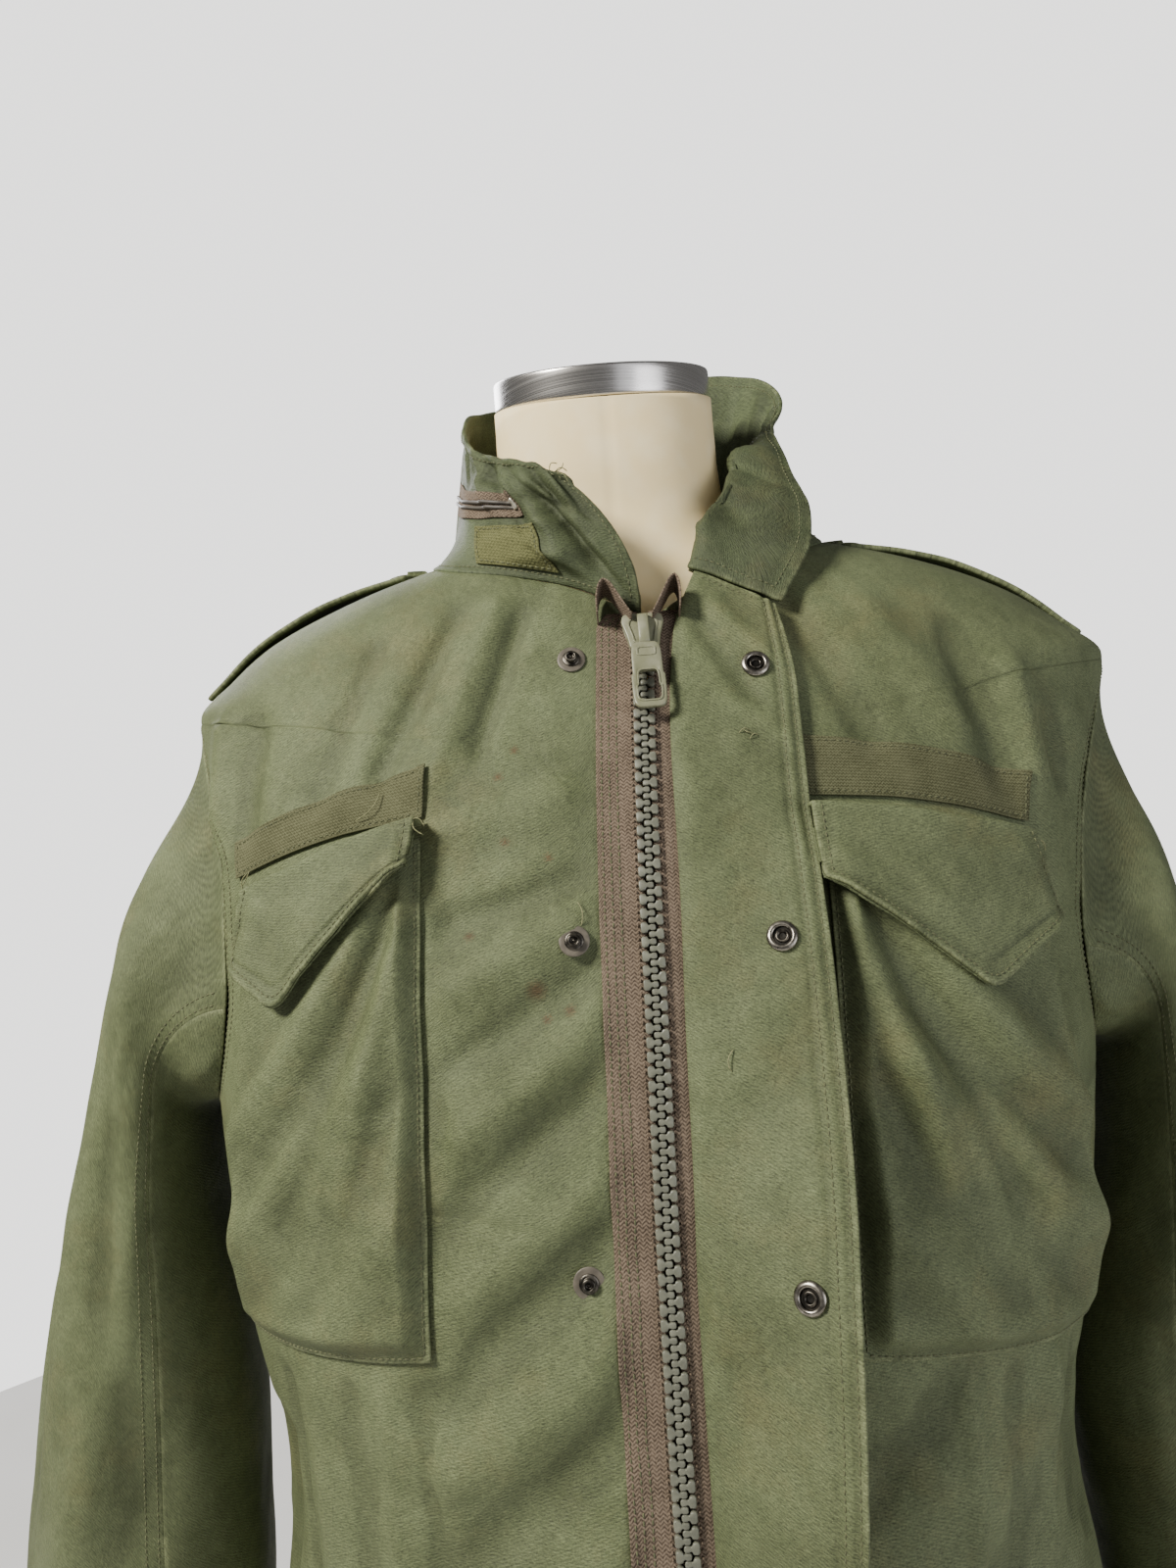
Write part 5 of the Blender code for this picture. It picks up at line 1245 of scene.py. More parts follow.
@dataclass
class PatchPocket:
    """A patch pocket that stands off its front, with a pointed flap over its mouth."""

    shape: JacketShape
    name: str
    # (x, z) of the bag's top inner, top outer, bottom outer and bottom inner corner
    bag: Profile
    # (x, z) of the flap's top inner, top outer, side outer, point and side inner
    flap: Profile
    # how far the bag stands out, how much further the flap's point does, and the rise of its middle
    stand: float = 7.0 * MM
    spread: float = 4.8 * MM
    bend: float = 4.0 * MM
    # depth of the bag's creases below the flap and under it, and the depth beyond which crests are sharp
    pull: float = 2.1
    pull_covered: float = 1.9
    crest_from: float = 1.5
    # walls of the bag and of the flap, and the room under both
    wall: float = 1.4 * MM
    flap_wall: float = 2.2 * MM
    clear: float = 1.2 * MM
    # metres across and up the bag, for its creases
    size: tuple[float, float] = (0.105, 0.21)
    # creases of the bag: (u, v) of both ends, depth in mm, half width in mm
    creases: Table = (
        (0.1, 0.92, 0.62, 0.3, -2.0, 8), (0.16, 0.9, 0.9, 0.48, 1.8, 9), (0.08, 0.84, 0.34, 0.34, 1.5, 7),
        (0.2, 0.8, 0.8, 0.36, -1.5, 8), (0.3, 0.55, 0.95, 0.22, 1.3, 10), (0.12, 0.5, 0.55, 0.12, -1.3, 10),
        (0.45, 0.3, 0.9, 0.05, -1.2, 10), (0.1, 0.26, 0.4, 0.04, 1.1, 10),
    )

    def bag_cloth(self) -> Cloth:
        """The bag: ruled between its corners, domed over its rims, creased from the corner under the flap."""
        us, vs = spaced((0, 0.1, 12), (0.1, 0.9, 48), (0.9, 1, 12)), spaced((0, 0.08, 10), (0.08, 1, 84))
        u, v = mesh_grid(us, vs)
        plane = bilinear(self.bag[::-1], u, v)
        rim = smooth(np.minimum(u, 1 - u), 0, 0.09) * smooth(v, 0, 0.06)
        sag = 1 + 0.35 * bump_at(v, 0.3, 0.25)
        lift = self.stand * rim * sag * (1 - 0.1 * smooth(v, 0.85, 0.95))
        pull = self.pull_covered + (self.pull - self.pull_covered) * (1 - smooth(v, 0.62, 0.76))
        lift += rim * pull * JacketShape.ridges(u, v, self.creases, size=self.size)
        lift += rim * 0.5 * MM * drift(u * 4.2 + v * 2.0, v * 7.5, 4.0)
        crest = 0.5 - np.abs(drift(u * 3.6 + v * 2.2, v * 3.4 - u * 1.6, 12.0))
        lift += rim * (pull - self.crest_from) * MM * crest * (1 - smooth(v, 0.6, 0.74))
        lift = np.maximum(lift, 0.25 * self.stand * rim)
        grid = self.shape.on_front(plane[..., 0], plane[..., 1], self.clear + lift + self.wall)
        return Cloth(self.name.replace("pocket", "pocket_bag"), grid, self.wall, FORWARD,
                     (Side.LEFT, Side.RIGHT, Side.BOTTOM))

    def flap_cloth(self) -> Cloth:
        """The flap: ruled between its top edge and its pointed lower edge, lifted clear of the bag."""
        a, b, c, p, d = [np.array(q) for q in self.flap]
        us = np.linspace(0, 1, 84)
        vs = spaced((0, 0.1, 10), (0.1, 1, 44))
        mid = (p[0] - d[0]) / (c[0] - d[0])
        near = us < mid
        t = np.where(near, us / mid, (us - mid) / (1 - mid))
        low = np.where(near, d[1] + (p[1] - d[1]) * t**1.15, p[1] + (c[1] - p[1]) * t**0.9)
        low = np.convolve(np.pad(low, 4, mode="reflect", reflect_type="odd"), np.ones(9) / 9, "valid")
        low_x = np.where(near, d[0] + (p[0] - d[0]) * t, p[0] + (c[0] - p[0]) * t)
        top, bottom = a + (b - a) * us[:, None], np.stack([low_x, low], -1)
        plane = top[:, None] * (1 - vs[None, :, None]) + bottom[:, None] * vs[None, :, None]
        u, v = mesh_grid(us, vs)
        plane[..., 1] += self.bend * np.sin(math.pi * u) * (1 - 0.4 * v)
        rim = smooth(np.minimum(u, 1 - u), -0.08, 0.1)
        stand = self.stand + 3.4 * MM + self.spread * v
        lift = 0.7 * MM + stand * smooth(v, 0, 0.09) * (0.55 + 0.45 * rim)
        edge = self.stand * 1.15 + 3.8 * MM
        blend = smooth(v, 0.03, 0.09)
        lift = lift * (1 - blend) + np.maximum(lift, edge) * blend
        lift += 0.7 * MM * drift(u * 3.1 + v, v * 2.4 - u, 5.0) * smooth(v, 0.1, 0.3)
        lift += 0.35 * MM * drift(u * 9.0, v * 6.0, 6.0) * smooth(v, 0.1, 0.3)
        lift += 1.0 * MM * smooth(v, 0.93, 0.99) - 0.8 * MM * bump_at(v, 0.88, 0.025)
        lift += 0.45 * MM * drift(u * 16.0, v * 3.0, 3.0) * bump_at(v, 0.93, 0.09)
        grid = self.shape.on_front(plane[..., 0], plane[..., 1], lift + self.flap_wall)
        return Cloth(self.name.replace("pocket", "flap_cloth"), grid, self.flap_wall, FORWARD, tuple(Side))

    def facing_cloth(self, flap: Cloth) -> Cloth:
        """The flap's own facing, a layer behind its lower half that rolls out 0.4 to 1.6 mm past the edge."""
        half = flap.grid[:, 24:]
        out = grid_normals(half, np.array(flap.towards))
        behind = half - out * (flap.wall + 0.35 * MM)
        share = smooth(np.linspace(0, 1, half.shape[1]), 0.6, 1.0)[None, :, None]
        beyond = unit(half[:, -1:] - half[:, -6:-5])
        turn = np.arange(half.shape[0]) / 6.0
        roll = (1.0 + 0.6 * np.sin(turn) * np.sin(turn * 0.37 + 1.0)) * MM
        sides = np.linspace(-1, 1, half.shape[0])[:, None, None] ** 7
        across = unit(half[-1:] - half[:1])
        grid = behind + beyond * share * roll[:, None, None] + across * sides * 0.9 * MM
        return Cloth(self.name.replace("pocket", "flap_facing"), grid, 0.9 * MM, flap.towards, (Side.BOTTOM,))

    def build(self, cotton: "Finish", thread: "Finish") -> None:
        """Builds the bag and the flap with their sewing."""
        bag, flap = self.bag_cloth(), self.flap_cloth()
        under = "panel_front_" + self.name.rsplit("_", 1)[1]
        rolled = self.facing_cloth(flap)
        rolled.make(cotton, OLIVE, None, [flap.name])
        bag.make(cotton, OLIVE, self.name, [under])
        flap.make(cotton, OLIVE, self.name.replace("pocket", "flap"), [under])
        sewing = Sewing("sewing_" + self.name)
        for side in (Side.LEFT, Side.RIGHT, Side.BOTTOM):
            sewing.rows_on(bag, side, (2.0,), 2.5)
            sewing.rows_on(flap, side if side is not Side.BOTTOM else Side.TOP, (3.4,), 3.0)
        sewing.rows_on(flap, Side.BOTTOM, (7.0,))
        sewing.make(thread, OLIVE)


# bag and flap of each pocket, and the depth of its creases: the left chest bag hangs in the deepest folds
POCKET_TABLES = {
    "chest_pocket_right": (
        ((-0.1, 0.742), (-0.187, 0.718), (-0.205, 0.517), (-0.1055, 0.528)),
        ((-0.0985, 0.75), (-0.179, 0.725), (-0.185, 0.689), (-0.16, 0.669), (-0.103, 0.729)), 2.1,
    ),
    "chest_pocket_left": (
        ((0.0785, 0.734), (0.178, 0.716), (0.199, 0.498), (0.07, 0.521)),
        ((0.072, 0.746), (0.17, 0.728), (0.179, 0.687), (0.137, 0.658), (0.0725, 0.712)), 3.1,
    ),
    "lower_pocket_right": (
        ((-0.064, 0.345), (-0.188, 0.345), (-0.196, 0.158), (-0.064, 0.158)),
        ((-0.062, 0.36), (-0.188, 0.36), (-0.19, 0.317), (-0.127, 0.28), (-0.062, 0.317)), 2.1,
    ),
    "lower_pocket_left": (
        ((0.064, 0.345), (0.188, 0.345), (0.196, 0.158), (0.064, 0.158)),
        ((0.062, 0.36), (0.188, 0.36), (0.19, 0.317), (0.127, 0.28), (0.062, 0.317)), 2.1,
    ),
}


@dataclass
class ChestTape:
    """A strip of bare webbing sewn above a chest pocket."""

    shape: JacketShape
    side: Wearer
    # (x, z) of the low inner, low outer, high outer and high inner corner
    corners: Profile
    wall: float = 1.0 * MM
    # rise of its middle over the line between its ends
    bend: float = 4.0 * MM

    def build(self, webbing: "Finish", thread: "Finish") -> None:
        """Builds the strip and the sewing round it."""
        u, v = mesh_grid(np.linspace(0, 1, 90), np.linspace(0, 1, 26))
        plane = bilinear(self.corners, u, v)
        plane[..., 1] += self.bend * np.sin(math.pi * u)
        ends = np.minimum(u, 1 - u)
        wave = 0.35 * MM * drift(u * 7.0, v * 1.3, 3.0 + self.side.value)
        out = 1.9 * MM + wave + 0.5 * MM * (1 - smooth(ends, 0.035, 0.05))
        word = self.side.word
        grid = self.shape.on_front(plane[..., 0], plane[..., 1], out)
        cloth = Cloth("chest_tape_cloth_" + word, grid, self.wall, FORWARD, tuple(Side))
        cloth.make(webbing, "bare_tape", "chest_tape_" + word, ["panel_front_" + word], "laid")
        sewing = Sewing("sewing_chest_tape_" + word)
        sewing.rows_on(cloth, tuple(Side), (1.8,))
        sewing.make(thread, "bare_tape")


TAPE_CORNERS = {
    Wearer.RIGHT: ((-0.099, 0.752), (-0.195, 0.729), (-0.197, 0.746), (-0.0965, 0.7745)),
    Wearer.LEFT: ((0.0715, 0.75), (0.178, 0.73), (0.183, 0.752), (0.0725, 0.7765)),
}


@dataclass
class ShoulderStrap:
    """A strap over the shoulder, sewn in at the sleeve and buttoned by the neck."""

    shape: JacketShape
    side: Wearer
    # x of the sewn end and of the buttoned end on each side, and half the width at both
    ends: dict[Wearer, tuple[float, float]] = field(default_factory=lambda: {
        Wearer.LEFT: (0.2485, 0.118), Wearer.RIGHT: (-0.224, -0.106),
    })
    widths: tuple[float, float] = (0.023, 0.018)
    wall: float = 3.0 * MM
    # the button's place on the grid of 110 by 40
    button_at: tuple[int, int] = (96, 20)
    # profile of the button, in mm
    button: Profile = (
        (0.0, 0.0), (6.8, 0.0), (7.4, 0.9), (7.0, 2.4), (5.6, 2.5), (4.8, 1.6), (0.0, 1.5),
    )

    def build(self, cotton: "Finish", thread: "Finish", plastic: "Finish") -> None:
        """Builds the strap, its sewing and its button."""
        along, us = np.linspace(0, 1, 110), np.linspace(-1, 1, 40)
        wide = self.widths[0] + (self.widths[1] - self.widths[0]) * along - 0.01 * smooth(along, 0.9, 1.0)
        y = 0.002 + us[None] * wide[:, None]
        x = np.interp(along, [0, 1], self.ends[self.side])[:, None] + 0 * y
        arch_up = np.sin(np.pi * along)[:, None]
        lift = 0.5 * MM + 3.7 * MM * arch_up**0.7 + 0 * y
        lift += 0.5 * MM * drift(along[:, None] * 6.0, us[None] * 1.6 + 0 * y, 2.0) * arch_up
        lift += -0.35 * MM * bump_at(np.abs(us), 0.8, 0.06)[None]
        low = np.stack([x, y, self.shape.roof(x, y) + lift], -1)
        out = grid_normals(low, np.array([0, 0, 1]))
        word = self.side.word
        grid = low + out * (self.wall + 0.2 * MM)
        cloth = Cloth("strap_cloth_" + word, grid, self.wall, UPWARD, tuple(Side))
        cloth.make(cotton, OLIVE, "shoulder_strap_" + word, ["panel_front_" + word])
        sewing = Sewing("sewing_strap_" + word)
        sewing.rows_on(cloth, (Side.BOTTOM, Side.TOP, Side.RIGHT), (4.0,), 3.5)
        sewing.make(thread, OLIVE)
        up = out[self.button_at]
        dish = turned(profile_of(self.button), cloth.grid[self.button_at] + up * 0.3 * MM, up, 40)
        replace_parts(dish.build("button_" + word, plastic, "button"), "strap_button_" + word)


@dataclass
class LooseThreads:
    """Frayed ends of sewing thread, each a thin curl from its root."""

    shape: JacketShape
    storm: StormFlap
    collar: Collar
    radius: float = 0.24 * MM
    # on the front, in mm but for x and z: root x, root z, how far out, run across, run up, curl
    front: Table = (
        (-0.118, 0.764, 3.6, -11, -13, 3.0), (-0.0985, 0.748, 12.0, 5, -9, -2.0),
        (-0.1, 0.747, 12.5, 7, -4, 2.0), (-0.0315, 0.711, 1.6, 1, -11, 1.5),
        (-0.183, 0.732, 5.0, -6, -7, 2.0), (-0.184, 0.731, 5.0, -2, -9, -1.5),
        (0.17, 0.72, 12.0, 6, -5, 2.0),
    )
    # on the storm flap: height, share of the width, run across, run up, curl
    flap: Table = (
        (0.786, 0.52, 5, 1, 1.0), (0.788, 0.56, 4, -2, -1.0), (0.784, 0.6, 4, 2, 0.8),
        (0.64, 0.3, 1, 9, 1.6),
    )
    # at the collar's free edge: degrees, share of the height, run across, run up, curl
    edge: Table = (
        (-4.6, 0.985, 6, 0, 1.6), (-5.0, 0.985, 5, 4, -1.6), (-6.5, 0.985, 4, 3, 1.8),
        (-4.0, 0.98, 5, -5, 1.4),
    )

    def curl(self, root: Array, out: Array, across: float, up: float, bend: float) -> MeshData:
        """One thread: P = root + (a x + b z) t + (1.4 mm sin(pi t) + lift) out + bend sin(pi t) sideways."""
        t = np.linspace(0, 1, 14)[:, None]
        run = (across * np.array([1.0, 0, 0]) + up * np.array([0, 0, 1.0])) * MM
        run = run - out * np.dot(run, out)
        side = unit(np.cross(out, run))
        arc = np.sin(math.pi * t)
        path = root + run * t + out * (self.radius + 1.4 * MM * arc) + side * bend * MM * arc
        return tube(path, self.radius, 6)

    def build(self, thread: "Finish") -> None:
        """Builds all the ends as one object."""
        ends = []
        for x, z, away, across, up, bend in self.front:
            at, out, _ = self.shape.front_frame(x, z, away * MM)
            ends.append(self.curl(at, out, across, up, bend))
        for height, share, across, up, bend in self.flap:
            at, out = self.storm.frame(height, share)
            ends.append(self.curl(at, out, across, up, bend))
        for turn, share, across, up, bend in self.edge:
            at = self.collar.face(np.array([turn, turn - 0.5]), np.array([share, share + 0.005]))[0, 0]
            ends.append(self.curl(at, np.array([0, -1.0, 0]), across, up, bend))
        joined(ends).build("loose_threads", thread, OLIVE)


# ---- zip and snaps


def arch(width: float, height: float, middle: float, narrow: float, steps: int = 48) -> Array:
    """A rounded rectangle in (across, up), |x/w|^6 + |y/h|^6 = 1, its top narrower than its bottom."""
    turn = 2 * math.pi * (np.arange(steps) + 0.5) / steps
    c, s = np.cos(turn), np.sin(turn)
    square = (np.abs(c) ** 6 + np.abs(s) ** 6) ** (-1 / 6)
    return np.stack([width * c * square * np.where(s < 0, 1.0, narrow), middle + height * s * square], -1)


def resampled(outline: Array, count: int) -> Array:
    """A closed outline read at equal steps of its running length."""
    closed = np.concatenate([outline, outline[:1]])
    return read_along(closed, np.linspace(0, run_along(closed)[-1], count, endpoint=False))


@dataclass
class Plane:
    """A flat place on the jacket: a point with the directions across, up and out."""

    at: Array
    up: Array
    out: Array

    def place(self, flat: Array, high: float) -> Array:
        """Points (across, up) at a height over the place: P = at + x across + y up + h out."""
        across = np.cross(self.up, self.out)
        return self.at + flat[..., :1] * across + flat[..., 1:] * self.up + high * self.out

    def solid(self, outline: Array, low: float, high: float, soft: float) -> MeshData:
        """A plate with softened upper edges: its outline as rings, closed by fans to the middle."""
        middle = outline.mean(axis=0)
        inner = outline + (middle - outline) * soft / np.linalg.norm(outline - middle, axis=-1, keepdims=True)
        half = outline * 0.6 + inner * 0.4
        rings = [(outline, low), (outline, high - soft), (half, high - 0.3 * soft), (inner, high)]
        points = np.stack([self.place(flat, tall) for flat, tall in rings], 1)
        return capped(points, np.stack([self.place(middle, low), self.place(middle, high)]))

    def window_frame(self, outline: Array, window: Array, low: float, high: float, soft: float) -> MeshData:
        """A plate with a window: a softened square section led round between the two outlines."""
        away = unit(outline - window)
        bevel = 0.3 * soft
        rings = [
            (outline, low), (outline, high - soft), (outline - away * bevel, high - bevel),
            (outline - away * soft, high), (window + away * soft, high),
            (window + away * bevel, high - bevel), (window, high - soft), (window, low), (outline, low),
        ]
        points = np.stack([self.place(flat, tall) for flat, tall in rings], 1)
        return welded(MeshData(points.reshape(-1, 3), grid_quads(len(outline), len(rings), closed=True)))


@dataclass
class Zip:
    """The open-fronted two-way zip: tapes, moulded teeth, slider with bail, and the pull on a body of its own.
    """

    shape: JacketShape
    low: float = 0.13
    high: float = 0.826
    pitch: float = 5.8 * MM
    slider_at: float = 0.83
    hinge_drop: float = 11.0 * MM
    # heights of both ends of the tapes
    tape_ends: tuple[float, float] = (0.128, 0.842)
    tape_wall: float = 0.8 * MM
    # distances of a tape's two edges from the zip's line, the outer one for each side
    tape_near: float = 0.0026
    tape_far: dict[Wearer, float] = field(default_factory=lambda: {Wearer.RIGHT: 0.022, Wearer.LEFT: 0.021})
    # half of one tooth: across and up from its middle, in mm
    tooth: Profile = (
        (-1.5, -0.7), (-1.0, -1.25), (0.3, -1.35), (1.1, -1.0), (1.9, -1.2), (2.3, -2.2), (4.2, -2.35),
        (4.9, -1.6),
    )
    # middle line of a folded tape end: offset from the zip's line away from it, and height
    fold: Profile = (
        (0.0218, 0.837), (0.0222, 0.842), (0.0214, 0.8478), (0.0188, 0.8512), (0.0158, 0.8498),
        (0.0122, 0.845), (0.0088, 0.84), (0.0052, 0.8352),
    )
    # half of the slider's outline, in mm
    shield: Profile = ((6.8, -10.0), (8.0, -3.0), (10.2, 5.0), (9.2, 9.0), (2.6, 9.6))
    # section of the bail, in mm
    bar: Profile = (
        (-2.6, -0.7), (2.6, -0.7), (2.6, 0.35), (2.0, 0.7), (-2.0, 0.7), (-2.6, 0.35),
    )
    # the pull's plate and the rims of its window and slot: two arches, each as half width, half height,
    # middle and narrowing, then bottom, top and softness, in mm but for the narrowing, and the steps round
    hoops: tuple[tuple, ...] = (
        ((7.8, 17.5, -26.7, 0.9), (5.4, 8.0, -32.7, 0.86), 8.2, 10.3, 0.6, 96),
        ((6.1, 8.7, -32.7, 0.86), (5.3, 7.9, -32.7, 0.86), 10.0, 10.75, 0.2, 64),
        ((4.6, 2.6, -14.4, 1.0), (3.7, 1.7, -14.4, 1.0), 10.0, 10.7, 0.2, 48),
    )

    def plane(self, height: float, x_off: float = 0.0, out: float = 0.0) -> Plane:
        """The flat place on the zip's line at a height."""
        at, away, up = self.shape.front_frame(float(self.shape.zip_x(np.array(height))) + x_off, height, out)
        return Plane(at, up, away)

    def tape(self, side: Wearer) -> Cloth:
        """One tape, from the teeth outward over the front."""
        z = np.linspace(*self.tape_ends, 330)
        middle = self.shape.zip_x(z)
        near, far = middle + side.value * self.tape_near, middle + side.value * self.tape_far[side]
        far = far + (near - far) * smooth(z, 0.836, self.tape_ends[1]) * 0.2
        u, v = mesh_grid(np.linspace(0, 1, 22), z)
        x = near[None] + (far - near)[None] * u
        wave = 0.25 * MM * drift(v / 0.03, u * 2.0, 5.0 + side.value) * smooth(u, 0.3, 1.0)
        rib = 0.5 * MM * bump_at(u, 0.12, 0.06) - 0.25 * MM * bump_at(u, 0.5, 0.1)
        grid = self.shape.on_front(x, v, 1.4 * MM + wave + rib)
        return Cloth("zip_tape_cloth_" + side.word, grid, self.tape_wall, FORWARD, (Side.RIGHT,))

    def loop(self, side: Wearer) -> Cloth:
        """The folded top end of one tape: a band bent over like a hairpin, its width pointing outwards."""
        path = np.array(self.fold)
        path[:, 0] *= 1.0 if side is Wearer.RIGHT else 0.82
        t, fine = np.linspace(0, 1, len(path)), np.linspace(0, 1, 44)
        off, z = curve(t, path[:, 0], fine), curve(t, path[:, 1], fine)
        x = self.shape.zip_x(z) + side.value * off
        out = np.linspace(1.8 * MM, 12.4 * MM, 12)[None] * (1 + 0.25 * np.sin(math.pi * fine)[:, None])
        grid = self.shape.on_front(x[:, None] + 0 * out, z[:, None] + 0 * out, out)
        return Cloth("zip_tape_loop_" + side.word, grid, self.tape_wall, UPWARD, (Side.TOP,))

    def teeth(self) -> MeshData:
        """The chain: rows of small mushroom-shaped teeth, one row half a pitch above the other."""
        half = np.array(self.tooth)
        whole = np.concatenate([half, half[::-1] * np.array([1.0, -1.0])]) * MM
        parts = []
        for side in Wearer:
            start = self.low + (self.pitch / 2 if side is Wearer.LEFT else 0)
            outline = (whole * np.array([side.value, 1.0]))[::side.value]
            for height in np.arange(start, self.high, self.pitch):
                parts.append(self.plane(float(height)).solid(outline, 1.0 * MM, 3.9 * MM, 0.45 * MM))
        return joined(parts)

    def combs(self, sewing: Sewing) -> None:
        """The short woven threads that clasp the teeth, a row beside each side of the chain."""
        z = np.linspace(self.low, self.high, 240)
        for off in (-6.0 * MM, 6.0 * MM):
            x = self.shape.zip_x(z) + off
            away = self.shape.normal(self.shape.angle_at(x, z), z)
            sewing.row(self.shape.on_front(x, z, 2.1 * MM), away)

    def slider(self) -> MeshData:
        """The slider's body: shield, raised rim, side flanges and the bail over it."""
        place = self.plane(self.slider_at)
        half = list(self.shield)
        whole = half + [(0.0, 7.6)] + [(-x, y) for x, y in reversed(half)]
        outline = resampled(np.array(whole) * MM, 72)
        rounded = (np.roll(outline, 1, 0) + outline * 2 + np.roll(outline, -1, 0)) / 4
        inner = rounded * 0.72 + np.array([0, -0.4 * MM])
        # upper plate, lower plate, raised rim, and the bridge between the plates
        parts = [
            place.solid(rounded, 4.2 * MM, 6.6 * MM, 0.7 * MM),
            place.solid(rounded * 0.96, 0.9 * MM, 1.8 * MM, 0.3 * MM),
            place.window_frame(inner, inner * 0.86, 6.4 * MM, 7.1 * MM, 0.2 * MM),
            place.solid(arch(1.6 * MM, 8.0 * MM, 0.5 * MM, 0.9), 1.4 * MM, 4.6 * MM, 0.2 * MM),
        ]
        # the bail: a square bar arched from the slider's top to its bottom
        turn = np.linspace(0, math.pi, 28)
        path = np.stack([0 * turn, 8.8 * MM * np.cos(turn) - 1.0 * MM], -1)
        high = 6.2 * MM + 4.4 * MM * np.sin(turn) ** 0.6
        bar = np.stack([
            place.place(path + np.array([x * MM, 0]), 0.0) + (high + y * MM)[:, None] * place.out
            for x, y in self.bar
        ])
        quads = grid_quads(len(self.bar), len(turn), closed=True)
        ends = np.array([[0, 1, 2, 3], [0, 3, 4, 5]]) * len(turn)
        quads = np.concatenate([quads, ends[:, ::-1], ends + len(turn) - 1])
        parts.append(MeshData(bar.reshape(-1, 3), quads))
        return joined(parts)

    def pull(self) -> MeshData:
        """The pull tab: a plate with an arched window, a raised rim and a slot over the bail."""
        base = self.plane(self.slider_at)
        place = Plane(base.at - base.up * self.hinge_drop, base.up, base.out)
        parts = []
        for *arches, low, high, soft, steps in self.hoops:
            lines = [
                arch(wide * MM, tall * MM, middle * MM + self.hinge_drop, narrow, steps)
                for wide, tall, middle, narrow in arches
            ]
            parts.append(place.window_frame(*lines, low * MM, high * MM, soft * MM))
        return joined(parts)

    def build(self, tape: "Finish", thread: "Finish", plastic: "Finish", enamel: "Finish") -> None:
        """Builds tapes, sewing, teeth, slider and pull."""
        sewing = Sewing("sewing_zip")
        for side in Wearer:
            cloth = self.tape(side)
            cloth.make(tape, "zip_tape", "zip_tape_" + side.word, ["panel_front_" + side.word], "laid")
            self.loop(side).make(tape, "zip_tape", None, [cloth.name], "folded")
            sewing.rows_on(cloth, Side.RIGHT, (2.2, 5.6, 9.2) if side is Wearer.RIGHT else (3.0,))
        sewing.make(thread, "zip_tape")
        combs = Sewing("zip_comb_threads", pitch=2.9 * MM, length=1.5 * MM, radius=0.55 * MM)
        self.combs(combs)
        combs.make(tape, "zip_tape")
        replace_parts(self.teeth().build("zip_teeth_rows", plastic, "zip_teeth"), "zip_chain")
        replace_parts(self.slider().build("zip_slider_body", enamel, "zip_metal"), "zip_slider")
        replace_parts(self.pull().build("zip_pull_tab", enamel, "zip_metal", PULL), "zip_pull")


@dataclass
class Snaps:
    """Five snaps: studs on the wearer's right front and open sockets on the storm flap."""

    shape: JacketShape
    storm: StormFlap
    # x and height on the right front
    studs: Profile = (
        (-0.027, 0.821), (-0.034, 0.695), (-0.038, 0.558), (-0.039, 0.424), (-0.039, 0.29),
    )
    # height and share across the storm flap
    sockets: Profile = (
        (0.826, 0.68), (0.693, 0.69), (0.559, 0.74), (0.425, 0.72), (0.291, 0.72),
    )
    # profiles of radius and height in mm: a stud's flange and post, a socket's ring, well and spring
    disc: Profile = ((0.0, -0.3), (6.2, -0.3), (6.8, 0.1), (6.5, 0.6), (4.2, 0.75), (0.0, 0.8))
    post: Profile = (
        (0.0, 0.6), (4.1, 0.6), (4.2, 1.2), (3.3, 1.6), (2.7, 1.6), (2.5, 2.2), (3.0, 3.0), (2.6, 3.9),
        (1.7, 3.9), (1.5, 3.0), (1.4, 2.2), (0.6, 2.2), (0.5, 2.9), (0.0, 3.0),
    )
    ring: Profile = (
        (3.6, -0.2), (5.8, -0.2), (6.6, 0.2), (6.7, 0.9), (6.0, 1.7), (4.9, 2.1), (4.1, 1.7), (3.8, 0.9),
        (3.6, 0.2),
    )
    well: Profile = ((0.0, 0.0), (4.0, 0.0), (4.0, 0.5), (3.2, 0.6), (0.0, 0.4))
    eye: Profile = ((1.3, 0.3), (2.9, 0.3), (3.0, 1.0), (2.6, 1.5), (2.0, 1.5), (1.5, 0.9), (1.3, 0.5))

    def build(self, flange: "Finish", dark: "Finish", bright: "Finish", black: "Finish") -> None:
        """Builds every stud as flange and post, and every socket as ring and well."""
        disc, post, ring, well, eye = map(profile_of, (self.disc, self.post, self.ring, self.well, self.eye))
        for k, (x, z) in enumerate(self.studs, 1):
            at, out, _ = self.shape.front_frame(x, z, 0.5 * MM)
            for profile, name, look in ((disc, "stud_flange", flange), (post, "stud_post", dark)):
                made = turned(profile, at, out).build(f"{name}_{k}", look, "snap_dark")
                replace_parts(made, f"snap_stud_{k}")
        for k, (height, across) in enumerate(self.sockets, 1):
            at, out = self.storm.frame(height, across)
            # the well's near-black finish is painted shade inside the socket
            for profile, name, look in ((ring, "socket_ring", bright), (well, "socket_well", black),
                                        (eye, "socket_spring", dark)):
                made = turned(profile, at + out * 0.3 * MM, out).build(f"{name}_{k}", look, "snap_bright")
                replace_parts(made, f"snap_socket_{k}")


# ---- dress form


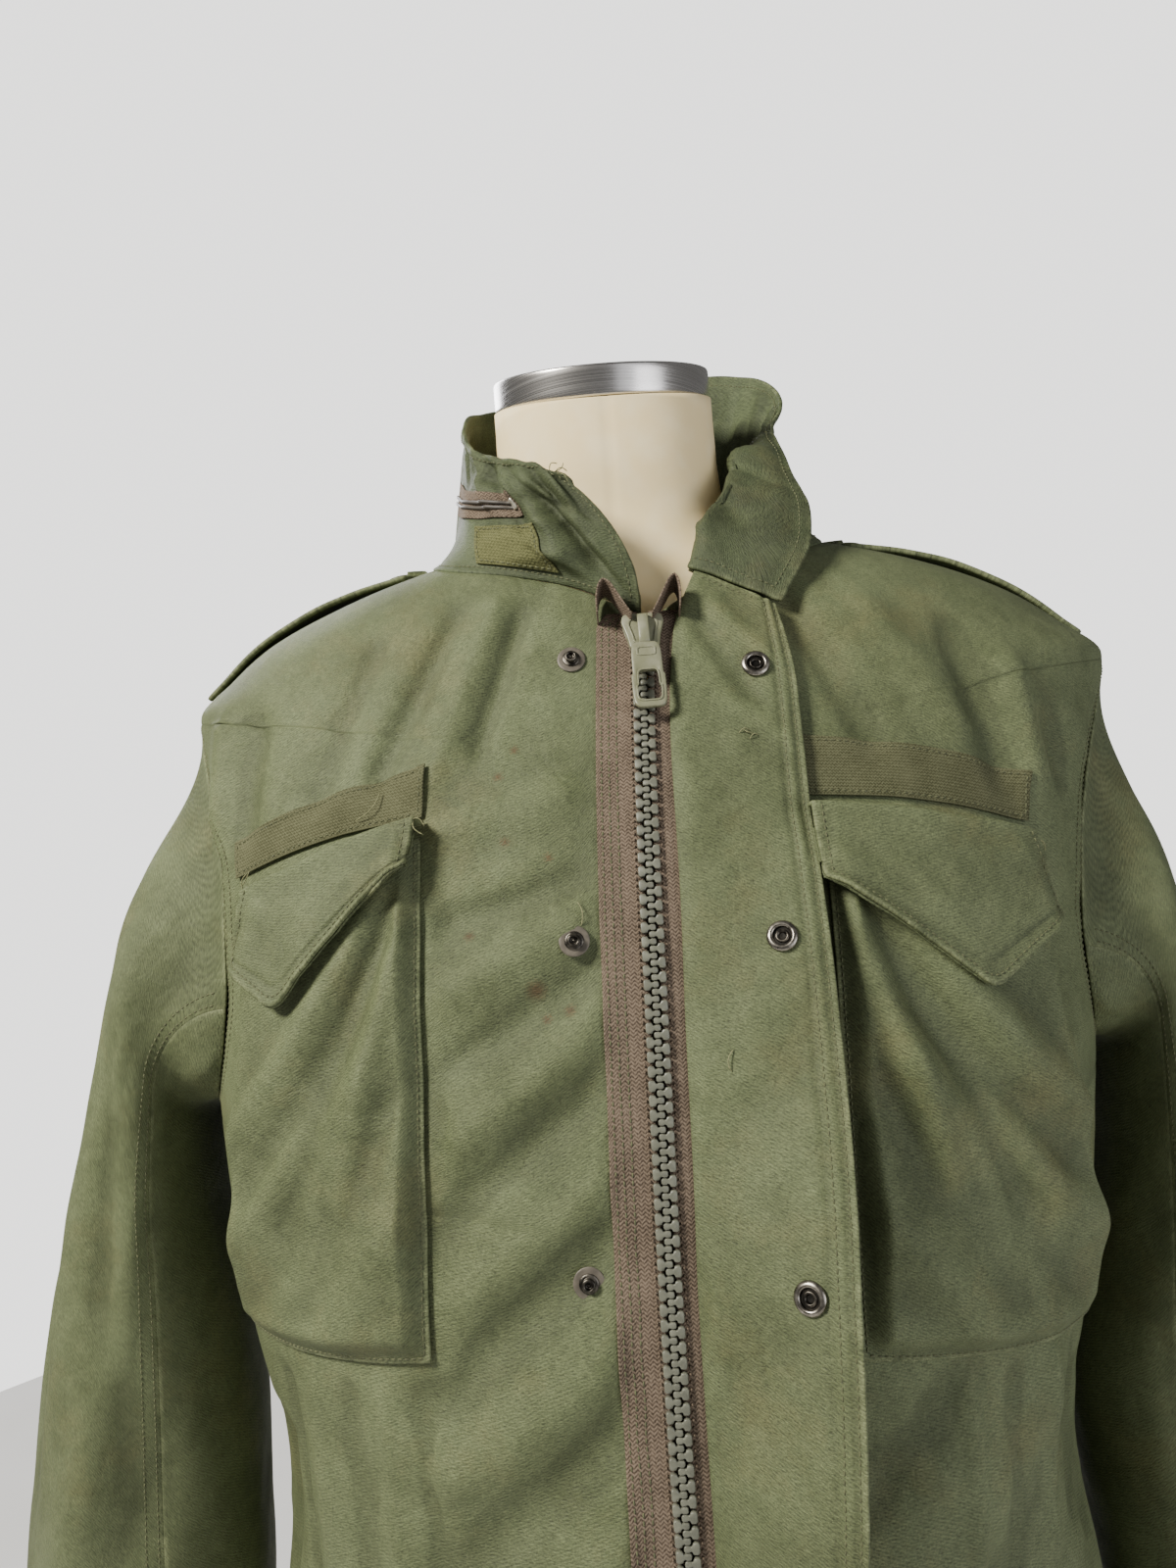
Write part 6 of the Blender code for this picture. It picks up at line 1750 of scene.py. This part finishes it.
@dataclass
class DressForm:
    """The tailor's form: cream torso, neck ring and cap, pole and round base."""

    shape: JacketShape
    # heights of the torso's underside, of its side's two ends and of the neck ring, and the ring's tilt
    underside: float = 0.11
    low: float = 0.128
    high: float = 0.9585
    ring_at: float = 0.9725
    tilt: float = math.radians(12)
    # height of the seam round the neck, and how far the torso's top lies below the ring
    neck_seam: float = 0.9385
    ring_gap: float = 0.0006
    # profiles of radius and height in mm
    ring: Profile = (
        (57.0, 0.0), (59.2, 0.0), (60.2, 1.0), (60.2, 8.0), (60.2, 15.0), (59.4, 16.0), (57.0, 16.0),
    )
    cap: Profile = (
        (0.0, 0.0), (56.4, 0.0), (56.4, 9.0), (55.0, 11.0), (52.0, 12.0), (0.0, 12.6),
    )
    base: Profile = (
        (0.0, 0.0), (148.0, 0.0), (151.0, 1.0), (152.0, 4.0), (151.0, 10.0), (148.0, 14.0), (110.0, 20.0),
        (30.0, 24.2), (0.0, 24.2),
    )
    pole: Profile = ((0.0, 0.0), (16.0, 0.0), (16.0, 84.4), (0.0, 84.4))
    pole_foot: float = 0.0246

    def gap(self, theta: Array, z: Array) -> Array:
        """Room between the form and the jacket's inside: a hair under the shoulder seam, more below."""
        ridge = smooth(z, 0.8, 0.826) * bump_at(np.cos(theta), 0, 0.3) * (1 - smooth(z, 0.872, 0.884))
        open_neck = 1 - smooth(z, 0.895, 0.93)
        room = 12.5 * MM * (1 - smooth(z, 0.8, 0.9)) + 4.5 * MM * smooth(z, 0.8, 0.9) * open_neck
        return room * (1 - ridge) + 1.5 * MM * ridge + 2.0 * MM * open_neck

    def torso(self) -> MeshData:
        """The torso: the jacket's plain outside moved inwards, a rounded underside and a tilted top."""
        theta, t = mesh_grid(np.linspace(0, 2 * math.pi, 132, endpoint=False), np.linspace(0, 1, 104))
        z = self.low + (self.high - self.low) * t
        grid = self.shape.plain(theta, z) - self.gap(theta, z)[..., None] * self.shape.normal(theta, z)
        seam = bump_at(grid[..., 0], 0, 1.6 * MM) + bump_at(z - 0.25 * grid[..., 1], self.neck_seam, 1.4 * MM)
        grid = grid - (0.7 * MM * seam)[..., None] * self.shape.normal(theta, z)
        under_ring = self.ring_at - self.ring_gap
        top = grid[:, -1].copy()
        top[:, 2] = under_ring + top[:, 1] * math.tan(self.tilt)
        # share of the lowest row's radius, and height
        low = self.underside
        rounding = ((0.05, low), (0.55, low), (0.85, 0.1115), (0.95, 0.1155), (0.985, 0.121))
        bottom = [grid[:, 0] * np.array([s, s, 0]) + np.array([0, 0, h]) for s, h in rounding]
        lid = top * np.array([0.05, 0.05, 1.0])
        lid[:, 2] = under_ring
        rows = np.concatenate([np.stack(bottom, 1), grid, top[:, None], lid[:, None]], 1)
        return capped(rows, np.stack([rows[:, 0].mean(axis=0), rows[:, -1].mean(axis=0)]))

    def build(self, cover: "Finish", steel: "Finish", coat: "Finish") -> None:
        """Builds the five pieces of the form."""
        axis = np.array([0, -math.sin(self.tilt), math.cos(self.tilt)])
        at, floor = np.array([0, 0, self.ring_at]), np.array([0, 0, 1.0])
        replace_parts(self.torso().build("form_cover", cover, "form_cover"), "form_torso")
        # node, profile, foot, axis, finish, slot, and how often the profile's corners are cut
        for name, profile, spot, turn, look, slot, rounds in (
            ("form_neck_ring", self.ring, at, axis, steel, "steel", 2),
            ("form_neck_cap", self.cap, at, axis, coat, "form_base_coat", 2),
            ("form_pole", self.pole, floor * self.pole_foot, floor, steel, "steel", 0),
            ("form_base", self.base, floor * 0, floor, coat, "form_base_coat", 2),
        ):
            made = turned(profile_of(profile, rounds), spot, turn, 96).build(name + "_turned", look, slot)
            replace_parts(made, name)


# ---- finishes


def linear(code: str) -> tuple[float, float, float, float]:
    """An sRGB hex colour in linear light: c/12.92 up to 0.04045, else ((c + 0.055)/1.055)^2.4."""
    parts = [int(code[k:k + 2], 16) / 255 for k in (1, 3, 5)]
    return (*[c / 12.92 if c <= 0.04045 else ((c + 0.055) / 1.055) ** 2.4 for c in parts], 1.0)


def add_node(tree: bpy.types.NodeTree, kind: str, inputs: dict,
             settings: dict | None = None) -> bpy.types.Node:
    """Adds a node to a tree.

    Args:
        tree: The tree.
        kind: The node's type.
        inputs: Socket name or number, with a value to set or an output to link.
        settings: Other properties of the node.

    Returns:
        The node.
    """
    node = tree.nodes.new(kind)
    for key, value in (settings or {}).items():
        setattr(node, key, value)
    for key, value in inputs.items():
        if isinstance(value, bpy.types.NodeSocket):
            tree.links.new(value, node.inputs[key])
        else:
            node.inputs[key].default_value = value
    return node


@dataclass(frozen=True)
class Nodes:
    """A node tree that is being filled, with one short method for each kind of node in it."""

    tree: bpy.types.NodeTree

    def add(self, kind: str, inputs: dict, settings: dict | None = None, out: int | str = 0) -> Socket:
        """One output of a new shader node."""
        return add_node(self.tree, "ShaderNode" + kind, inputs, settings).outputs[out]

    def place(self) -> Socket:
        """The position on the object, in metres."""
        return self.add("TexCoord", {}, out="Object")

    def uv(self) -> Socket:
        """The position on the flat cloth, in metres."""
        return self.add("UVMap", {}, {"uv_map": "cloth"})

    def value(self, name: str) -> Socket:
        """A value stored on the mesh's points."""
        return self.add("Attribute", {}, {"attribute_name": name}, "Fac")

    def noise(self, at: Socket, scale: float, detail: float, rough: float = 0.5, bent: float = 0.0) -> Socket:
        """Fractal noise from 0 to 1."""
        return self.add("TexNoise", {"Vector": at, "Scale": scale, "Detail": detail, "Roughness": rough,
                                     "Distortion": bent})

    def scaled(self, at: Socket, scale: tuple[float, float, float], turn: float = 0.0) -> Socket:
        """A position turned about its third axis and scaled."""
        return self.add("Mapping", {"Vector": at, "Rotation": (0.0, 0.0, turn), "Scale": scale})

    def maths(self, what: str, *values: Socket | float) -> Socket:
        """One operation on one to three values."""
        return self.add("Math", dict(enumerate(values)), {"operation": what})

    def span(self, value: Socket, low: float, high: float, to_low: float = 0.0, to_high: float = 1.0,
             shape: str = "LINEAR") -> Socket:
        """The range from low to high laid on the range from to_low to to_high, and held there."""
        ends = {0: value, 1: low, 2: high, 3: to_low, 4: to_high}
        return self.add("MapRange", ends, {"interpolation_type": shape})

    def mix(self, share: Socket, under: Socket | tuple, over: str) -> Socket:
        """A colour laid over another, by share."""
        return self.add("Mix", {0: share, 6: under, 7: linear(over)}, {"data_type": "RGBA"}, 2)

    def bump(self, strength: float, distance: float, height: Socket, under: Socket | None = None) -> Socket:
        """A normal bent by a height, on top of another one if given."""
        more = {} if under is None else {"Normal": under}
        return self.add("Bump", {"Strength": strength, "Distance": distance, "Height": height, **more})


@dataclass(frozen=True)
class Finish:
    """A finish by name; its material is made once."""

    name: str

    def material(self) -> bpy.types.Material:
        """The material of this finish."""
        made = bpy.data.materials.get(self.name)
        if made is None:
            made = bpy.data.materials.new(self.name)
            made.use_nodes = True
            made.node_tree.nodes.clear()
            shader = self.surface(Nodes(made.node_tree))
            add_node(made.node_tree, "ShaderNodeOutputMaterial", {"Surface": shader})
        return made

    def surface(self, nodes: Nodes) -> Socket:
        """The shader output of this finish."""
        raise NotImplementedError


@dataclass(frozen=True)
class Sateen(Finish):
    """Piece-dyed cotton sateen, washed and worn: mottled, paler along its edges, with a fine uneven grain."""

    base: str = "#5C6446"
    faded: str = "#7F8561"
    deep: str = "#4D5438"
    dust: str = "#766C45"
    rust: str = "#54422B"
    # x, height and radius in millimetres of the rust stains on the right front
    stains: tuple[tuple[float, float, float], ...] = (
        (-0.052, 0.676, 6.0), (-0.038, 0.667, 3.0), (-0.048, 0.664, 2.4), (-0.056, 0.78, 2.2),
        (-0.064, 0.768, 2.6), (-0.043, 0.731, 2.0), (-0.08, 0.7, 2.6), (-0.062, 0.739, 2.2),
    )

    def surface(self, nodes: Nodes) -> Socket:
        """Noise fading, edge wear, rust stains, painted shade and light by the relief, and a bump of grain and
        slubs.
        """
        place, uv = nodes.place(), nodes.uv()
        # fading in patches about 45 mm and 9 mm across, and soil in wider ones
        broad, spots = nodes.noise(place, 22.0, 4.0, 0.6), nodes.noise(place, 110.0, 3.0, 0.6)
        colour = nodes.mix(nodes.span(broad, 0.36, 0.66), linear(self.deep), self.base)
        colour = nodes.mix(nodes.span(spots, 0.34, 0.74, 0.0, 0.18), colour, self.faded)
        soiled = nodes.noise(place, 14.0, 5.0, 0.7)
        colour = nodes.mix(nodes.span(soiled, 0.52, 0.74, 0.0, 0.3), colour, self.dust)
        # the sateen's thread is about 0.3 mm; it is drawn at 0.9 mm, as finer grain is lost at this size
        grain = nodes.noise(nodes.scaled(uv, (1000.0, 1200.0, 1.0)), 1.0, 2.0, 0.7)
        slubs = nodes.noise(nodes.scaled(uv, (300.0, 1400.0, 1.0), 0.1), 1.0, 2.0, 0.7)
        # floats of the weave run in slanted lines 1.5 mm apart: sin(2 pi (v + 0.4 u) / 1.5 mm + 3 noise)
        flat = add_node(nodes.tree, "ShaderNodeSeparateXYZ", {0: uv}).outputs
        slant = nodes.maths("MULTIPLY_ADD", flat[0], 0.4, flat[1])
        wander = nodes.maths("MULTIPLY", spots, 3.0)
        lines = nodes.maths("SINE", nodes.maths("MULTIPLY_ADD", slant, 2 * math.pi / (1.5 * MM), wander))
        threads = nodes.maths("MULTIPLY", slubs, 0.50)
        threads = nodes.maths("MULTIPLY_ADD", grain, 0.50, threads)
        threads = nodes.maths("MULTIPLY_ADD", lines, 0.035, threads)
        dots = nodes.span(threads, 0.34, 0.66, 0.46, 1.46)
        # wear: the dye is rubbed off along seams and edges, in patches
        rim = nodes.span(nodes.value("edge"), 0.0, 2.6 * MM, 1.0, 0.0, "SMOOTHSTEP")
        worn = nodes.maths("MULTIPLY", rim, nodes.span(spots, 0.42, 0.66, 0.05, 0.60))
        colour = nodes.mix(worn, colour, self.faded)
        for x, z, wide in self.stains:
            spot = tuple(SHAPE.on_front(np.array(x), np.array(z)).tolist())
            away = nodes.add("VectorMath", {0: place, 1: spot}, {"operation": "DISTANCE"}, "Value")
            ragged = nodes.maths("MULTIPLY_ADD", grain, -9.0 * MM, away)
            ink = nodes.span(ragged, -4.5 * MM, (wide - 4.0) * MM, 0.85, 0.0, "SMOOTHSTEP")
            colour = nodes.mix(ink, colour, self.rust)
        # painted shade and painted light: hollows of the cloth's relief are darkened and its crests lightened,
        # standing in for shade in the folds and light on their ridges, together with ridges rubbed paler by
        # wear
        dots = nodes.maths("MULTIPLY", dots, nodes.span(nodes.value("relief"), -0.5, 0.5, 0.88, 1.12))
        lit = nodes.add("VectorMath", {0: colour, 3: dots}, {"operation": "SCALE"})
        # washing leaves fine sharp wrinkles about 12 mm apart, drawn as |noise - 1/2|
        crumple = nodes.noise(place, 46.0, 2.0, 0.45, 0.9)
        wrinkle = nodes.maths("ABSOLUTE", nodes.maths("SUBTRACT", crumple, 0.5))
        bump = nodes.bump(0.36, 3.6 * MM, wrinkle, nodes.bump(0.8, 0.9 * MM, threads))
        return nodes.add("BsdfPrincipled", {
            "Base Color": lit, "Roughness": 0.66, "Specular IOR Level": 0.32, "Normal": bump,
        })


@dataclass(frozen=True)
class Ribbed(Finish):
    """A narrow woven tape, webbing or pile: zigzag ribs with noise in them."""

    base: str
    deep: str
    # noise per metre across and along
    across: float
    along: float
    height: float = 0.4 * MM
    # rib spacing, width of a zigzag's leg, and the share of the ribs in the colour
    pitch: float = 1.6 * MM
    leg: float = 2.0 * MM
    ribs: float = 0.16

    def surface(self, nodes: Nodes) -> Socket:
        """Ribs sin(2 pi (v + pingpong(u)) / pitch) and noise, as colour and as height."""
        uv = nodes.uv()
        flat = add_node(nodes.tree, "ShaderNodeSeparateXYZ", {0: uv}).outputs
        phase = nodes.maths("ADD", flat[1], nodes.maths("PINGPONG", flat[0], self.leg))
        wave = nodes.maths("SINE", nodes.maths("MULTIPLY", phase, 2 * math.pi / self.pitch))
        fuzz = nodes.noise(nodes.scaled(uv, (self.across, self.along, 1.0)), 1.0, 2.0, 0.6)
        both = nodes.maths("MULTIPLY", fuzz, 0.72)
        both = nodes.maths("MULTIPLY_ADD", nodes.noise(nodes.place(), 60.0, 3.0), 0.34, both)
        both = nodes.maths("MULTIPLY_ADD", wave, self.ribs, both)
        colour = nodes.mix(nodes.span(both, 0.32, 0.72), linear(self.deep), self.base)
        return nodes.add("BsdfPrincipled", {
            "Base Color": colour, "Roughness": 0.88, "Specular IOR Level": 0.2,
            "Normal": nodes.bump(0.7, self.height, both),
        })


@dataclass(frozen=True)
class Plain(Finish):
    """A moulded, enamelled or metal surface with faint wear in its colour and gloss."""

    base: str
    worn: str
    metallic: float = 0.0
    roughness: float = 0.45
    grain: float = 300.0
    height: float = 0.05 * MM
    stretch: tuple[float, float, float] = (1.0, 1.0, 1.0)

    def surface(self, nodes: Nodes) -> Socket:
        """Noise between two colours, in the gloss, and as a faint height."""
        spots = nodes.noise(nodes.scaled(nodes.place(), self.stretch), self.grain, 3.0)
        colour = nodes.mix(nodes.span(spots, 0.42, 0.68), linear(self.base), self.worn)
        gloss = nodes.span(spots, 0.3, 0.7, self.roughness - 0.06, self.roughness + 0.08)
        return nodes.add("BsdfPrincipled", {
            "Base Color": colour, "Metallic": self.metallic, "Roughness": gloss,
            "Normal": nodes.bump(0.4, self.height, spots),
        })


# olive cotton sateen, piece-dyed and washed: the eye gets a matte, mottled green-brown with paler edges
COTTON = Sateen("cotton_sateen_piece_dyed")
# the same sateen on the collar, darker all over: a shaded copy of the cloth, painted shade standing in for the
# shade that falls on the collar
COLLAR_SHADED_COTTON = Sateen("cotton_sateen_painted_shade", base="#495238", faded="#6C7352", deep="#383F29", stains=())
# cotton-wrapped polyester thread, dyed olive, a shade darker than the cloth so that its rows read: the
# darkness is painted shade, standing in for the shadow line along each row
THREAD = Plain("corespun_thread_dyed_painted_shade", "#50533A", "#666949", roughness=0.8, grain=900.0)
# the same thread, frayed and bleached: pale curls
FRAYED = Plain("corespun_thread_frayed", "#707150", "#908F68", roughness=0.85, grain=900.0)
# twill zip tape, woven: taupe against the olive
TWILL = Ribbed("twill_tape_woven", "#7E6F60", "#40362C", 1000.0, 700.0, 0.5 * MM, 1.7 * MM, 1.5 * MM, 0.15)
# ribbed webbing, woven: fine dark cross ribs
WEBBING = Ribbed("ribbed_webbing_woven", "#62634A", "#383924", 1300.0, 620.0, pitch=1.5 * MM, leg=0.75 * MM,
                 ribs=0.15)
# loop pile, brushed: moss green with deep shade between its loops
PILE = Ribbed("loop_pile_brushed", "#6E6F4A", "#3E4026", 800.0, 800.0, 0.9 * MM, 2.0 * MM, 1.0 * MM, 0.10)
# acetal resin, moulded: grey-green teeth with a soft gloss
RESIN = Plain("acetal_resin_moulded", "#65665A", "#727365", roughness=0.40, grain=260.0, height=0.01 * MM)
# nylon coil, extruded: dark brown lines
COIL = Plain("nylon_coil_extruded", "#4A4540", "#5A544D", roughness=0.55, grain=400.0, height=0.01 * MM)
# zinc alloy, enamelled olive: smooth satin with rubbed spots
ENAMEL = Plain("zinc_alloy_enamelled", "#77785F", "#858570", roughness=0.36, grain=160.0, height=0.01 * MM)
# brass, blackened: dark brown posts with dull glints
BLACKENED = Plain("brass_blackened", "#3A3733", "#6B665E", metallic=1.0, roughness=0.36, height=0.01 * MM)
# brass flange, blackened and rubbed: flat grey-brown
RUBBED = Plain("brass_blackened_rubbed", "#5B554C", "#6A6358", metallic=0.3, roughness=0.5, height=0.01 * MM)
# brass, antiqued: bronze rings that catch the light
BRONZE = Plain("brass_antiqued", "#77726A", "#A6A096", metallic=1.0, roughness=0.28, height=0.01 * MM)
# brass well, near black and darker than the blackened posts: painted shade, a disc standing in for the shade
# inside the open socket
BLACK = Plain("brass_well_painted_shade", "#15130F", "#221E18", metallic=0.6, roughness=0.5)
# aluminium stop, crimped: a pale dot at the small zip's end
STOP = Plain("aluminium_crimped", "#B9B4A4", "#D6D2C4", metallic=0.6, roughness=0.35)
# melamine, moulded: olive buttons
BUTTON = Plain("melamine_moulded", "#5C6047", "#6B6F55", roughness=0.4)
# linen jersey cover, stretched and glued: cream, smooth, warm in the shade
COVER = Plain("jersey_cover_stretched", "#F2DCA8", "#F5E3B6", roughness=0.85, grain=60.0, height=0.05 * MM)
# stainless steel, brushed round its axis: streaked grey
STEEL = Plain("stainless_steel_brushed", "#B4B1AE", "#CFCCC9", metallic=1.0, roughness=0.26, grain=60.0,
              height=0.01 * MM, stretch=(0.1, 0.1, 60.0))
# mild steel, powder coated: near black with a fine tooth
COAT = Plain("mild_steel_powder_coated", "#1D1D1E", "#262627", roughness=0.55, grain=900.0, height=0.08 * MM)
# plaster floor, painted: pale and plain
FLOOR = Plain("plaster_painted", "#DEDDDB", "#DAD9D6", roughness=0.9, grain=6.0, height=0.0)


# ---- studio


@dataclass
class Studio:
    """Pale room, soft window light from the wearer's right, and the camera in front of the chest."""

    floor_radius: float = 1.25
    # name, place, what it faces, size in metres, power in watts and colour of each square light
    lamps: tuple[tuple, ...] = (
        ("window_light", (-1.24, -0.92, 1.80), (0, 0, 0.88), 0.45, 67.0, "#FFFBF0"),
        ("room_light", (1.3, -1.9, 1.0), (0.1, 0, 0.8), 1.6, 9.0, "#F8FAFF"),
        ("side_light", (1.5, -1.3, 0.6), (0.28, 0, 0.6), 1.0, 13.0, "#FAFBFF"),
        ("back_light", (-1.1, 1.8, 1.9), (0, 0, 0.6), 1.0, 42.0, "#FBFBFF"),
    )
    # the camera's place, the degrees that it is turned to the right, and its lens on a frame 36 mm wide
    eye: tuple[float, float, float] = (-0.0234, -0.636, 0.762)
    turned_by: float = 4.2
    lens: float = 34.5
    # the wall: how strongly it lights the cloth, and how bright it is seen
    wall: tuple[float, float] = (0.27, 2.9)

    def floor(self) -> None:
        """A plain pale disc under the stand."""
        turn = np.linspace(0, 2 * math.pi, 96, endpoint=False)
        wide, below = self.floor_radius, 0.5 * MM
        rim = np.stack([wide * np.cos(turn), wide * np.sin(turn), 0 * turn - below], -1)
        mesh = bpy.data.meshes.new("studio_floor")
        mesh.from_pydata(rim.tolist(), [], [list(range(96))])
        mesh.materials.append(FLOOR.material())
        disc = bpy.data.objects.new("studio_floor", mesh)
        bpy.context.scene.collection.objects.link(disc)

    def lamp(self, name: str, at: tuple[float, float, float], aim: tuple[float, float, float], size: float,
             power: float, colour: str) -> None:
        """A square soft light that faces a point."""
        light = bpy.data.lights.new(name, "AREA")
        light.shape, light.size, light.energy = "SQUARE", size, power
        light.color = linear(colour)[:3]
        lamp = bpy.data.objects.new(name, light)
        away = Vector(at) - Vector(aim)
        lamp.matrix_world = Matrix.Translation(at) @ away.to_track_quat("Z", "Y").to_matrix().to_4x4()
        bpy.context.scene.collection.objects.link(lamp)

    def build(self) -> None:
        """World, lights, floor and camera."""
        world = bpy.data.worlds.new("pale_room")
        bpy.context.scene.world = world
        world.use_nodes = True
        world.node_tree.nodes.clear()
        # the wall is seen bright, but lights the cloth only softly
        seen = add_node(world.node_tree, "ShaderNodeLightPath", {}).outputs["Is Camera Ray"]
        level = Nodes(world.node_tree).span(seen, 0.0, 1.0, *self.wall)
        room = Nodes(world.node_tree).add("Background", {"Color": linear("#DEDDDB"), "Strength": level})
        add_node(world.node_tree, "ShaderNodeOutputWorld", {"Surface": room})
        self.floor()
        for lamp in self.lamps:
            self.lamp(*lamp)
        camera = bpy.data.cameras.new("camera")
        camera.sensor_fit, camera.sensor_width, camera.lens = "HORIZONTAL", 36.0, self.lens
        eye = bpy.data.objects.new("camera", camera)
        eye.matrix_world = (Matrix.Translation(self.eye) @ Matrix.Rotation(math.radians(90), 4, "X")
                            @ Matrix.Rotation(math.radians(-self.turned_by), 4, "Z"))
        bpy.context.scene.collection.objects.link(eye)
        bpy.context.scene.camera = eye


def main() -> None:
    """Builds the jacket, the form and the studio, and notes their size."""
    logging.basicConfig(level=logging.INFO, format="%(name)s: %(message)s")
    BodyPanels(SHAPE).build(COTTON, THREAD)
    for side, table in SLEEVE_TABLES.items():
        Sleeve(SHAPE, side, table).build(COTTON, THREAD)
    collar, storm = Collar(SHAPE), StormFlap(SHAPE)
    collar.build(COLLAR_SHADED_COTTON, THREAD, PILE, TWILL, COIL, STOP)
    storm.build(COTTON, THREAD)
    for name, (bag, flap, pull) in POCKET_TABLES.items():
        PatchPocket(SHAPE, name, bag, flap, pull=pull).build(COTTON, THREAD)
    for side, corners in TAPE_CORNERS.items():
        ChestTape(SHAPE, side, corners).build(WEBBING, THREAD)
    for side in Wearer:
        ShoulderStrap(SHAPE, side).build(COTTON, THREAD, BUTTON)
    LooseThreads(SHAPE, storm, collar).build(FRAYED)
    Zip(SHAPE).build(TWILL, THREAD, RESIN, ENAMEL)
    Snaps(SHAPE, storm).build(RUBBED, BLACKENED, BRONZE, BLACK)
    DressForm(SHAPE).build(COVER, STEEL, COAT)
    Studio().build()


if __name__ == "__main__":
    main()
